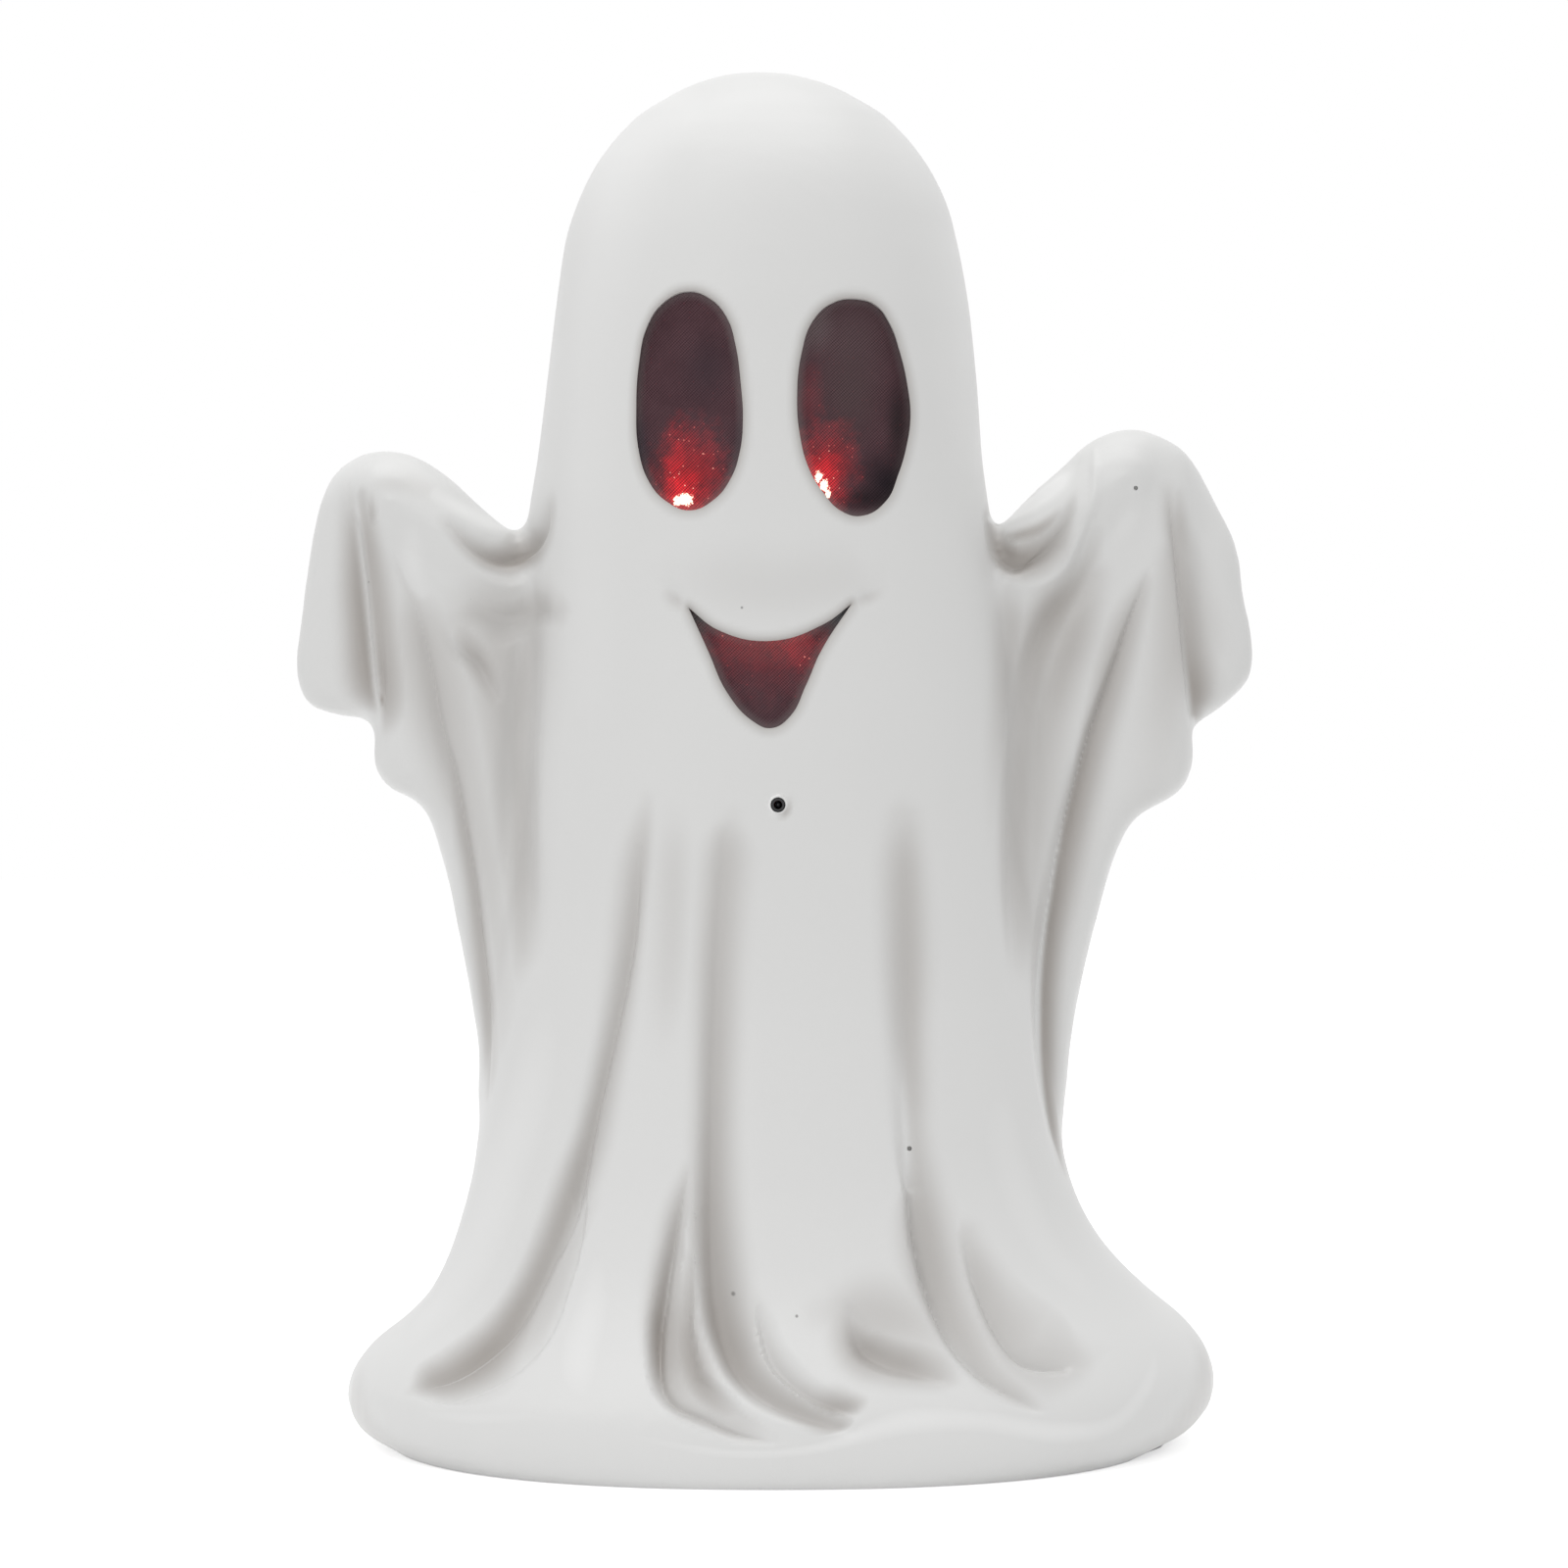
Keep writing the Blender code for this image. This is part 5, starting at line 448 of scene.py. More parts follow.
# Folds of the back, by across and height in millimetres as seen from the front, otherwise as above
BACK_FOLDS = {
    ("soft", "soft"): (
        ((-36, 335, 30, 30, 0.6), (-38, 280, 34, 34, 3.0), (-42, 200, 36, 36, 4.0),
         (-52, 110, 40, 40, 5.5), (-66, 50, 44, 44, 5.0), (-78, 22, 30, 30, 0.8)),
        ((34, 330, 30, 30, 0.6), (32, 260, 34, 34, 3.0), (34, 180, 36, 36, 4.0), (46, 100, 40, 40, 5.5),
         (64, 44, 42, 42, 5.0), (76, 20, 30, 30, 0.8)),
        ((-92, 330, 22, 22, 0.6), (-96, 290, 28, 28, 3.0), (-92, 240, 28, 28, 3.0),
         (-84, 190, 20, 20, 0.8)),
        ((96, 335, 22, 22, 0.6), (100, 290, 28, 28, 3.0), (94, 240, 28, 28, 3.0), (86, 190, 20, 20, 0.8)),
    ),
    ("crisp", "hollow"): (
        ((-8, 300, 20, 20, 0.6), (-6, 220, 10, 46, 3.0), (-4, 130, 10, 54, 5.0), (-10, 60, 10, 58, 6.0),
         (-26, 26, 8, 24, 0.8)),
    ),
    ("hollow", "crisp"): (
        ((14, 180, 16, 10, 0.6), (16, 110, 40, 10, 3.6), (20, 56, 48, 10, 5.0), (34, 24, 22, 8, 0.8)),
    ),
    ("soft", "crisp"): (
        ((-140, 320, 16, 8, 0.6), (-138, 290, 26, 8, 2.6), (-134, 262, 20, 8, 0.8)),
    ),
    ("crisp", "soft"): (
        ((148, 318, 8, 16, 0.6), (146, 290, 8, 26, 2.6), (142, 264, 8, 20, 0.8)),
    ),
}
# Painted shade of the back's folds by their depth, and the strengths at which painted shade and painted
# light are full
BACK_PAINTED_SHADE = 0.12
FULL_PAINTED_SHADE = 1.2
FULL_PAINTED_LIGHT = -1.6
FOLD_FADE_HEIGHT = 0.003
FOLD_FULL_HEIGHT = 0.012
FOLD_FACING = (0.4, 2.0)
# Painted light on the lower body, where light from the floor falls: the height where it starts, the height
# where it is full, and its share
PAINTED_LIGHT_HEIGHTS = (0.21, 0.05)
PAINTED_LIGHT_SHARE = 0.34
# Painted shade round each opening of the face: its strength at the edge and how far out it reaches
RIM_PAINTED_SHADE = 0.85
RIM_PAINTED_SHADE_REACH = 0.0042
MM = 0.001

# Marks on the shell, by points of the photograph: across, down, radius in metres
PINHOLES = ((1159, 498, 0.0008), (928, 1172, 0.00085))
PINHOLE_DEPTH = 0.0022
SENSOR_LIP_RADIUS = 0.0030
SENSOR_LIP_THICKNESS = 0.0006
SPECKS = (
    (484, 613, 0.0006), (379, 595, 0.0006), (748, 1322, 0.0010), (813, 1343, 0.0007), (757, 620, 0.0006),
)
SPECK_FLATNESS = 0.03

# Light of the lamps behind the cloth, painted as the cloth's own glow, by points of the photograph: across,
# down, half width and half height in millimetres, strength
LAMP_GLOWS = (
    (704, 484, 17, 25, 0.34), (688, 474, 5, 18, 0.24), (695, 503, 10, 11, 0.5), (844, 476, 15, 22, 0.28),
    (828, 405, 6, 18, 0.06), (838, 488, 9, 13, 0.5), (787, 668, 30, 22, 0.07), (816, 662, 13, 10, 0.16),
    (760, 655, 26, 12, 0.09),
)
LAMP_CORES = (
    (693, 510, 2.8, 3.0), (701, 509, 2.8, 3.2), (836, 485, 2.0, 2.6), (841, 494, 2.2, 3.0),
    (845, 503, 1.6, 2.2),
)
# Spots on the cloth, in the same units, with their share and colour: painted shade in the dark corners and
# along the edges of the eyes, painted light in the corners of the mouth, and other tones of the cloth
CLOTH_SHADE_LIGHT_AND_TONE_SPOTS = (
    (700, 486, 15, 16, 0.6, (0.034, 0.012, 0.014)), (846, 474, 12, 13, 0.5, (0.034, 0.012, 0.014)),
    (722, 375, 14, 18, 0.5, (0.040, 0.030, 0.038)), (868, 345, 22, 26, 0.8, (0.100, 0.064, 0.070)),
    (832, 330, 9, 14, 0.7, (0.150, 0.115, 0.120)), (868, 405, 16, 24, 0.6, (0.082, 0.058, 0.060)),
    (905, 492, 15, 17, 0.9, (0.014, 0.011, 0.015)), (916, 430, 6, 22, 0.8, (0.024, 0.018, 0.020)),
    (884, 508, 14, 6, 0.8, (0.018, 0.012, 0.015)), (652, 455, 5, 18, 0.6, (0.050, 0.044, 0.058)),
    (756, 455, 5, 20, 0.5, (0.048, 0.034, 0.044)), (860, 630, 9, 7, 0.9, (0.150, 0.155, 0.160)),
    (712, 634, 6, 6, 0.8, (0.110, 0.105, 0.105)), (785, 662, 26, 8, 0.6, (0.100, 0.075, 0.080)),
)
WEAVE_PITCH = 0.0010
TWILL_PITCH = 0.0014
TWILL_SHARE = 0.35
SPARKLE_PITCH = 0.0017
CORE_STRENGTH = 1.6
SPARKLE_STRENGTH = 0.7

# Finishes inside: where a cell's wrap stops before its ends and where it is crimped, the ribs of the
# speaker's paper, and how far the drawn lines of the steel are pulled out
WRAP_EDGES = (0.0016, 0.0014)
CRIMP_INSET = 0.004
CRIMP_WIDTHS = (0.0004, 0.0002)
RIB_PITCH = 0.0015
DRAWN_STRETCH = (1.0, 1.0, 0.08)

# The stage. Each light: place, point it aims at, width in metres and power in watts
FLOOR_SIZE = 6.0
FLOOR_GLOW = 0.60
WORLD_STRENGTH = 0.634
LIGHTS = {
    "key": ((-0.9, -1.5, 1.5), (0, 0, 0.28), 1.6, 5.2),
    "overhead": ((0.0, -0.1, 2.2), (0, 0, 0.1), 2.0, 12.6),
}

# Colours, as linear shares of full
SHELL_COLOUR = (0.800, 0.800, 0.792)
# Painted light of the shell
PAINTED_LIGHT_COLOUR = (0.920, 0.920, 0.914)
# Painted shade of the shell
PAINTED_SHADE_COLOUR = (0.400, 0.372, 0.348)
SPECK_COLOUR = (0.150, 0.140, 0.135)
CLOTH_DARK = (0.042, 0.018, 0.024)
CLOTH_LIGHT = (0.150, 0.080, 0.092)
# Painted light along the inside of each opening, where the wall's cut edge shows
CLOTH_EDGE_PAINTED_LIGHT = (0.170, 0.130, 0.135)
GLOW_COLOUR = (1.0, 0.010, 0.018)
HOT_COLOUR = (1.0, 0.86, 0.66)
BLACK_COLOUR = (0.018, 0.018, 0.020)
WHITE_COLOUR = (0.780, 0.780, 0.765)
RUBBER_COLOUR = (0.050, 0.050, 0.050)
STEEL_COLOUR = (0.560, 0.560, 0.550)
BOARD_COLOUR = (0.012, 0.130, 0.050)
TRACE_COLOUR = (0.030, 0.220, 0.090)
WRAP_COLOUR = (0.070, 0.090, 0.110)
PAPER_COLOUR = (0.050, 0.048, 0.046)
LEAD_COLOUR = (0.480, 0.020, 0.022)
LENS_COLOUR = (0.008, 0.008, 0.010)
LAMP_COLOUR = (0.750, 0.015, 0.025)


def new_material(name):
    made = bpy.data.materials.new(name)
    made.use_nodes = True
    return made, made.node_tree, made.node_tree.nodes["Principled BSDF"]


def node(tree, kind, inputs=(), **settings):
    """A shader node with its settings and its inputs, each a value or another node's output."""
    made = tree.nodes.new(kind)
    for key, value in settings.items():
        setattr(made, key, value)
    for key, value in dict(inputs).items():
        feed(tree, made, key, value)
    return made


def feed(tree, target, key, value):
    if isinstance(value, bpy.types.NodeSocket):
        tree.links.new(value, target.inputs[key])
    else:
        target.inputs[key].default_value = value


def maths(tree, operation, first, second=0.0):
    return node(tree, "ShaderNodeMath", {0: first, 1: second}, operation=operation).outputs[0]


def times(tree, first, second):
    return maths(tree, "MULTIPLY", first, second)


def blended(tree, share, first, second):
    """Colour first to second by share."""
    made = node(tree, "ShaderNodeMix", data_type="RGBA", blend_type="MIX", clamp_factor=True)
    feed(tree, made, 0, share)
    feed(tree, made, 6, first if isinstance(first, bpy.types.NodeSocket) else (*first, 1.0))
    feed(tree, made, 7, second if isinstance(second, bpy.types.NodeSocket) else (*second, 1.0))
    return made.outputs[2]


def dimmed(colour, share):
    return [channel * share for channel in colour]


def seen_rays(tree):
    """1 for rays that show the stage itself, straight, mirrored or through something clear, and else 0."""
    path = node(tree, "ShaderNodeLightPath").outputs
    seen = maths(tree, "MAXIMUM", path["Is Camera Ray"], path["Is Glossy Ray"])
    return maths(tree, "MAXIMUM", seen, path["Is Transmission Ray"])


def ranged(tree, value, low, high, start=0.0, end=1.0, way="LINEAR"):
    """The value's way from low to high, turned into one from start to end, and held within them."""
    inputs = {"Value": value, "From Min": low, "From Max": high, "To Min": start, "To Max": end}
    return node(tree, "ShaderNodeMapRange", inputs, clamp=True, interpolation_type=way).outputs[0]


def places(tree):
    return node(tree, "ShaderNodeTexCoord").outputs["Object"]


def noise(tree, scale, detail, roughness, vector):
    inputs = {"Scale": scale, "Detail": detail, "Roughness": roughness, "Vector": vector}
    return node(tree, "ShaderNodeTexNoise", inputs).outputs["Fac"]


def bump(tree, height, distance, strength, normal=None):
    inputs = {"Height": height, "Distance": distance, "Strength": strength}
    made = node(tree, "ShaderNodeBump", inputs)
    if normal:
        feed(tree, made, "Normal", normal)
    return made.outputs[0]


def away_from(tree, vector, point, squash):
    """Distance from a point, with each axis stretched."""
    less = node(tree, "ShaderNodeVectorMath", {0: vector, 1: point}, operation="SUBTRACT").outputs[0]
    scaled = node(tree, "ShaderNodeVectorMath", {0: less, 1: squash}, operation="MULTIPLY").outputs[0]
    return node(tree, "ShaderNodeVectorMath", {0: scaled}, operation="LENGTH").outputs["Value"]


def mesh_arrays(mesh):
    """Points and triangles of a mesh."""
    mesh.calc_loop_triangles()
    points = np.empty(len(mesh.vertices) * 3)
    mesh.vertices.foreach_get("co", points)
    faces = np.empty(len(mesh.loop_triangles) * 3, int)
    mesh.loop_triangles.foreach_get("vertices", faces)
    return points.reshape(-1, 3), faces.reshape(-1, 3)


def point_normals(mesh):
    normals = np.empty(len(mesh.vertices) * 3)
    mesh.vertex_normals.foreach_get("vector", normals)
    return normals.reshape(-1, 3)


def move_points(mesh, points):
    mesh.vertices.foreach_set("co", np.ascontiguousarray(points, np.float32).ravel())
    mesh.update()


def add_layer(mesh, name, values):
    """Gives each point of a mesh a value that its material reads."""
    layer = mesh.attributes.new(name, "FLOAT", "POINT")
    layer.data.foreach_set("value", values.astype(np.float32))


def held(data, name=None):
    """An object of the scene that holds a mesh, a curve, a light or a camera."""
    made = bpy.data.objects.new(name or data.name, data)
    bpy.context.scene.collection.objects.link(made)
    return made


def released(holder, name):
    """The holder's mesh with its modifiers applied. The holder goes."""
    bpy.context.view_layer.update()
    graph = bpy.context.evaluated_depsgraph_get()
    mesh = bpy.data.meshes.new_from_object(holder.evaluated_get(graph))
    mesh.name = name
    mesh.transform(holder.matrix_world)
    bpy.data.objects.remove(holder)
    return mesh


def modify(target, kind, **settings):
    modifier = target.modifiers.new(kind.title(), kind)
    for key, value in settings.items():
        setattr(modifier, key, value)
    return modifier


def relax(holder, rounds):
    modify(holder, "SMOOTH", factor=RELAXATION, iterations=rounds)


def coat(mesh, material, sharp_degrees):
    """Smooth shading up to an angle between faces, and one material."""
    mesh.shade_smooth()
    mesh.set_sharp_from_angle(angle=math.radians(sharp_degrees))
    mesh.materials.clear()
    mesh.materials.append(material)


def from_form(form, name):
    bmesh.ops.recalc_face_normals(form, faces=form.faces)
    mesh = bpy.data.meshes.new(name)
    form.to_mesh(mesh)
    form.free()
    return mesh


def combined(target, cutter, operation):
    """A mesh and another, cut away, joined or crossed."""
    holder, other = held(target), held(cutter)
    modify(holder, "BOOLEAN", operation=operation, object=other, solver="MANIFOLD")
    mesh = released(holder, target.name)
    bpy.data.objects.remove(other)
    return mesh


def united(meshes):
    """One closed mesh of several that may overlap."""
    whole = meshes[0]
    for mesh in meshes[1:]:
        whole = combined(whole, mesh, "UNION")
    return whole


def joined(meshes, name):
    """One mesh that holds all of these, still overlapping."""
    form = bmesh.new()
    for mesh in meshes:
        form.from_mesh(mesh)
    return from_form(form, name)


def cylinder(name, radius, low, high):
    """An upright cylinder between two heights on the z axis."""
    form = bmesh.new()
    ends = {"radius1": radius, "radius2": radius, "depth": high - low}
    bmesh.ops.create_cone(form, cap_ends=True, segments=ROUND_SIDES, **ends)
    bmesh.ops.translate(form, verts=form.verts, vec=(0, 0, (low + high) / 2))
    return from_form(form, name)


def upright(name, radius, place, low, high):
    mesh = cylinder(name, radius, low, high)
    mesh.transform(Matrix.Translation((place[0], place[1], 0)))
    return mesh


def along_y(name, radius, x, z, front, back):
    """A cylinder that runs from front to back."""
    mesh = cylinder(name, radius, front, back)
    points, _ = mesh_arrays(mesh)
    move_points(mesh, np.column_stack([points[:, 0] + x, points[:, 2], z - points[:, 1]]))
    return mesh


def outline_mesh(name, outline, low, high, rounded=False, corners=(), edge=0.0, growth=0.0):
    """A flat outline in x and y, filled and extruded between two heights."""
    curve = bpy.data.curves.new(name, "CURVE")
    curve.dimensions = "2D"
    curve.fill_mode = "BOTH"
    curve.extrude = (high - low) / 2 - edge
    curve.bevel_depth = edge
    curve.offset = growth - edge
    curve.bevel_resolution = 3
    curve.resolution_u = 12 if rounded else 1
    if rounded:
        spline = curve.splines.new("BEZIER")
        spline.bezier_points.add(len(outline) - 1)
        for index, (point, place) in enumerate(zip(spline.bezier_points, outline)):
            point.co = (*place, 0)
            handle = "VECTOR" if index in corners else "AUTO"
            point.handle_left_type = handle
            point.handle_right_type = handle
    else:
        spline = curve.splines.new("POLY")
        spline.points.add(len(outline) - 1)
        for point, place in zip(spline.points, outline):
            point.co = (*place, 0, 1)
    spline.use_cyclic_u = True
    holder = held(curve)
    holder.location.z = (low + high) / 2
    mesh = released(holder, name)
    form = bmesh.new()
    form.from_mesh(mesh)
    bpy.data.meshes.remove(mesh)
    bmesh.ops.remove_doubles(form, verts=form.verts, dist=WELD)
    return from_form(form, name)


def stand_up(mesh, y):
    """Turns a mesh drawn in x and y into one in x and z, about the plane y."""
    points, _ = mesh_arrays(mesh)
    move_points(mesh, np.column_stack([points[:, 0], y - points[:, 2], points[:, 1]]))
    return mesh


def smooth_route(route, step):
    """Points at even steps along a smooth curve through the route's own points."""
    ends = np.array(route, float)
    known = np.concatenate([[2 * ends[0] - ends[1]], ends, [2 * ends[-1] - ends[-2]]])
    fine = []
    for a, b, c, d in zip(known, known[1:], known[2:], known[3:]):
        count = max(2, math.ceil(np.linalg.norm((c - b)[:3]) / step))
        for t in np.arange(count) / count:
            fine.append(b + 0.5 * t * (c - a + t * (2 * a - 5 * b + 4 * c - d + t * (3 * (b - c) + d - a))))
    return [*fine, ends[-1]]


def superellipse(half_left, half_right, half_depth, squareness, count):
    """Points of a ring about its own middle, seen from above."""
    middle = (half_right - half_left) / 2
    half = (half_right + half_left) / 2
    angles = np.arange(count) * 2 * math.pi / count
    power = 2 / squareness
    x = middle + half * np.sign(np.cos(angles)) * np.abs(np.cos(angles)) ** power
    y = half_depth * np.sign(np.sin(angles)) * np.abs(np.sin(angles)) ** power
    return np.column_stack([x, y])


def body_rows():
    """Height, left, right and depth of each row of the body, in metres."""
    skirt = np.array(SKIRT_SHARES) * (HEIGHT, BASE_WIDTH, BASE_WIDTH, BASE_DEPTH)
    head = np.array(HEAD_SHARES) * (HEIGHT, HEAD_WIDTH, HEAD_WIDTH, HEAD_DEPTH)
    return np.concatenate([skirt, head])


def body_at(height):
    rows = body_rows()
    left, right, depth = (np.interp(height, rows[:, 0], rows[:, column]) for column in (1, 2, 3))
    squareness = np.interp(height / HEIGHT, (0, 0.5), (HEM_SQUARENESS, HEAD_SQUARENESS))
    return left, right, depth, squareness


def front_at(x, height):
    """The y of the body's front surface."""
    left, right, depth, squareness = body_at(height)
    across = min(abs(x - (right - left) / 2) / ((right + left) / 2), 1.0)
    return -depth * (1 - across**squareness) ** (1 / squareness)


def hem_outline(inset):
    """The widest line of the hem, drawn in by an inset."""
    rows = body_rows()
    _, left, right, depth = rows[np.argmax(rows[:, 1])]
    return superellipse(left - inset, right - inset, depth - inset, HEM_SQUARENESS, PLATE_CORNER_POINTS)


def body_mesh():
    """The sheeted body without its arms, lofted through rings."""
    rows = body_rows()
    heights = np.unique(np.concatenate([np.arange(rows[0, 0], rows[-1, 0], RING_STEP), rows[:, 0]]))
    rings = []
    for height in heights:
        left, right, depth, squareness = body_at(height)
        ring = superellipse(left, right, depth, squareness, RING_POINTS)
        rings.append(np.column_stack([ring, np.full(RING_POINTS, height)]))
    last = len(rings) * RING_POINTS
    middle = rings[-1].mean(axis=0)
    points = np.concatenate([*rings, [(middle[0], middle[1], HEIGHT)]])
    faces = [tuple(range(RING_POINTS))[::-1]]
    for ring in range(len(rings) - 1):
        for k in range(RING_POINTS):
            after = (k + 1) % RING_POINTS
            low, high = ring * RING_POINTS, (ring + 1) * RING_POINTS
            faces.append((low + k, low + after, high + after, high + k))
    top = last - RING_POINTS
    faces += [(top + k, top + (k + 1) % RING_POINTS, last) for k in range(RING_POINTS)]
    mesh = bpy.data.meshes.new("body_form")
    mesh.from_pydata(points.tolist(), [], faces)
    return mesh


def remeshed(mesh, voxel, rounds=0):
    """The mesh made anew from voxels, which joins what overlaps, then smoothed."""
    holder = held(mesh)
    modify(holder, "REMESH", mode="VOXEL", voxel_size=voxel)
    if rounds:
        relax(holder, rounds)
    return released(holder, mesh.name)


def drape_mesh(name, outline_shares):
    """The cloth that hangs from one arm: a slab with round edges, its outer lobe set back."""
    outline = [(x * ARMS_WIDTH, z * HEIGHT) for x, z in outline_shares]
    half = DRAPE_THICKNESS / 2
    growth = SMOOTHING_ALLOWANCE
    slab = outline_mesh(name, outline, -half, half, rounded=True, edge=DRAPE_EDGE, growth=growth)
    mesh = remeshed(stand_up(slab, DRAPE_SET_BACK), VOXEL)
    points, _ = mesh_arrays(mesh)
    out = np.clip((np.abs(points[:, 0]) / ARMS_WIDTH - DRAPE_ROOT_SHARE) / (0.5 - DRAPE_ROOT_SHARE), 0, 1)
    points[:, 1] = DRAPE_SET_BACK + (points[:, 1] - DRAPE_SET_BACK) * (1 + DRAPE_ROOT_SWELL * (1 - out))
    past = np.clip((np.abs(points[:, 0]) - LOBE_CREASE_SHARE * ARMS_WIDTH) / LOBE_CREASE_WIDTH, 0, 1)
    points[:, 1] += LOBE_SET_BACK * past * past * (3 - 2 * past)
    move_points(mesh, points)
    return mesh


def arm_mesh(name, arm_shares):
    """The arm under the drape, with a round hand."""
    points = smooth_route([(x * ARMS_WIDTH, 0.0, z * HEIGHT) for x, z in arm_shares], ARM_RADIUS / 2)
    reach = points[-1] - points[-2]
    reach /= np.linalg.norm(reach)
    angles = np.radians(HAND_ANGLES)
    tips = [points[-1] + reach * ARM_RADIUS * math.sin(a) for a in angles]
    taper = [1.0] * len(points) + [math.cos(a) for a in angles]
    curve = bpy.data.curves.new(name, "CURVE")
    curve.dimensions = "3D"
    curve.bevel_depth = ARM_RADIUS
    curve.use_fill_caps = True
    spline = curve.splines.new("POLY")
    spline.points.add(len(taper) - 1)
    for point, place, radius in zip(spline.points, [*points, *tips], taper):
        point.co = (*place, 1)
        point.radius = radius
    holder = held(curve)
    form = bmesh.new()
    form.from_mesh(released(holder, name))
    bmesh.ops.remove_doubles(form, verts=form.verts, dist=WELD)
    mesh = from_form(form, name)
    places_, _ = mesh_arrays(mesh)
    move_points(mesh, places_ * (1, ARM_DEPTH_RATIO, 1))
    return mesh


def figure_form():
    """The whole sheeted figure as one smooth closed surface, without its folds."""
    forms = [
        body_mesh(),
        drape_mesh("left_drape", LEFT_DRAPE_SHARES),
        drape_mesh("right_drape", RIGHT_DRAPE_SHARES),
        arm_mesh("left_arm", LEFT_ARM_SHARES),
        arm_mesh("right_arm", RIGHT_ARM_SHARES),
    ]
    return remeshed(joined(forms, "figure_form"), VOXEL, SMOOTHING_ROUNDS)


def in_photo(points):
    """Where points show in the photograph, across and down."""
    away = points[:, 1] - CAMERA_PLACE[1]
    across = CENTRE_POINT[0] + FOCAL_POINTS * points[:, 0] / away
    down = CENTRE_POINT[1] - FOCAL_POINTS * (points[:, 2] - CAMERA_PLACE[2]) / away
    return np.column_stack([across, down])


def from_photo(across, down):
    """The x and z of a point of the photograph on the body's front."""
    y = -HEAD_DEPTH / 2
    for _ in range(4):
        away = y - CAMERA_PLACE[1]
        x = (across - CENTRE_POINT[0]) * away / FOCAL_POINTS
        z = CAMERA_PLACE[2] - (down - CENTRE_POINT[1]) * away / FOCAL_POINTS
        y = front_at(x, z)
    return x, y, z


def fold_line(shape):
    return np.array(smooth_route(shape, CURVE_STEP))


def reach_of(spots, line):
    """For each spot: distance from the line, which side it is on, and the line's own values there."""
    nearest = np.full(len(spots), np.inf)
    side = np.zeros(len(spots))
    values = np.zeros((len(spots), 3))
    for start, end in zip(line, line[1:]):
        way = (end - start)[:2]
        offset = spots - start[:2]
        t = np.clip(offset @ way / (way @ way), 0, 1)
        apart = np.hypot(*(offset - t[:, None] * way).T)
        closer = apart < nearest
        nearest[closer] = apart[closer]
        side[closer] = (way[0] * offset[:, 1] - way[1] * offset[:, 0])[closer]
        values[closer] = (start[2:] + t[:, None] * (end - start)[2:])[closer]
    return nearest, side, values


def apart_from(ring, spots):
    """For each spot: distance from a closed ring of points."""
    line = np.column_stack([ring, np.zeros((len(ring), 3))])
    return reach_of(spots, np.concatenate([line, line[:1]]))[0]


def strokes(spots, table):
    """How strong a table's strokes are at each spot, and how near it is to one of their lines."""
    sunk = np.zeros(len(spots))
    raised = np.zeros(len(spots))
    close = np.full(len(spots), np.inf)
    for profiles, shape in [(profiles, shape) for profiles, shapes in table.items() for shape in shapes]:
        line = fold_line(shape)
        margin = np.array(shape)[:, 2:4].max()
        low, high = line[:, :2].min(axis=0) - margin, line[:, :2].max(axis=0) + margin
        chosen = np.flatnonzero(((spots > low) & (spots < high)).all(axis=1))
        apart, side, values = reach_of(spots[chosen], line)
        on_left = side > 0
        share = apart / np.where(on_left, values[:, 0], values[:, 1])
        left, right = (np.interp(share, *np.array(PROFILES[name]).T) for name in profiles)
        strength = values[:, 2] * np.where(on_left, left, right)
        sunk[chosen] = np.maximum(sunk[chosen], strength)
        raised[chosen] = np.minimum(raised[chosen], strength)
        close[chosen] = np.minimum(close[chosen], apart)
    return sunk + raised, close


def spots_of_back(points):
    """Places of the back in the units of BACK_FOLDS."""
    return points[:, [0, 2]] / MM


def facing_shares(normals):
    """How far the folds of the front and those of the back count at each point."""
    start, gain = FOLD_FACING
    return np.clip(start - gain * normals[:, 1], 0, 1), np.clip(start + gain * normals[:, 1], 0, 1)


def fold_fields(points, normals):
    """Depth of the folds at each point, and nearness to a line that needs a finer mesh."""
    front, close = strokes(in_photo(points), FRONT_FOLDS)
    back, _ = strokes(spots_of_back(points), BACK_FOLDS)
    facing, behind = facing_shares(normals)
    above = np.clip((points[:, 2] - FOLD_FADE_HEIGHT) / (FOLD_FULL_HEIGHT - FOLD_FADE_HEIGHT), 0, 1)
    close[normals[:, 1] > FOLD_FACING[0] / FOLD_FACING[1]] = np.inf
    return MM * (front * facing + back * behind) * above, close


def face_outline(name, margin=0.0):
    shares, size, place_shares, corners = FACE_OPENINGS[name]
    x, z = place_shares[0] * HEAD_WIDTH, place_shares[1] * HEIGHT
    half_width, half_height = size[0] / 2 + margin, size[1] / 2 + margin
    return [(x + a * half_width, z + b * half_height) for a, b in shares], corners


def face_edge(name, margin=0.0):
    """The smooth outline of an opening as a ring of points in x and z."""
    outline, corners = face_outline(name, margin)
    mesh = outline_mesh(f"{name}_edge", outline, 0, WALL, rounded=True, corners=corners)
    form = bmesh.new()
    form.from_mesh(mesh)
    top = [edge for edge in form.edges if all(v.co.z > WALL / 2 for v in edge.verts)]
    sides = {face for face in form.faces if min(v.co.z for v in face.verts) < WALL / 2}
    rim = [edge for edge in top if any(face in sides for face in edge.link_faces)]
    neighbours = {}
    for edge in rim:
        first, second = edge.verts
        neighbours.setdefault(first, []).append(second)
        neighbours.setdefault(second, []).append(first)
    ring = [rim[0].verts[0]]
    before = None
    while True:
        after = [v for v in neighbours[ring[-1]] if v is not before][0]
        if after is ring[0]:
            break
        before = ring[-1]
        ring.append(after)
    points = np.array([(v.co.x, v.co.y) for v in ring])
    form.free()
    bpy.data.meshes.remove(mesh)
    return points


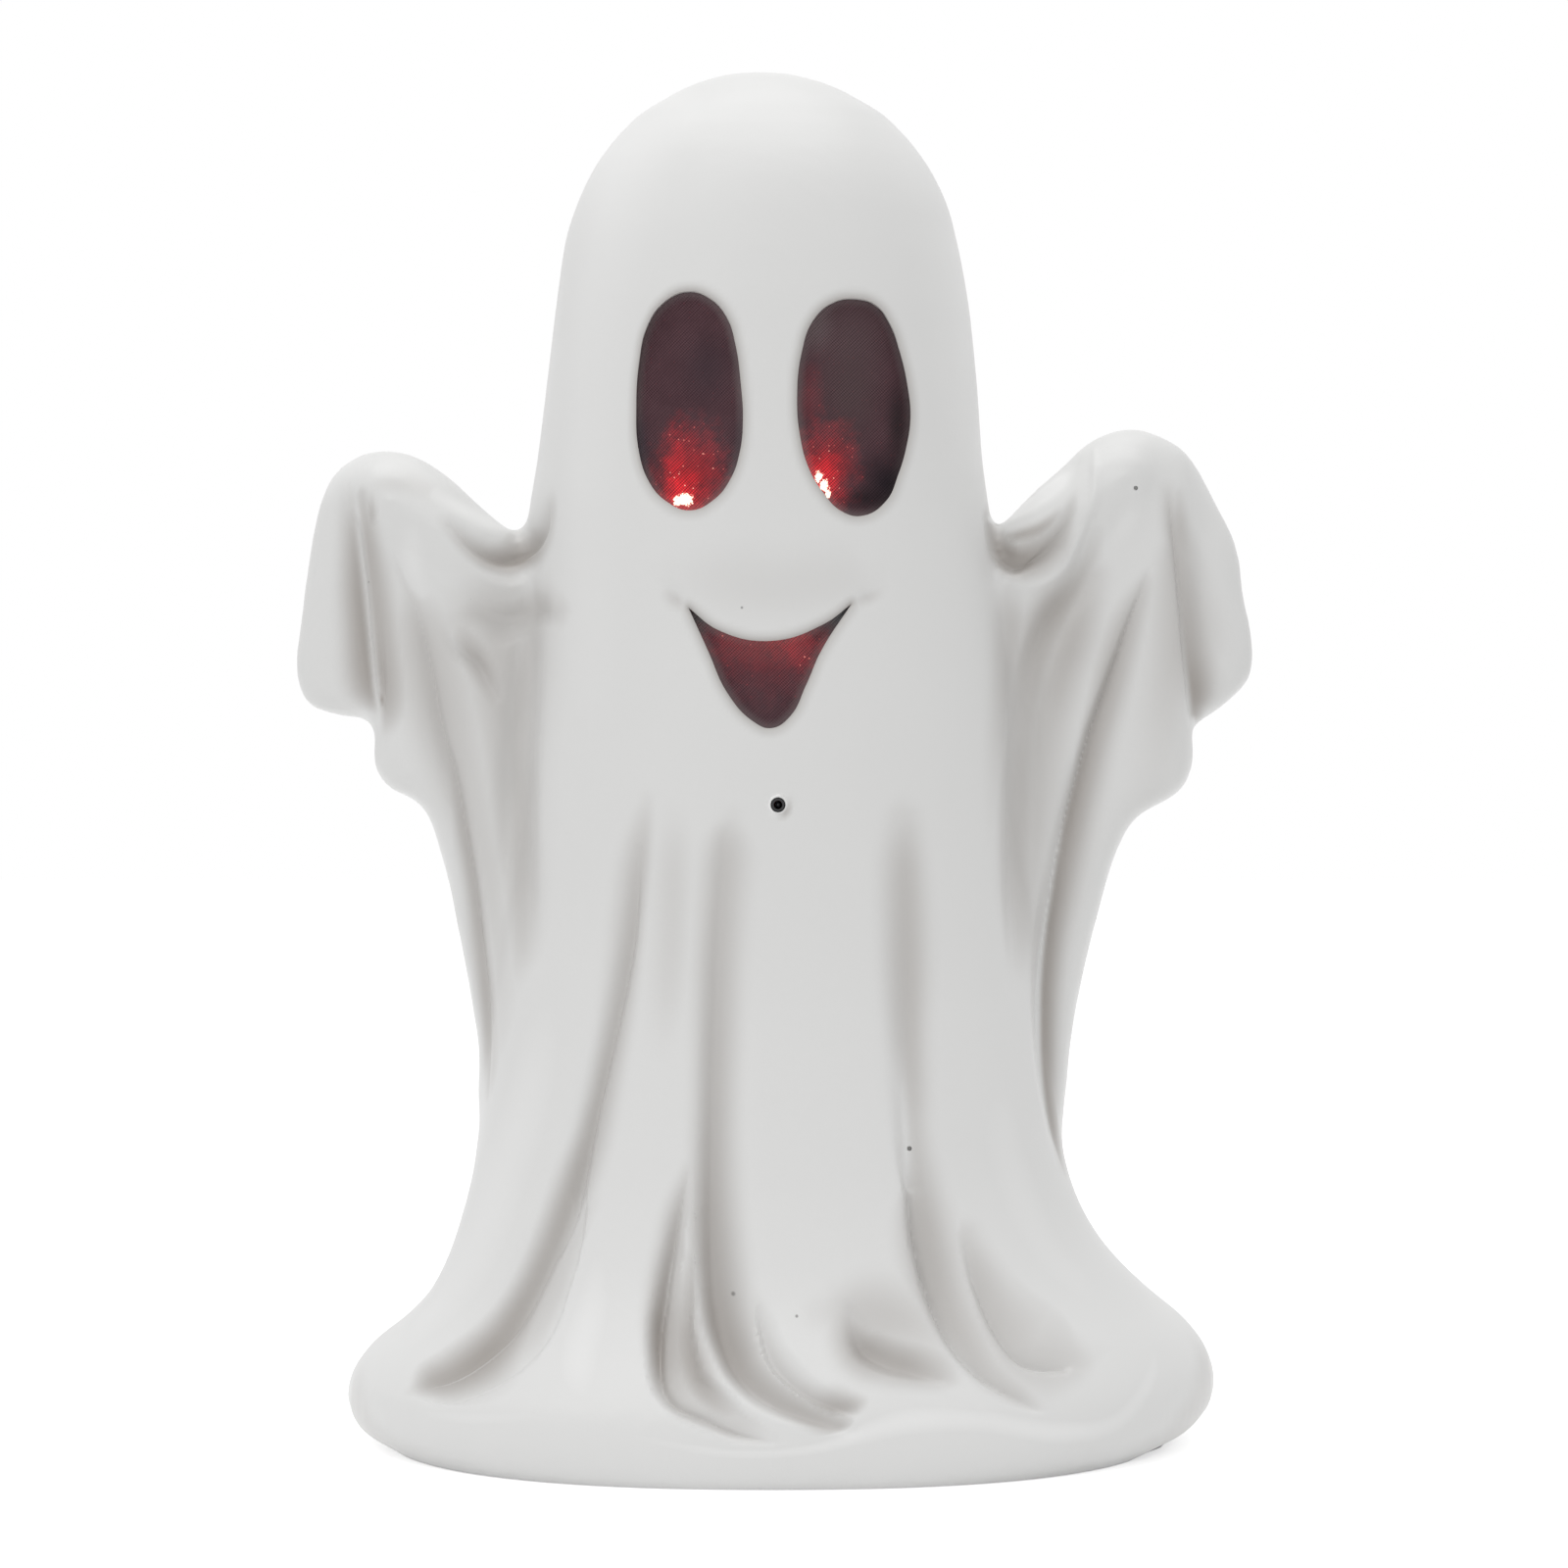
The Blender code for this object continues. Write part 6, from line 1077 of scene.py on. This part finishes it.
def rim_depths(points, normals):
    """How far the wall bends in at the edge of each opening of the face, and how near each point is."""
    depth = np.zeros(len(points))
    close = np.full(len(points), np.inf)
    spots = points[:, [0, 2]]
    front = normals[:, 1] < 0
    for name in FACE_OPENINGS:
        ring = face_edge(name)
        low, high = ring.min(axis=0) - RIM_ROUND * 3, ring.max(axis=0) + RIM_ROUND * 3
        chosen = np.flatnonzero(((spots > low) & (spots < high)).all(axis=1) & front)
        apart = apart_from(ring, spots[chosen])
        outside = np.where(inside(ring, spots[chosen]), 0.0, apart)
        depth[chosen] = np.maximum(depth[chosen], RIM_DEPTH * np.clip(1 - outside / RIM_ROUND, 0, 1) ** 2)
        close[chosen] = np.minimum(close[chosen], apart)
    return depth, close


def refined(mesh, chosen):
    """The mesh with the edges among the chosen points cut in two."""
    form = bmesh.new()
    form.from_mesh(mesh)
    edges = [edge for edge in form.edges if all(chosen[v.index] for v in edge.verts)]
    bmesh.ops.subdivide_edges(form, edges=edges, cuts=1, use_grid_fill=True)
    bmesh.ops.triangulate(form, faces=[face for face in form.faces if len(face.verts) > 4])
    return from_form(form, mesh.name)


def folded(mesh, rounds):
    """The mesh with its folds and the rounded edges of its openings."""
    points, _ = mesh_arrays(mesh)
    normals = point_normals(mesh)
    depth, _ = fold_fields(points, normals)
    rim, _ = rim_depths(points, normals)
    move_points(mesh, points - normals * (depth + rim)[:, None])
    if not rounds:
        return mesh
    holder = held(mesh)
    relax(holder, rounds)
    return released(holder, mesh.name)


def outer_surface(form):
    """The fine outside of the figure."""
    holder = held(form.copy())
    modify(holder, "SUBSURF", levels=1, render_levels=1)
    mesh = released(holder, "ghost_shell")
    points, _ = mesh_arrays(mesh)
    normals = point_normals(mesh)
    _, close = fold_fields(points, normals)
    _, near_rim = rim_depths(points, normals)
    mesh = refined(mesh, (close < FINE_REACH) | (near_rim < 2 * RIM_ROUND))
    return folded(mesh, FINE_ROUNDS)


def inner_surface(form):
    """The inside of the wall, which follows the folds."""
    mesh = folded(form.copy(), INNER_ROUNDS)
    points, _ = mesh_arrays(mesh)
    move_points(mesh, points - point_normals(mesh) * WALL)
    return remeshed(mesh, VOXEL, INNER_ROUNDS)


def block(name, low, high):
    form = bmesh.new()
    bmesh.ops.create_cube(form, size=1.0)
    low, high = np.array(low), np.array(high)
    for vertex in form.verts:
        vertex.co = (low + high) / 2 + np.array(vertex.co) * (high - low)
    return from_form(form, name)


def below(height):
    reach = HEIGHT
    return block("below", (-reach, -reach, -reach), (reach, reach, height))


def middle_of(name):
    low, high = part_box(name)
    return (low + high) / 2


def shell_bosses(surface):
    """Posts for the base screws, for the lamp bracket and behind the sensor, and the lip before it."""
    bosses = []
    for screw in BASE_SCREWS:
        place = middle_of(screw)
        bosses.append(upright("boss", BOSS_RADIUS, place, LEDGE_BOTTOM, LEDGE_BOTTOM + BOSS_HEIGHT))
    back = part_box("lamp_bracket")[0].y - FIT
    for screw in BRACKET_SCREWS:
        place = middle_of(screw)
        front = front_at(place.x, place.z) + WALL / 2
        bosses.append(along_y("bracket_boss", BRACKET_BOSS_RADIUS, place.x, place.z, front, back))
    place = middle_of("sensor_sleeve")
    front = front_at(place.x, place.z) + WALL / 2
    back = front_at(place.x, place.z) + WALL + SENSOR_BOSS_HEIGHT
    bosses.append(along_y("sensor_boss", SENSOR_BOSS_RADIUS, place.x, place.z, front, back))
    skin = surface.ray_cast((place.x, IN_FRONT, place.z), (0, 1, 0))[0].y
    bosses.append(lip_ring("sensor_lip", place, skin))
    return bosses


def lip_ring(name, place, front):
    """A low round lip about the sensor's hole, half sunk in the wall."""
    form = bmesh.new()
    sides, turns = 10, 48
    rings = []
    for turn in np.arange(turns) * math.tau / turns:
        ring = []
        for side in np.arange(sides) * math.tau / sides:
            reach = SENSOR_LIP_RADIUS + SENSOR_LIP_THICKNESS * math.cos(side)
            x, z = place.x + reach * math.cos(turn), place.z + reach * math.sin(turn)
            ring.append(form.verts.new((x, front + SENSOR_LIP_THICKNESS * (0.4 + math.sin(side)), z)))
        rings.append(ring)
    for ring, after in zip(rings, rings[1:] + rings[:1]):
        for k in range(sides):
            form.faces.new((ring[k], ring[(k + 1) % sides], after[(k + 1) % sides], after[k]))
    return from_form(form, name)


def seen_at(surface, across, down):
    """The place on a surface that shows at a point of the photograph."""
    way = Vector((across - CENTRE_POINT[0], FOCAL_POINTS, CENTRE_POINT[1] - down)).normalized()
    return surface.ray_cast(Vector(CAMERA_PLACE), way)[0]


def tree_of(mesh):
    points, faces = mesh_arrays(mesh)
    return BVHTree.FromPolygons(points.tolist(), faces.tolist())


def foot_cutters():
    """The opening in the ledge, with its bosses kept, the rebate for the plate and the screws' pilots."""
    low = RIM_HEIGHT - OVERRUN
    high = LEDGE_BOTTOM + LEDGE_THICKNESS + OVERRUN
    opening = outline_mesh("opening", hem_outline(OPENING_INSET), low, high)
    pilots = []
    for screw in BASE_SCREWS:
        place = middle_of(screw)
        keep = upright("keep", BOSS_RADIUS + BOSS_PAD, place, low - OVERRUN, high + OVERRUN)
        opening = combined(opening, keep, "DIFFERENCE")
        pilots.append(upright("pilot", PILOT_RADIUS, place, low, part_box(screw)[1].z + FIT))
    return [opening, outline_mesh("rebate", hem_outline(REBATE_INSET), low, LEDGE_BOTTOM), *pilots]


def shell_cutters(surface):
    """The pinholes, the openings of the face, the foot, and the bores of the bracket and the sensor."""
    cutters = []
    for across, down, radius in PINHOLES:
        place = seen_at(surface, across, down)
        front, back = place.y - OVERRUN, place.y + PINHOLE_DEPTH
        cutters.append(along_y("pinhole", radius, place.x, place.z, front, back))
    for name in FACE_OPENINGS:
        outline, corners = face_outline(name)
        mesh = outline_mesh(f"{name}_cutter", outline, 0, HEAD_DEPTH, rounded=True, corners=corners)
        cutters.append(stand_up(mesh, 0.0))
    cutters += foot_cutters()
    for screw in BRACKET_SCREWS:
        place = middle_of(screw)
        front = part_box(screw)[0].y - FIT
        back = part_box("lamp_bracket")[0].y + OVERRUN
        cutters.append(along_y("small_pilot", SMALL_PILOT_RADIUS, place.x, place.z, front, back))
    place = middle_of("sensor_sleeve")
    front = front_at(place.x, place.z)
    back = front + WALL + SENSOR_BOSS_HEIGHT + OVERRUN
    cutters.append(along_y("sensor_hole", SENSOR_RADIUS + FIT, place.x, place.z, front - WALL, back))
    return cutters


def shell_attributes(mesh):
    """Painted shade and painted light at each point, for the material, partly the figure's own airbrushed
    grey.
    """
    points, _ = mesh_arrays(mesh)
    normals = point_normals(mesh)
    front, _ = strokes(in_photo(points), FRONT_PAINTED_SHADE_AND_LIGHT)
    back, _ = strokes(spots_of_back(points), BACK_FOLDS)
    facing, behind = facing_shares(normals)
    # Painted shade round each opening of the face, where the wall bends in to its edge
    _, near_rim = rim_depths(points, normals)
    rim = RIM_PAINTED_SHADE * np.clip(1 - near_rim / RIM_PAINTED_SHADE_REACH, 0, 1) ** 1.5
    front += np.maximum(rim - np.maximum(front, 0), 0)
    # Painted shade in the back's folds, by their depth
    shade = front * facing + BACK_PAINTED_SHADE * back * behind
    add_layer(mesh, "painted_shade_and_light", shade)


def make_shell(form):
    outer = outer_surface(form)
    inner = inner_surface(form)
    surface = tree_of(outer)
    outer = combined(outer, below(RIM_HEIGHT), "DIFFERENCE")
    hollow = combined(inner, below(LEDGE_BOTTOM + LEDGE_THICKNESS), "DIFFERENCE")
    mesh = combined(outer, hollow, "DIFFERENCE")
    mesh = combined(mesh, united(shell_bosses(surface)), "UNION")
    mesh = combined(mesh, united(shell_cutters(surface)), "DIFFERENCE")
    shell_attributes(mesh)
    coat(mesh, shell_material(), SHARP_DEGREES)
    shell = held(mesh, "moulded_shell")
    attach(shell, "figure")
    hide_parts("ghost_shell")
    return hollow


def inside(ring, spots):
    """Which spots lie inside a ring of points."""
    result = np.zeros(len(spots), bool)
    for start, end in zip(ring, np.roll(ring, -1, axis=0)):
        crosses = (start[1] > spots[:, 1]) != (end[1] > spots[:, 1])
        with np.errstate(divide="ignore", invalid="ignore"):
            at = start[0] + (spots[:, 1] - start[1]) * (end[0] - start[0]) / (end[1] - start[1])
        result ^= crosses & (spots[:, 0] < at)
    return result


def cloth_mesh(name, ring, hollow_tree):
    """A sheet that fills a ring and lies against the inside of the wall."""
    steps = (np.arange(low, high, CLOTH_PITCH) for low, high in zip(ring.min(axis=0), ring.max(axis=0)))
    grid = np.stack(np.meshgrid(*steps), -1).reshape(-1, 2)
    grid = grid[inside(ring, grid)]
    grid = grid[apart_from(ring, grid) > CLOTH_PITCH / 2]
    spots = [Vector(tuple(spot)) for spot in np.concatenate([ring, grid])]
    edges = [(i, (i + 1) % len(ring)) for i in range(len(ring))]
    made = delaunay_2d_cdt(spots, edges, [], 1, WELD)
    points = []
    for vertex in made[0]:
        hit, normal, _, _ = hollow_tree.ray_cast((vertex.x, IN_FRONT, vertex.y), (0, 1, 0))
        points.append(tuple(hit - normal * (FIT + CLOTH_THICKNESS / 2)))
    mesh = bpy.data.meshes.new(name)
    mesh.from_pydata(points, [], made[2])
    holder = held(mesh)
    relax(holder, CLOTH_ROUNDS)
    modify(holder, "SOLIDIFY", thickness=CLOTH_THICKNESS, offset=0.0)
    return released(holder, name)


def cloth_attributes(mesh, opening):
    """How near each point is to the edge of its opening, for the painted light along that edge."""
    points, _ = mesh_arrays(mesh)
    spots = points[:, [0, 2]]
    nearness = np.clip(1 - apart_from(opening, spots) / CLOTH_EDGE_REACH, 0, 1)
    add_layer(mesh, "edge_nearness", np.where(inside(opening, spots), nearness, 1.0))


def make_cloth(name, hollow_tree, material):
    """A sheet of dark cloth stretched behind one opening."""
    ring = face_edge(name, CLOTH_MARGIN)
    mesh = cloth_mesh(f"{name}_window", ring, hollow_tree)
    coat(mesh, material, CLOTH_SHARP_DEGREES)
    cloth_attributes(mesh, face_edge(name))
    piece = held(mesh, f"{name}_window")
    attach(piece, "figure")
    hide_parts(f"{name}_cloth")


def shell_material():
    made, tree, shader = new_material("moulded white plastic")
    here = places(tree)
    shade = node(tree, "ShaderNodeAttribute", attribute_name="painted_shade_and_light").outputs["Fac"]
    cloud = noise(tree, 9.0, 3.0, 0.5, here)
    grain = noise(tree, 900.0, 2.0, 0.6, here)
    uneven = blended(tree, ranged(tree, cloud, 0.35, 0.65), SHELL_COLOUR, dimmed(SHELL_COLOUR, 0.985))
    height = node(tree, "ShaderNodeSeparateXYZ", {0: here}).outputs["Z"]
    # Painted light: paler low down where light from the floor falls on the hem, and where a stroke's
    # strength is negative
    painted_floor_light = ranged(tree, height, *PAINTED_LIGHT_HEIGHTS, 0.0, PAINTED_LIGHT_SHARE)
    pale = maths(tree, "MAXIMUM", painted_floor_light, ranged(tree, shade, 0.0, FULL_PAINTED_LIGHT))
    with_painted_light = blended(tree, pale, uneven, PAINTED_LIGHT_COLOUR)
    # Painted shade of the strokes, the rims of the openings and the back's folds
    colour = blended(tree, ranged(tree, shade, 0.0, FULL_PAINTED_SHADE), with_painted_light, PAINTED_SHADE_COLOUR)
    for across, down, radius in SPECKS:
        x, y, z = from_photo(across, down)
        spot = away_from(tree, here, (x, y, z), (1.0, SPECK_FLATNESS, 1.0))
        colour = blended(tree, ranged(tree, spot, radius, radius * 0.4, 0.0, 0.7), colour, SPECK_COLOUR)
    feed(tree, shader, "Base Color", colour)
    feed(tree, shader, "Roughness", ranged(tree, noise(tree, 40.0, 4.0, 0.6, here), 0.3, 0.7, 0.34, 0.44))
    shader.inputs["Specular IOR Level"].default_value = 0.5
    fine = bump(tree, grain, 0.00006, 0.5)
    feed(tree, shader, "Normal", bump(tree, cloud, 0.0012, 0.5, fine))
    return made


def blob(tree, here, spot, waver=0.0):
    """From 1 at a point of the cloth to 0 at the edge of an ellipse round it."""
    across, down, half_width, half_height = spot[:4]
    stretch = (1 / (half_width * MM), 0.0, 1 / (half_height * MM))
    apart = away_from(tree, here, from_photo(across, down), stretch)
    return ranged(tree, maths(tree, "ADD", apart, waver), 1.0, 0.0, way="SMOOTHSTEP")


def weave_pattern(tree, here):
    """How high the threads stand, from 0 to 1."""
    parts = node(tree, "ShaderNodeSeparateXYZ", {0: here}).outputs
    warp = maths(tree, "SINE", times(tree, parts["X"], math.tau / WEAVE_PITCH))
    weft = maths(tree, "SINE", times(tree, parts["Z"], math.tau / WEAVE_PITCH))
    crossed = ranged(tree, times(tree, warp, weft), -0.8, 0.8)
    across = maths(tree, "SUBTRACT", parts["X"], parts["Z"])
    slanted = maths(tree, "SINE", times(tree, across, math.tau / TWILL_PITCH))
    twill = ranged(tree, slanted, -0.9, 0.9)
    plain = times(tree, crossed, 1 - TWILL_SHARE)
    return maths(tree, "ADD", plain, times(tree, twill, TWILL_SHARE))


def sparkles(tree, here):
    """A few bright points where light comes straight through the weave."""
    cells = node(tree, "ShaderNodeTexVoronoi", {"Scale": 1 / SPARKLE_PITCH, "Vector": here}).outputs
    chance = node(tree, "ShaderNodeSeparateColor", {0: cells["Color"]}).outputs[0]
    picked = ranged(tree, chance, 0.50, 0.72)
    return times(tree, picked, ranged(tree, cells["Distance"], 0.20, 0.10))


def summed(tree, values):
    total = values[0]
    for value in values[1:]:
        total = maths(tree, "ADD", total, value)
    return total


def cloth_material():
    made, tree, shader = new_material("dark woven cloth")
    here = places(tree)
    weave = weave_pattern(tree, here)
    cloud = noise(tree, 90.0, 3.0, 0.6, here)
    colour = blended(tree, weave, CLOTH_DARK, CLOTH_LIGHT)
    colour = blended(tree, ranged(tree, cloud, 0.35, 0.7, 0.0, 0.35), colour, CLOTH_DARK)
    # Painted light along the edge of the opening, where the wall's cut edge shows
    edge = node(tree, "ShaderNodeAttribute", attribute_name="edge_nearness").outputs["Fac"]
    colour = blended(tree, edge, colour, CLOTH_EDGE_PAINTED_LIGHT)
    # Spots of painted shade, painted light and other tones of the cloth
    for spot in CLOTH_SHADE_LIGHT_AND_TONE_SPOTS:
        toned = blended(tree, weave, dimmed(spot[5], 0.45), dimmed(spot[5], 1.6))
        colour = blended(tree, times(tree, blob(tree, here, spot), spot[4]), colour, toned)
    feed(tree, shader, "Base Color", colour)
    shader.inputs["Roughness"].default_value = 0.8
    shader.inputs["Specular IOR Level"].default_value = 0.12
    shader.inputs["Sheen Weight"].default_value = 0.05
    shader.inputs["Sheen Roughness"].default_value = 0.4
    feed(tree, shader, "Normal", bump(tree, weave, 0.0002, 0.6))
    # The lamps' light through the cloth is painted as the cloth's own glow, with hot cores and bright
    # specks
    waver = ranged(tree, noise(tree, 240.0, 3.0, 0.7, here), 0.25, 0.75, -0.25, 0.25)
    fray = ranged(tree, noise(tree, 900.0, 2.0, 0.8, here), 0.3, 0.7, -0.35, 0.35)
    glows = [times(tree, blob(tree, here, spot, waver), spot[4]) for spot in LAMP_GLOWS]
    glow = summed(tree, glows)
    cores = [ranged(tree, blob(tree, here, spot, fray), 0.1, 0.45) for spot in LAMP_CORES]
    core = maths(tree, "MINIMUM", summed(tree, cores), 1.0)
    through = times(tree, sparkles(tree, here), ranged(tree, glow, 0.01, 0.2, 0.04, 1.0))
    lit = times(tree, glow, ranged(tree, weave, 0.0, 1.0, 0.05, 1.45))
    hot = maths(tree, "MAXIMUM", core, times(tree, through, 0.5))
    feed(tree, shader, "Emission Color", blended(tree, hot, GLOW_COLOUR, HOT_COLOUR))
    bright = times(tree, core, CORE_STRENGTH)
    specks = times(tree, through, SPARKLE_STRENGTH)
    feed(tree, shader, "Emission Strength", summed(tree, [lit, bright, specks]))
    return made


def moulded(name, colour, roughness, grain, distance):
    """Moulded plastic or rubber: uneven in colour, with a fine grain and a few rubbed spots."""
    made, tree, shader = new_material(name)
    here = places(tree)
    uneven = ranged(tree, noise(tree, 30.0, 3.0, 0.5, here), 0.35, 0.65)
    rubbed = ranged(tree, noise(tree, 260.0, 4.0, 0.75, here), 0.60, 0.74, 0.0, 0.3)
    fine = noise(tree, grain, 2.0, 0.6, here)
    base = blended(tree, uneven, colour, dimmed(colour, 0.85))
    feed(tree, shader, "Base Color", blended(tree, rubbed, base, [c * 0.9 + 0.035 for c in colour]))
    feed(tree, shader, "Roughness", ranged(tree, fine, 0.3, 0.7, *roughness))
    feed(tree, shader, "Normal", bump(tree, fine, distance, 0.4))
    return made


def steel_material():
    """Plated steel with faint drawn lines."""
    made, tree, shader = new_material("plated steel")
    here = places(tree)
    stretched = {0: here, 1: DRAWN_STRETCH}
    drawn = node(tree, "ShaderNodeVectorMath", stretched, operation="MULTIPLY").outputs[0]
    lines = noise(tree, 2600.0, 3.0, 0.6, drawn)
    dulled = ranged(tree, noise(tree, 180.0, 3.0, 0.6, here), 0.4, 0.7)
    feed(tree, shader, "Base Color", blended(tree, dulled, STEEL_COLOUR, dimmed(STEEL_COLOUR, 0.8)))
    shader.inputs["Metallic"].default_value = 1.0
    feed(tree, shader, "Roughness", ranged(tree, lines, 0.3, 0.7, 0.22, 0.40))
    feed(tree, shader, "Normal", bump(tree, lines, 0.00003, 0.4))
    return made


def board_material():
    """Solder resist over square copper tracks."""
    made, tree, shader = new_material("circuit board resist")
    here = places(tree)
    cells = {"Scale": 260.0, "Vector": here, "Randomness": 0.9}
    apart = node(tree, "ShaderNodeTexVoronoi", cells, distance="CHEBYCHEV").outputs["Distance"]
    rings = maths(tree, "PINGPONG", apart, 0.14)
    track = ranged(tree, rings, 0.08, 0.10)
    glass = ranged(tree, noise(tree, 1500.0, 2.0, 0.5, here), 0.3, 0.7)
    base = blended(tree, track, BOARD_COLOUR, TRACE_COLOUR)
    feed(tree, shader, "Base Color", blended(tree, glass, base, dimmed(BOARD_COLOUR, 0.8)))
    feed(tree, shader, "Roughness", ranged(tree, glass, 0.0, 1.0, 0.28, 0.40))
    feed(tree, shader, "Normal", bump(tree, track, 0.00005, 0.5))
    return made


def cell_material(name):
    """Shrink wrap with bare steel ends and a ring where it is crimped."""
    made, tree, shader = new_material(f"{name} wrap")
    low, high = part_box(name)
    here = places(tree)
    along = node(tree, "ShaderNodeSeparateXYZ", {0: here}).outputs["X"]
    reach = maths(tree, "ABSOLUTE", maths(tree, "SUBTRACT", along, (low.x + high.x) / 2))
    half = (high.x - low.x) / 2
    bare = ranged(tree, reach, half - WRAP_EDGES[0], half - WRAP_EDGES[1])
    from_crimp = maths(tree, "ABSOLUTE", maths(tree, "SUBTRACT", reach, half - CRIMP_INSET))
    ring = ranged(tree, from_crimp, *CRIMP_WIDTHS)
    cloud = ranged(tree, noise(tree, 60.0, 3.0, 0.6, here), 0.35, 0.65)
    wrap = blended(tree, cloud, WRAP_COLOUR, dimmed(WRAP_COLOUR, 0.8))
    feed(tree, shader, "Base Color", blended(tree, bare, wrap, STEEL_COLOUR))
    feed(tree, shader, "Metallic", bare)
    feed(tree, shader, "Roughness", ranged(tree, noise(tree, 500.0, 3.0, 0.6, here), 0.3, 0.7, 0.24, 0.38))
    feed(tree, shader, "Normal", bump(tree, ring, 0.0001, 0.6))
    return made


def paper_material():
    """Pressed paper with ribs round its middle."""
    made, tree, shader = new_material("speaker paper")
    here = places(tree)
    out = away_from(tree, here, tuple(middle_of("speaker_cone")), (1.0, 1.0, 0.0))
    ribs = ranged(tree, maths(tree, "SINE", times(tree, out, math.tau / RIB_PITCH)), -1.0, 1.0)
    fibres = noise(tree, 1100.0, 4.0, 0.7, here)
    feed(tree, shader, "Base Color", blended(tree, fibres, PAPER_COLOUR, dimmed(PAPER_COLOUR, 0.55)))
    feed(tree, shader, "Roughness", ranged(tree, fibres, 0.3, 0.7, 0.7, 0.9))
    feed(tree, shader, "Normal", bump(tree, ribs, 0.00015, 0.5, bump(tree, fibres, 0.00008, 0.4)))
    return made


def polished(name, colour, coat):
    """A clear hard surface with faint handling marks."""
    made, tree, shader = new_material(name)
    here = places(tree)
    marks = noise(tree, 420.0, 4.0, 0.7, here)
    feed(tree, shader, "Base Color", blended(tree, marks, colour, dimmed(colour, 0.7)))
    feed(tree, shader, "Roughness", ranged(tree, marks, 0.3, 0.7, 0.06, 0.16))
    shader.inputs["Coat Weight"].default_value = coat
    return made, shader


def lamp_material():
    made, shader = polished("clear red lamp", LAMP_COLOUR, 0.5)
    shader.inputs["Transmission Weight"].default_value = 0.5
    shader.inputs["Emission Color"].default_value = (*GLOW_COLOUR, 1.0)
    shader.inputs["Emission Strength"].default_value = 1.2
    return made


def finishes():
    """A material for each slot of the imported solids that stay."""
    lens, _ = polished("dark sensor lens", LENS_COLOUR, 1.0)
    return {
        "black_plastic": moulded("black moulded plastic", BLACK_COLOUR, (0.36, 0.52), 1300.0, 0.00006),
        "white_plastic": moulded("white moulded plastic", WHITE_COLOUR, (0.40, 0.55), 1300.0, 0.00005),
        "pad_rubber": moulded("pad rubber", RUBBER_COLOUR, (0.75, 0.92), 700.0, 0.00015),
        "lead_red": moulded("lead insulation", LEAD_COLOUR, (0.34, 0.46), 900.0, 0.00004),
        "clear_red": lamp_material(),
        "dark_lens": lens,
        "steel": steel_material(),
        "board_green": board_material(),
        "speaker_paper": paper_material(),
    }


def dress_nodes():
    """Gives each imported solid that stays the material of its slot."""
    made = finishes()
    for row in frame["record"]["subparts"]:
        name, slot = row["node"], row["material_slot"]
        target = frame["nodes"][name]
        if target.hide_render:
            continue
        target.data.materials.clear()
        target.data.materials.append(cell_material(name) if slot == "cell_wrap" else made[slot])


def make_floor():
    form = bmesh.new()
    bmesh.ops.create_grid(form, x_segments=2, y_segments=2, size=FLOOR_SIZE)
    mesh = from_form(form, "floor")
    floor = held(mesh)
    made, tree, shader = new_material("pale floor")
    shader.inputs["Base Color"].default_value = (0.9, 0.9, 0.9, 1.0)
    shader.inputs["Roughness"].default_value = 0.9
    shader.inputs["Specular IOR Level"].default_value = 0.0
    shader.inputs["Emission Color"].default_value = (1.0, 1.0, 1.0, 1.0)
    feed(tree, shader, "Emission Strength", times(tree, seen_rays(tree), FLOOR_GLOW))
    mesh.materials.append(made)


def make_world():
    world = bpy.data.worlds.new("studio")
    bpy.context.scene.world = world
    world.use_nodes = True
    tree = world.node_tree
    shader = tree.nodes["Background"]
    shader.inputs["Color"].default_value = (1.0, 1.0, 1.0, 1.0)
    feed(tree, shader, "Strength", ranged(tree, seen_rays(tree), 0.0, 1.0, WORLD_STRENGTH, 1.0))


def area_light(name, place, aim, size, energy):
    data = bpy.data.lights.new(name, "AREA")
    data.shape = "DISK"
    data.size = size
    data.energy = energy
    made = held(data)
    made.location = place
    made.rotation_euler = (Vector(aim) - Vector(place)).to_track_quat("-Z", "Y").to_euler()


def make_camera():
    data = bpy.data.cameras.new("photo")
    data.sensor_width = SENSOR_WIDTH
    data.lens = FOCAL_POINTS / PHOTO_SIZE * SENSOR_WIDTH
    data.shift_x = (PHOTO_SIZE / 2 - CENTRE_POINT[0]) / PHOTO_SIZE
    data.shift_y = (CENTRE_POINT[1] - PHOTO_SIZE / 2) / PHOTO_SIZE
    made = held(data)
    made.location = CAMERA_PLACE
    made.rotation_euler = (math.pi / 2, 0, 0)
    bpy.context.scene.camera = made


def main():
    make_camera()
    form = figure_form()
    hollow = make_shell(form)
    surface = tree_of(hollow)
    material = cloth_material()
    for name in FACE_OPENINGS:
        make_cloth(name, surface, material)
    dress_nodes()
    make_floor()
    make_world()
    for name, settings in LIGHTS.items():
        area_light(name, *settings)
    bpy.context.scene.view_settings.view_transform = "Standard"


main()
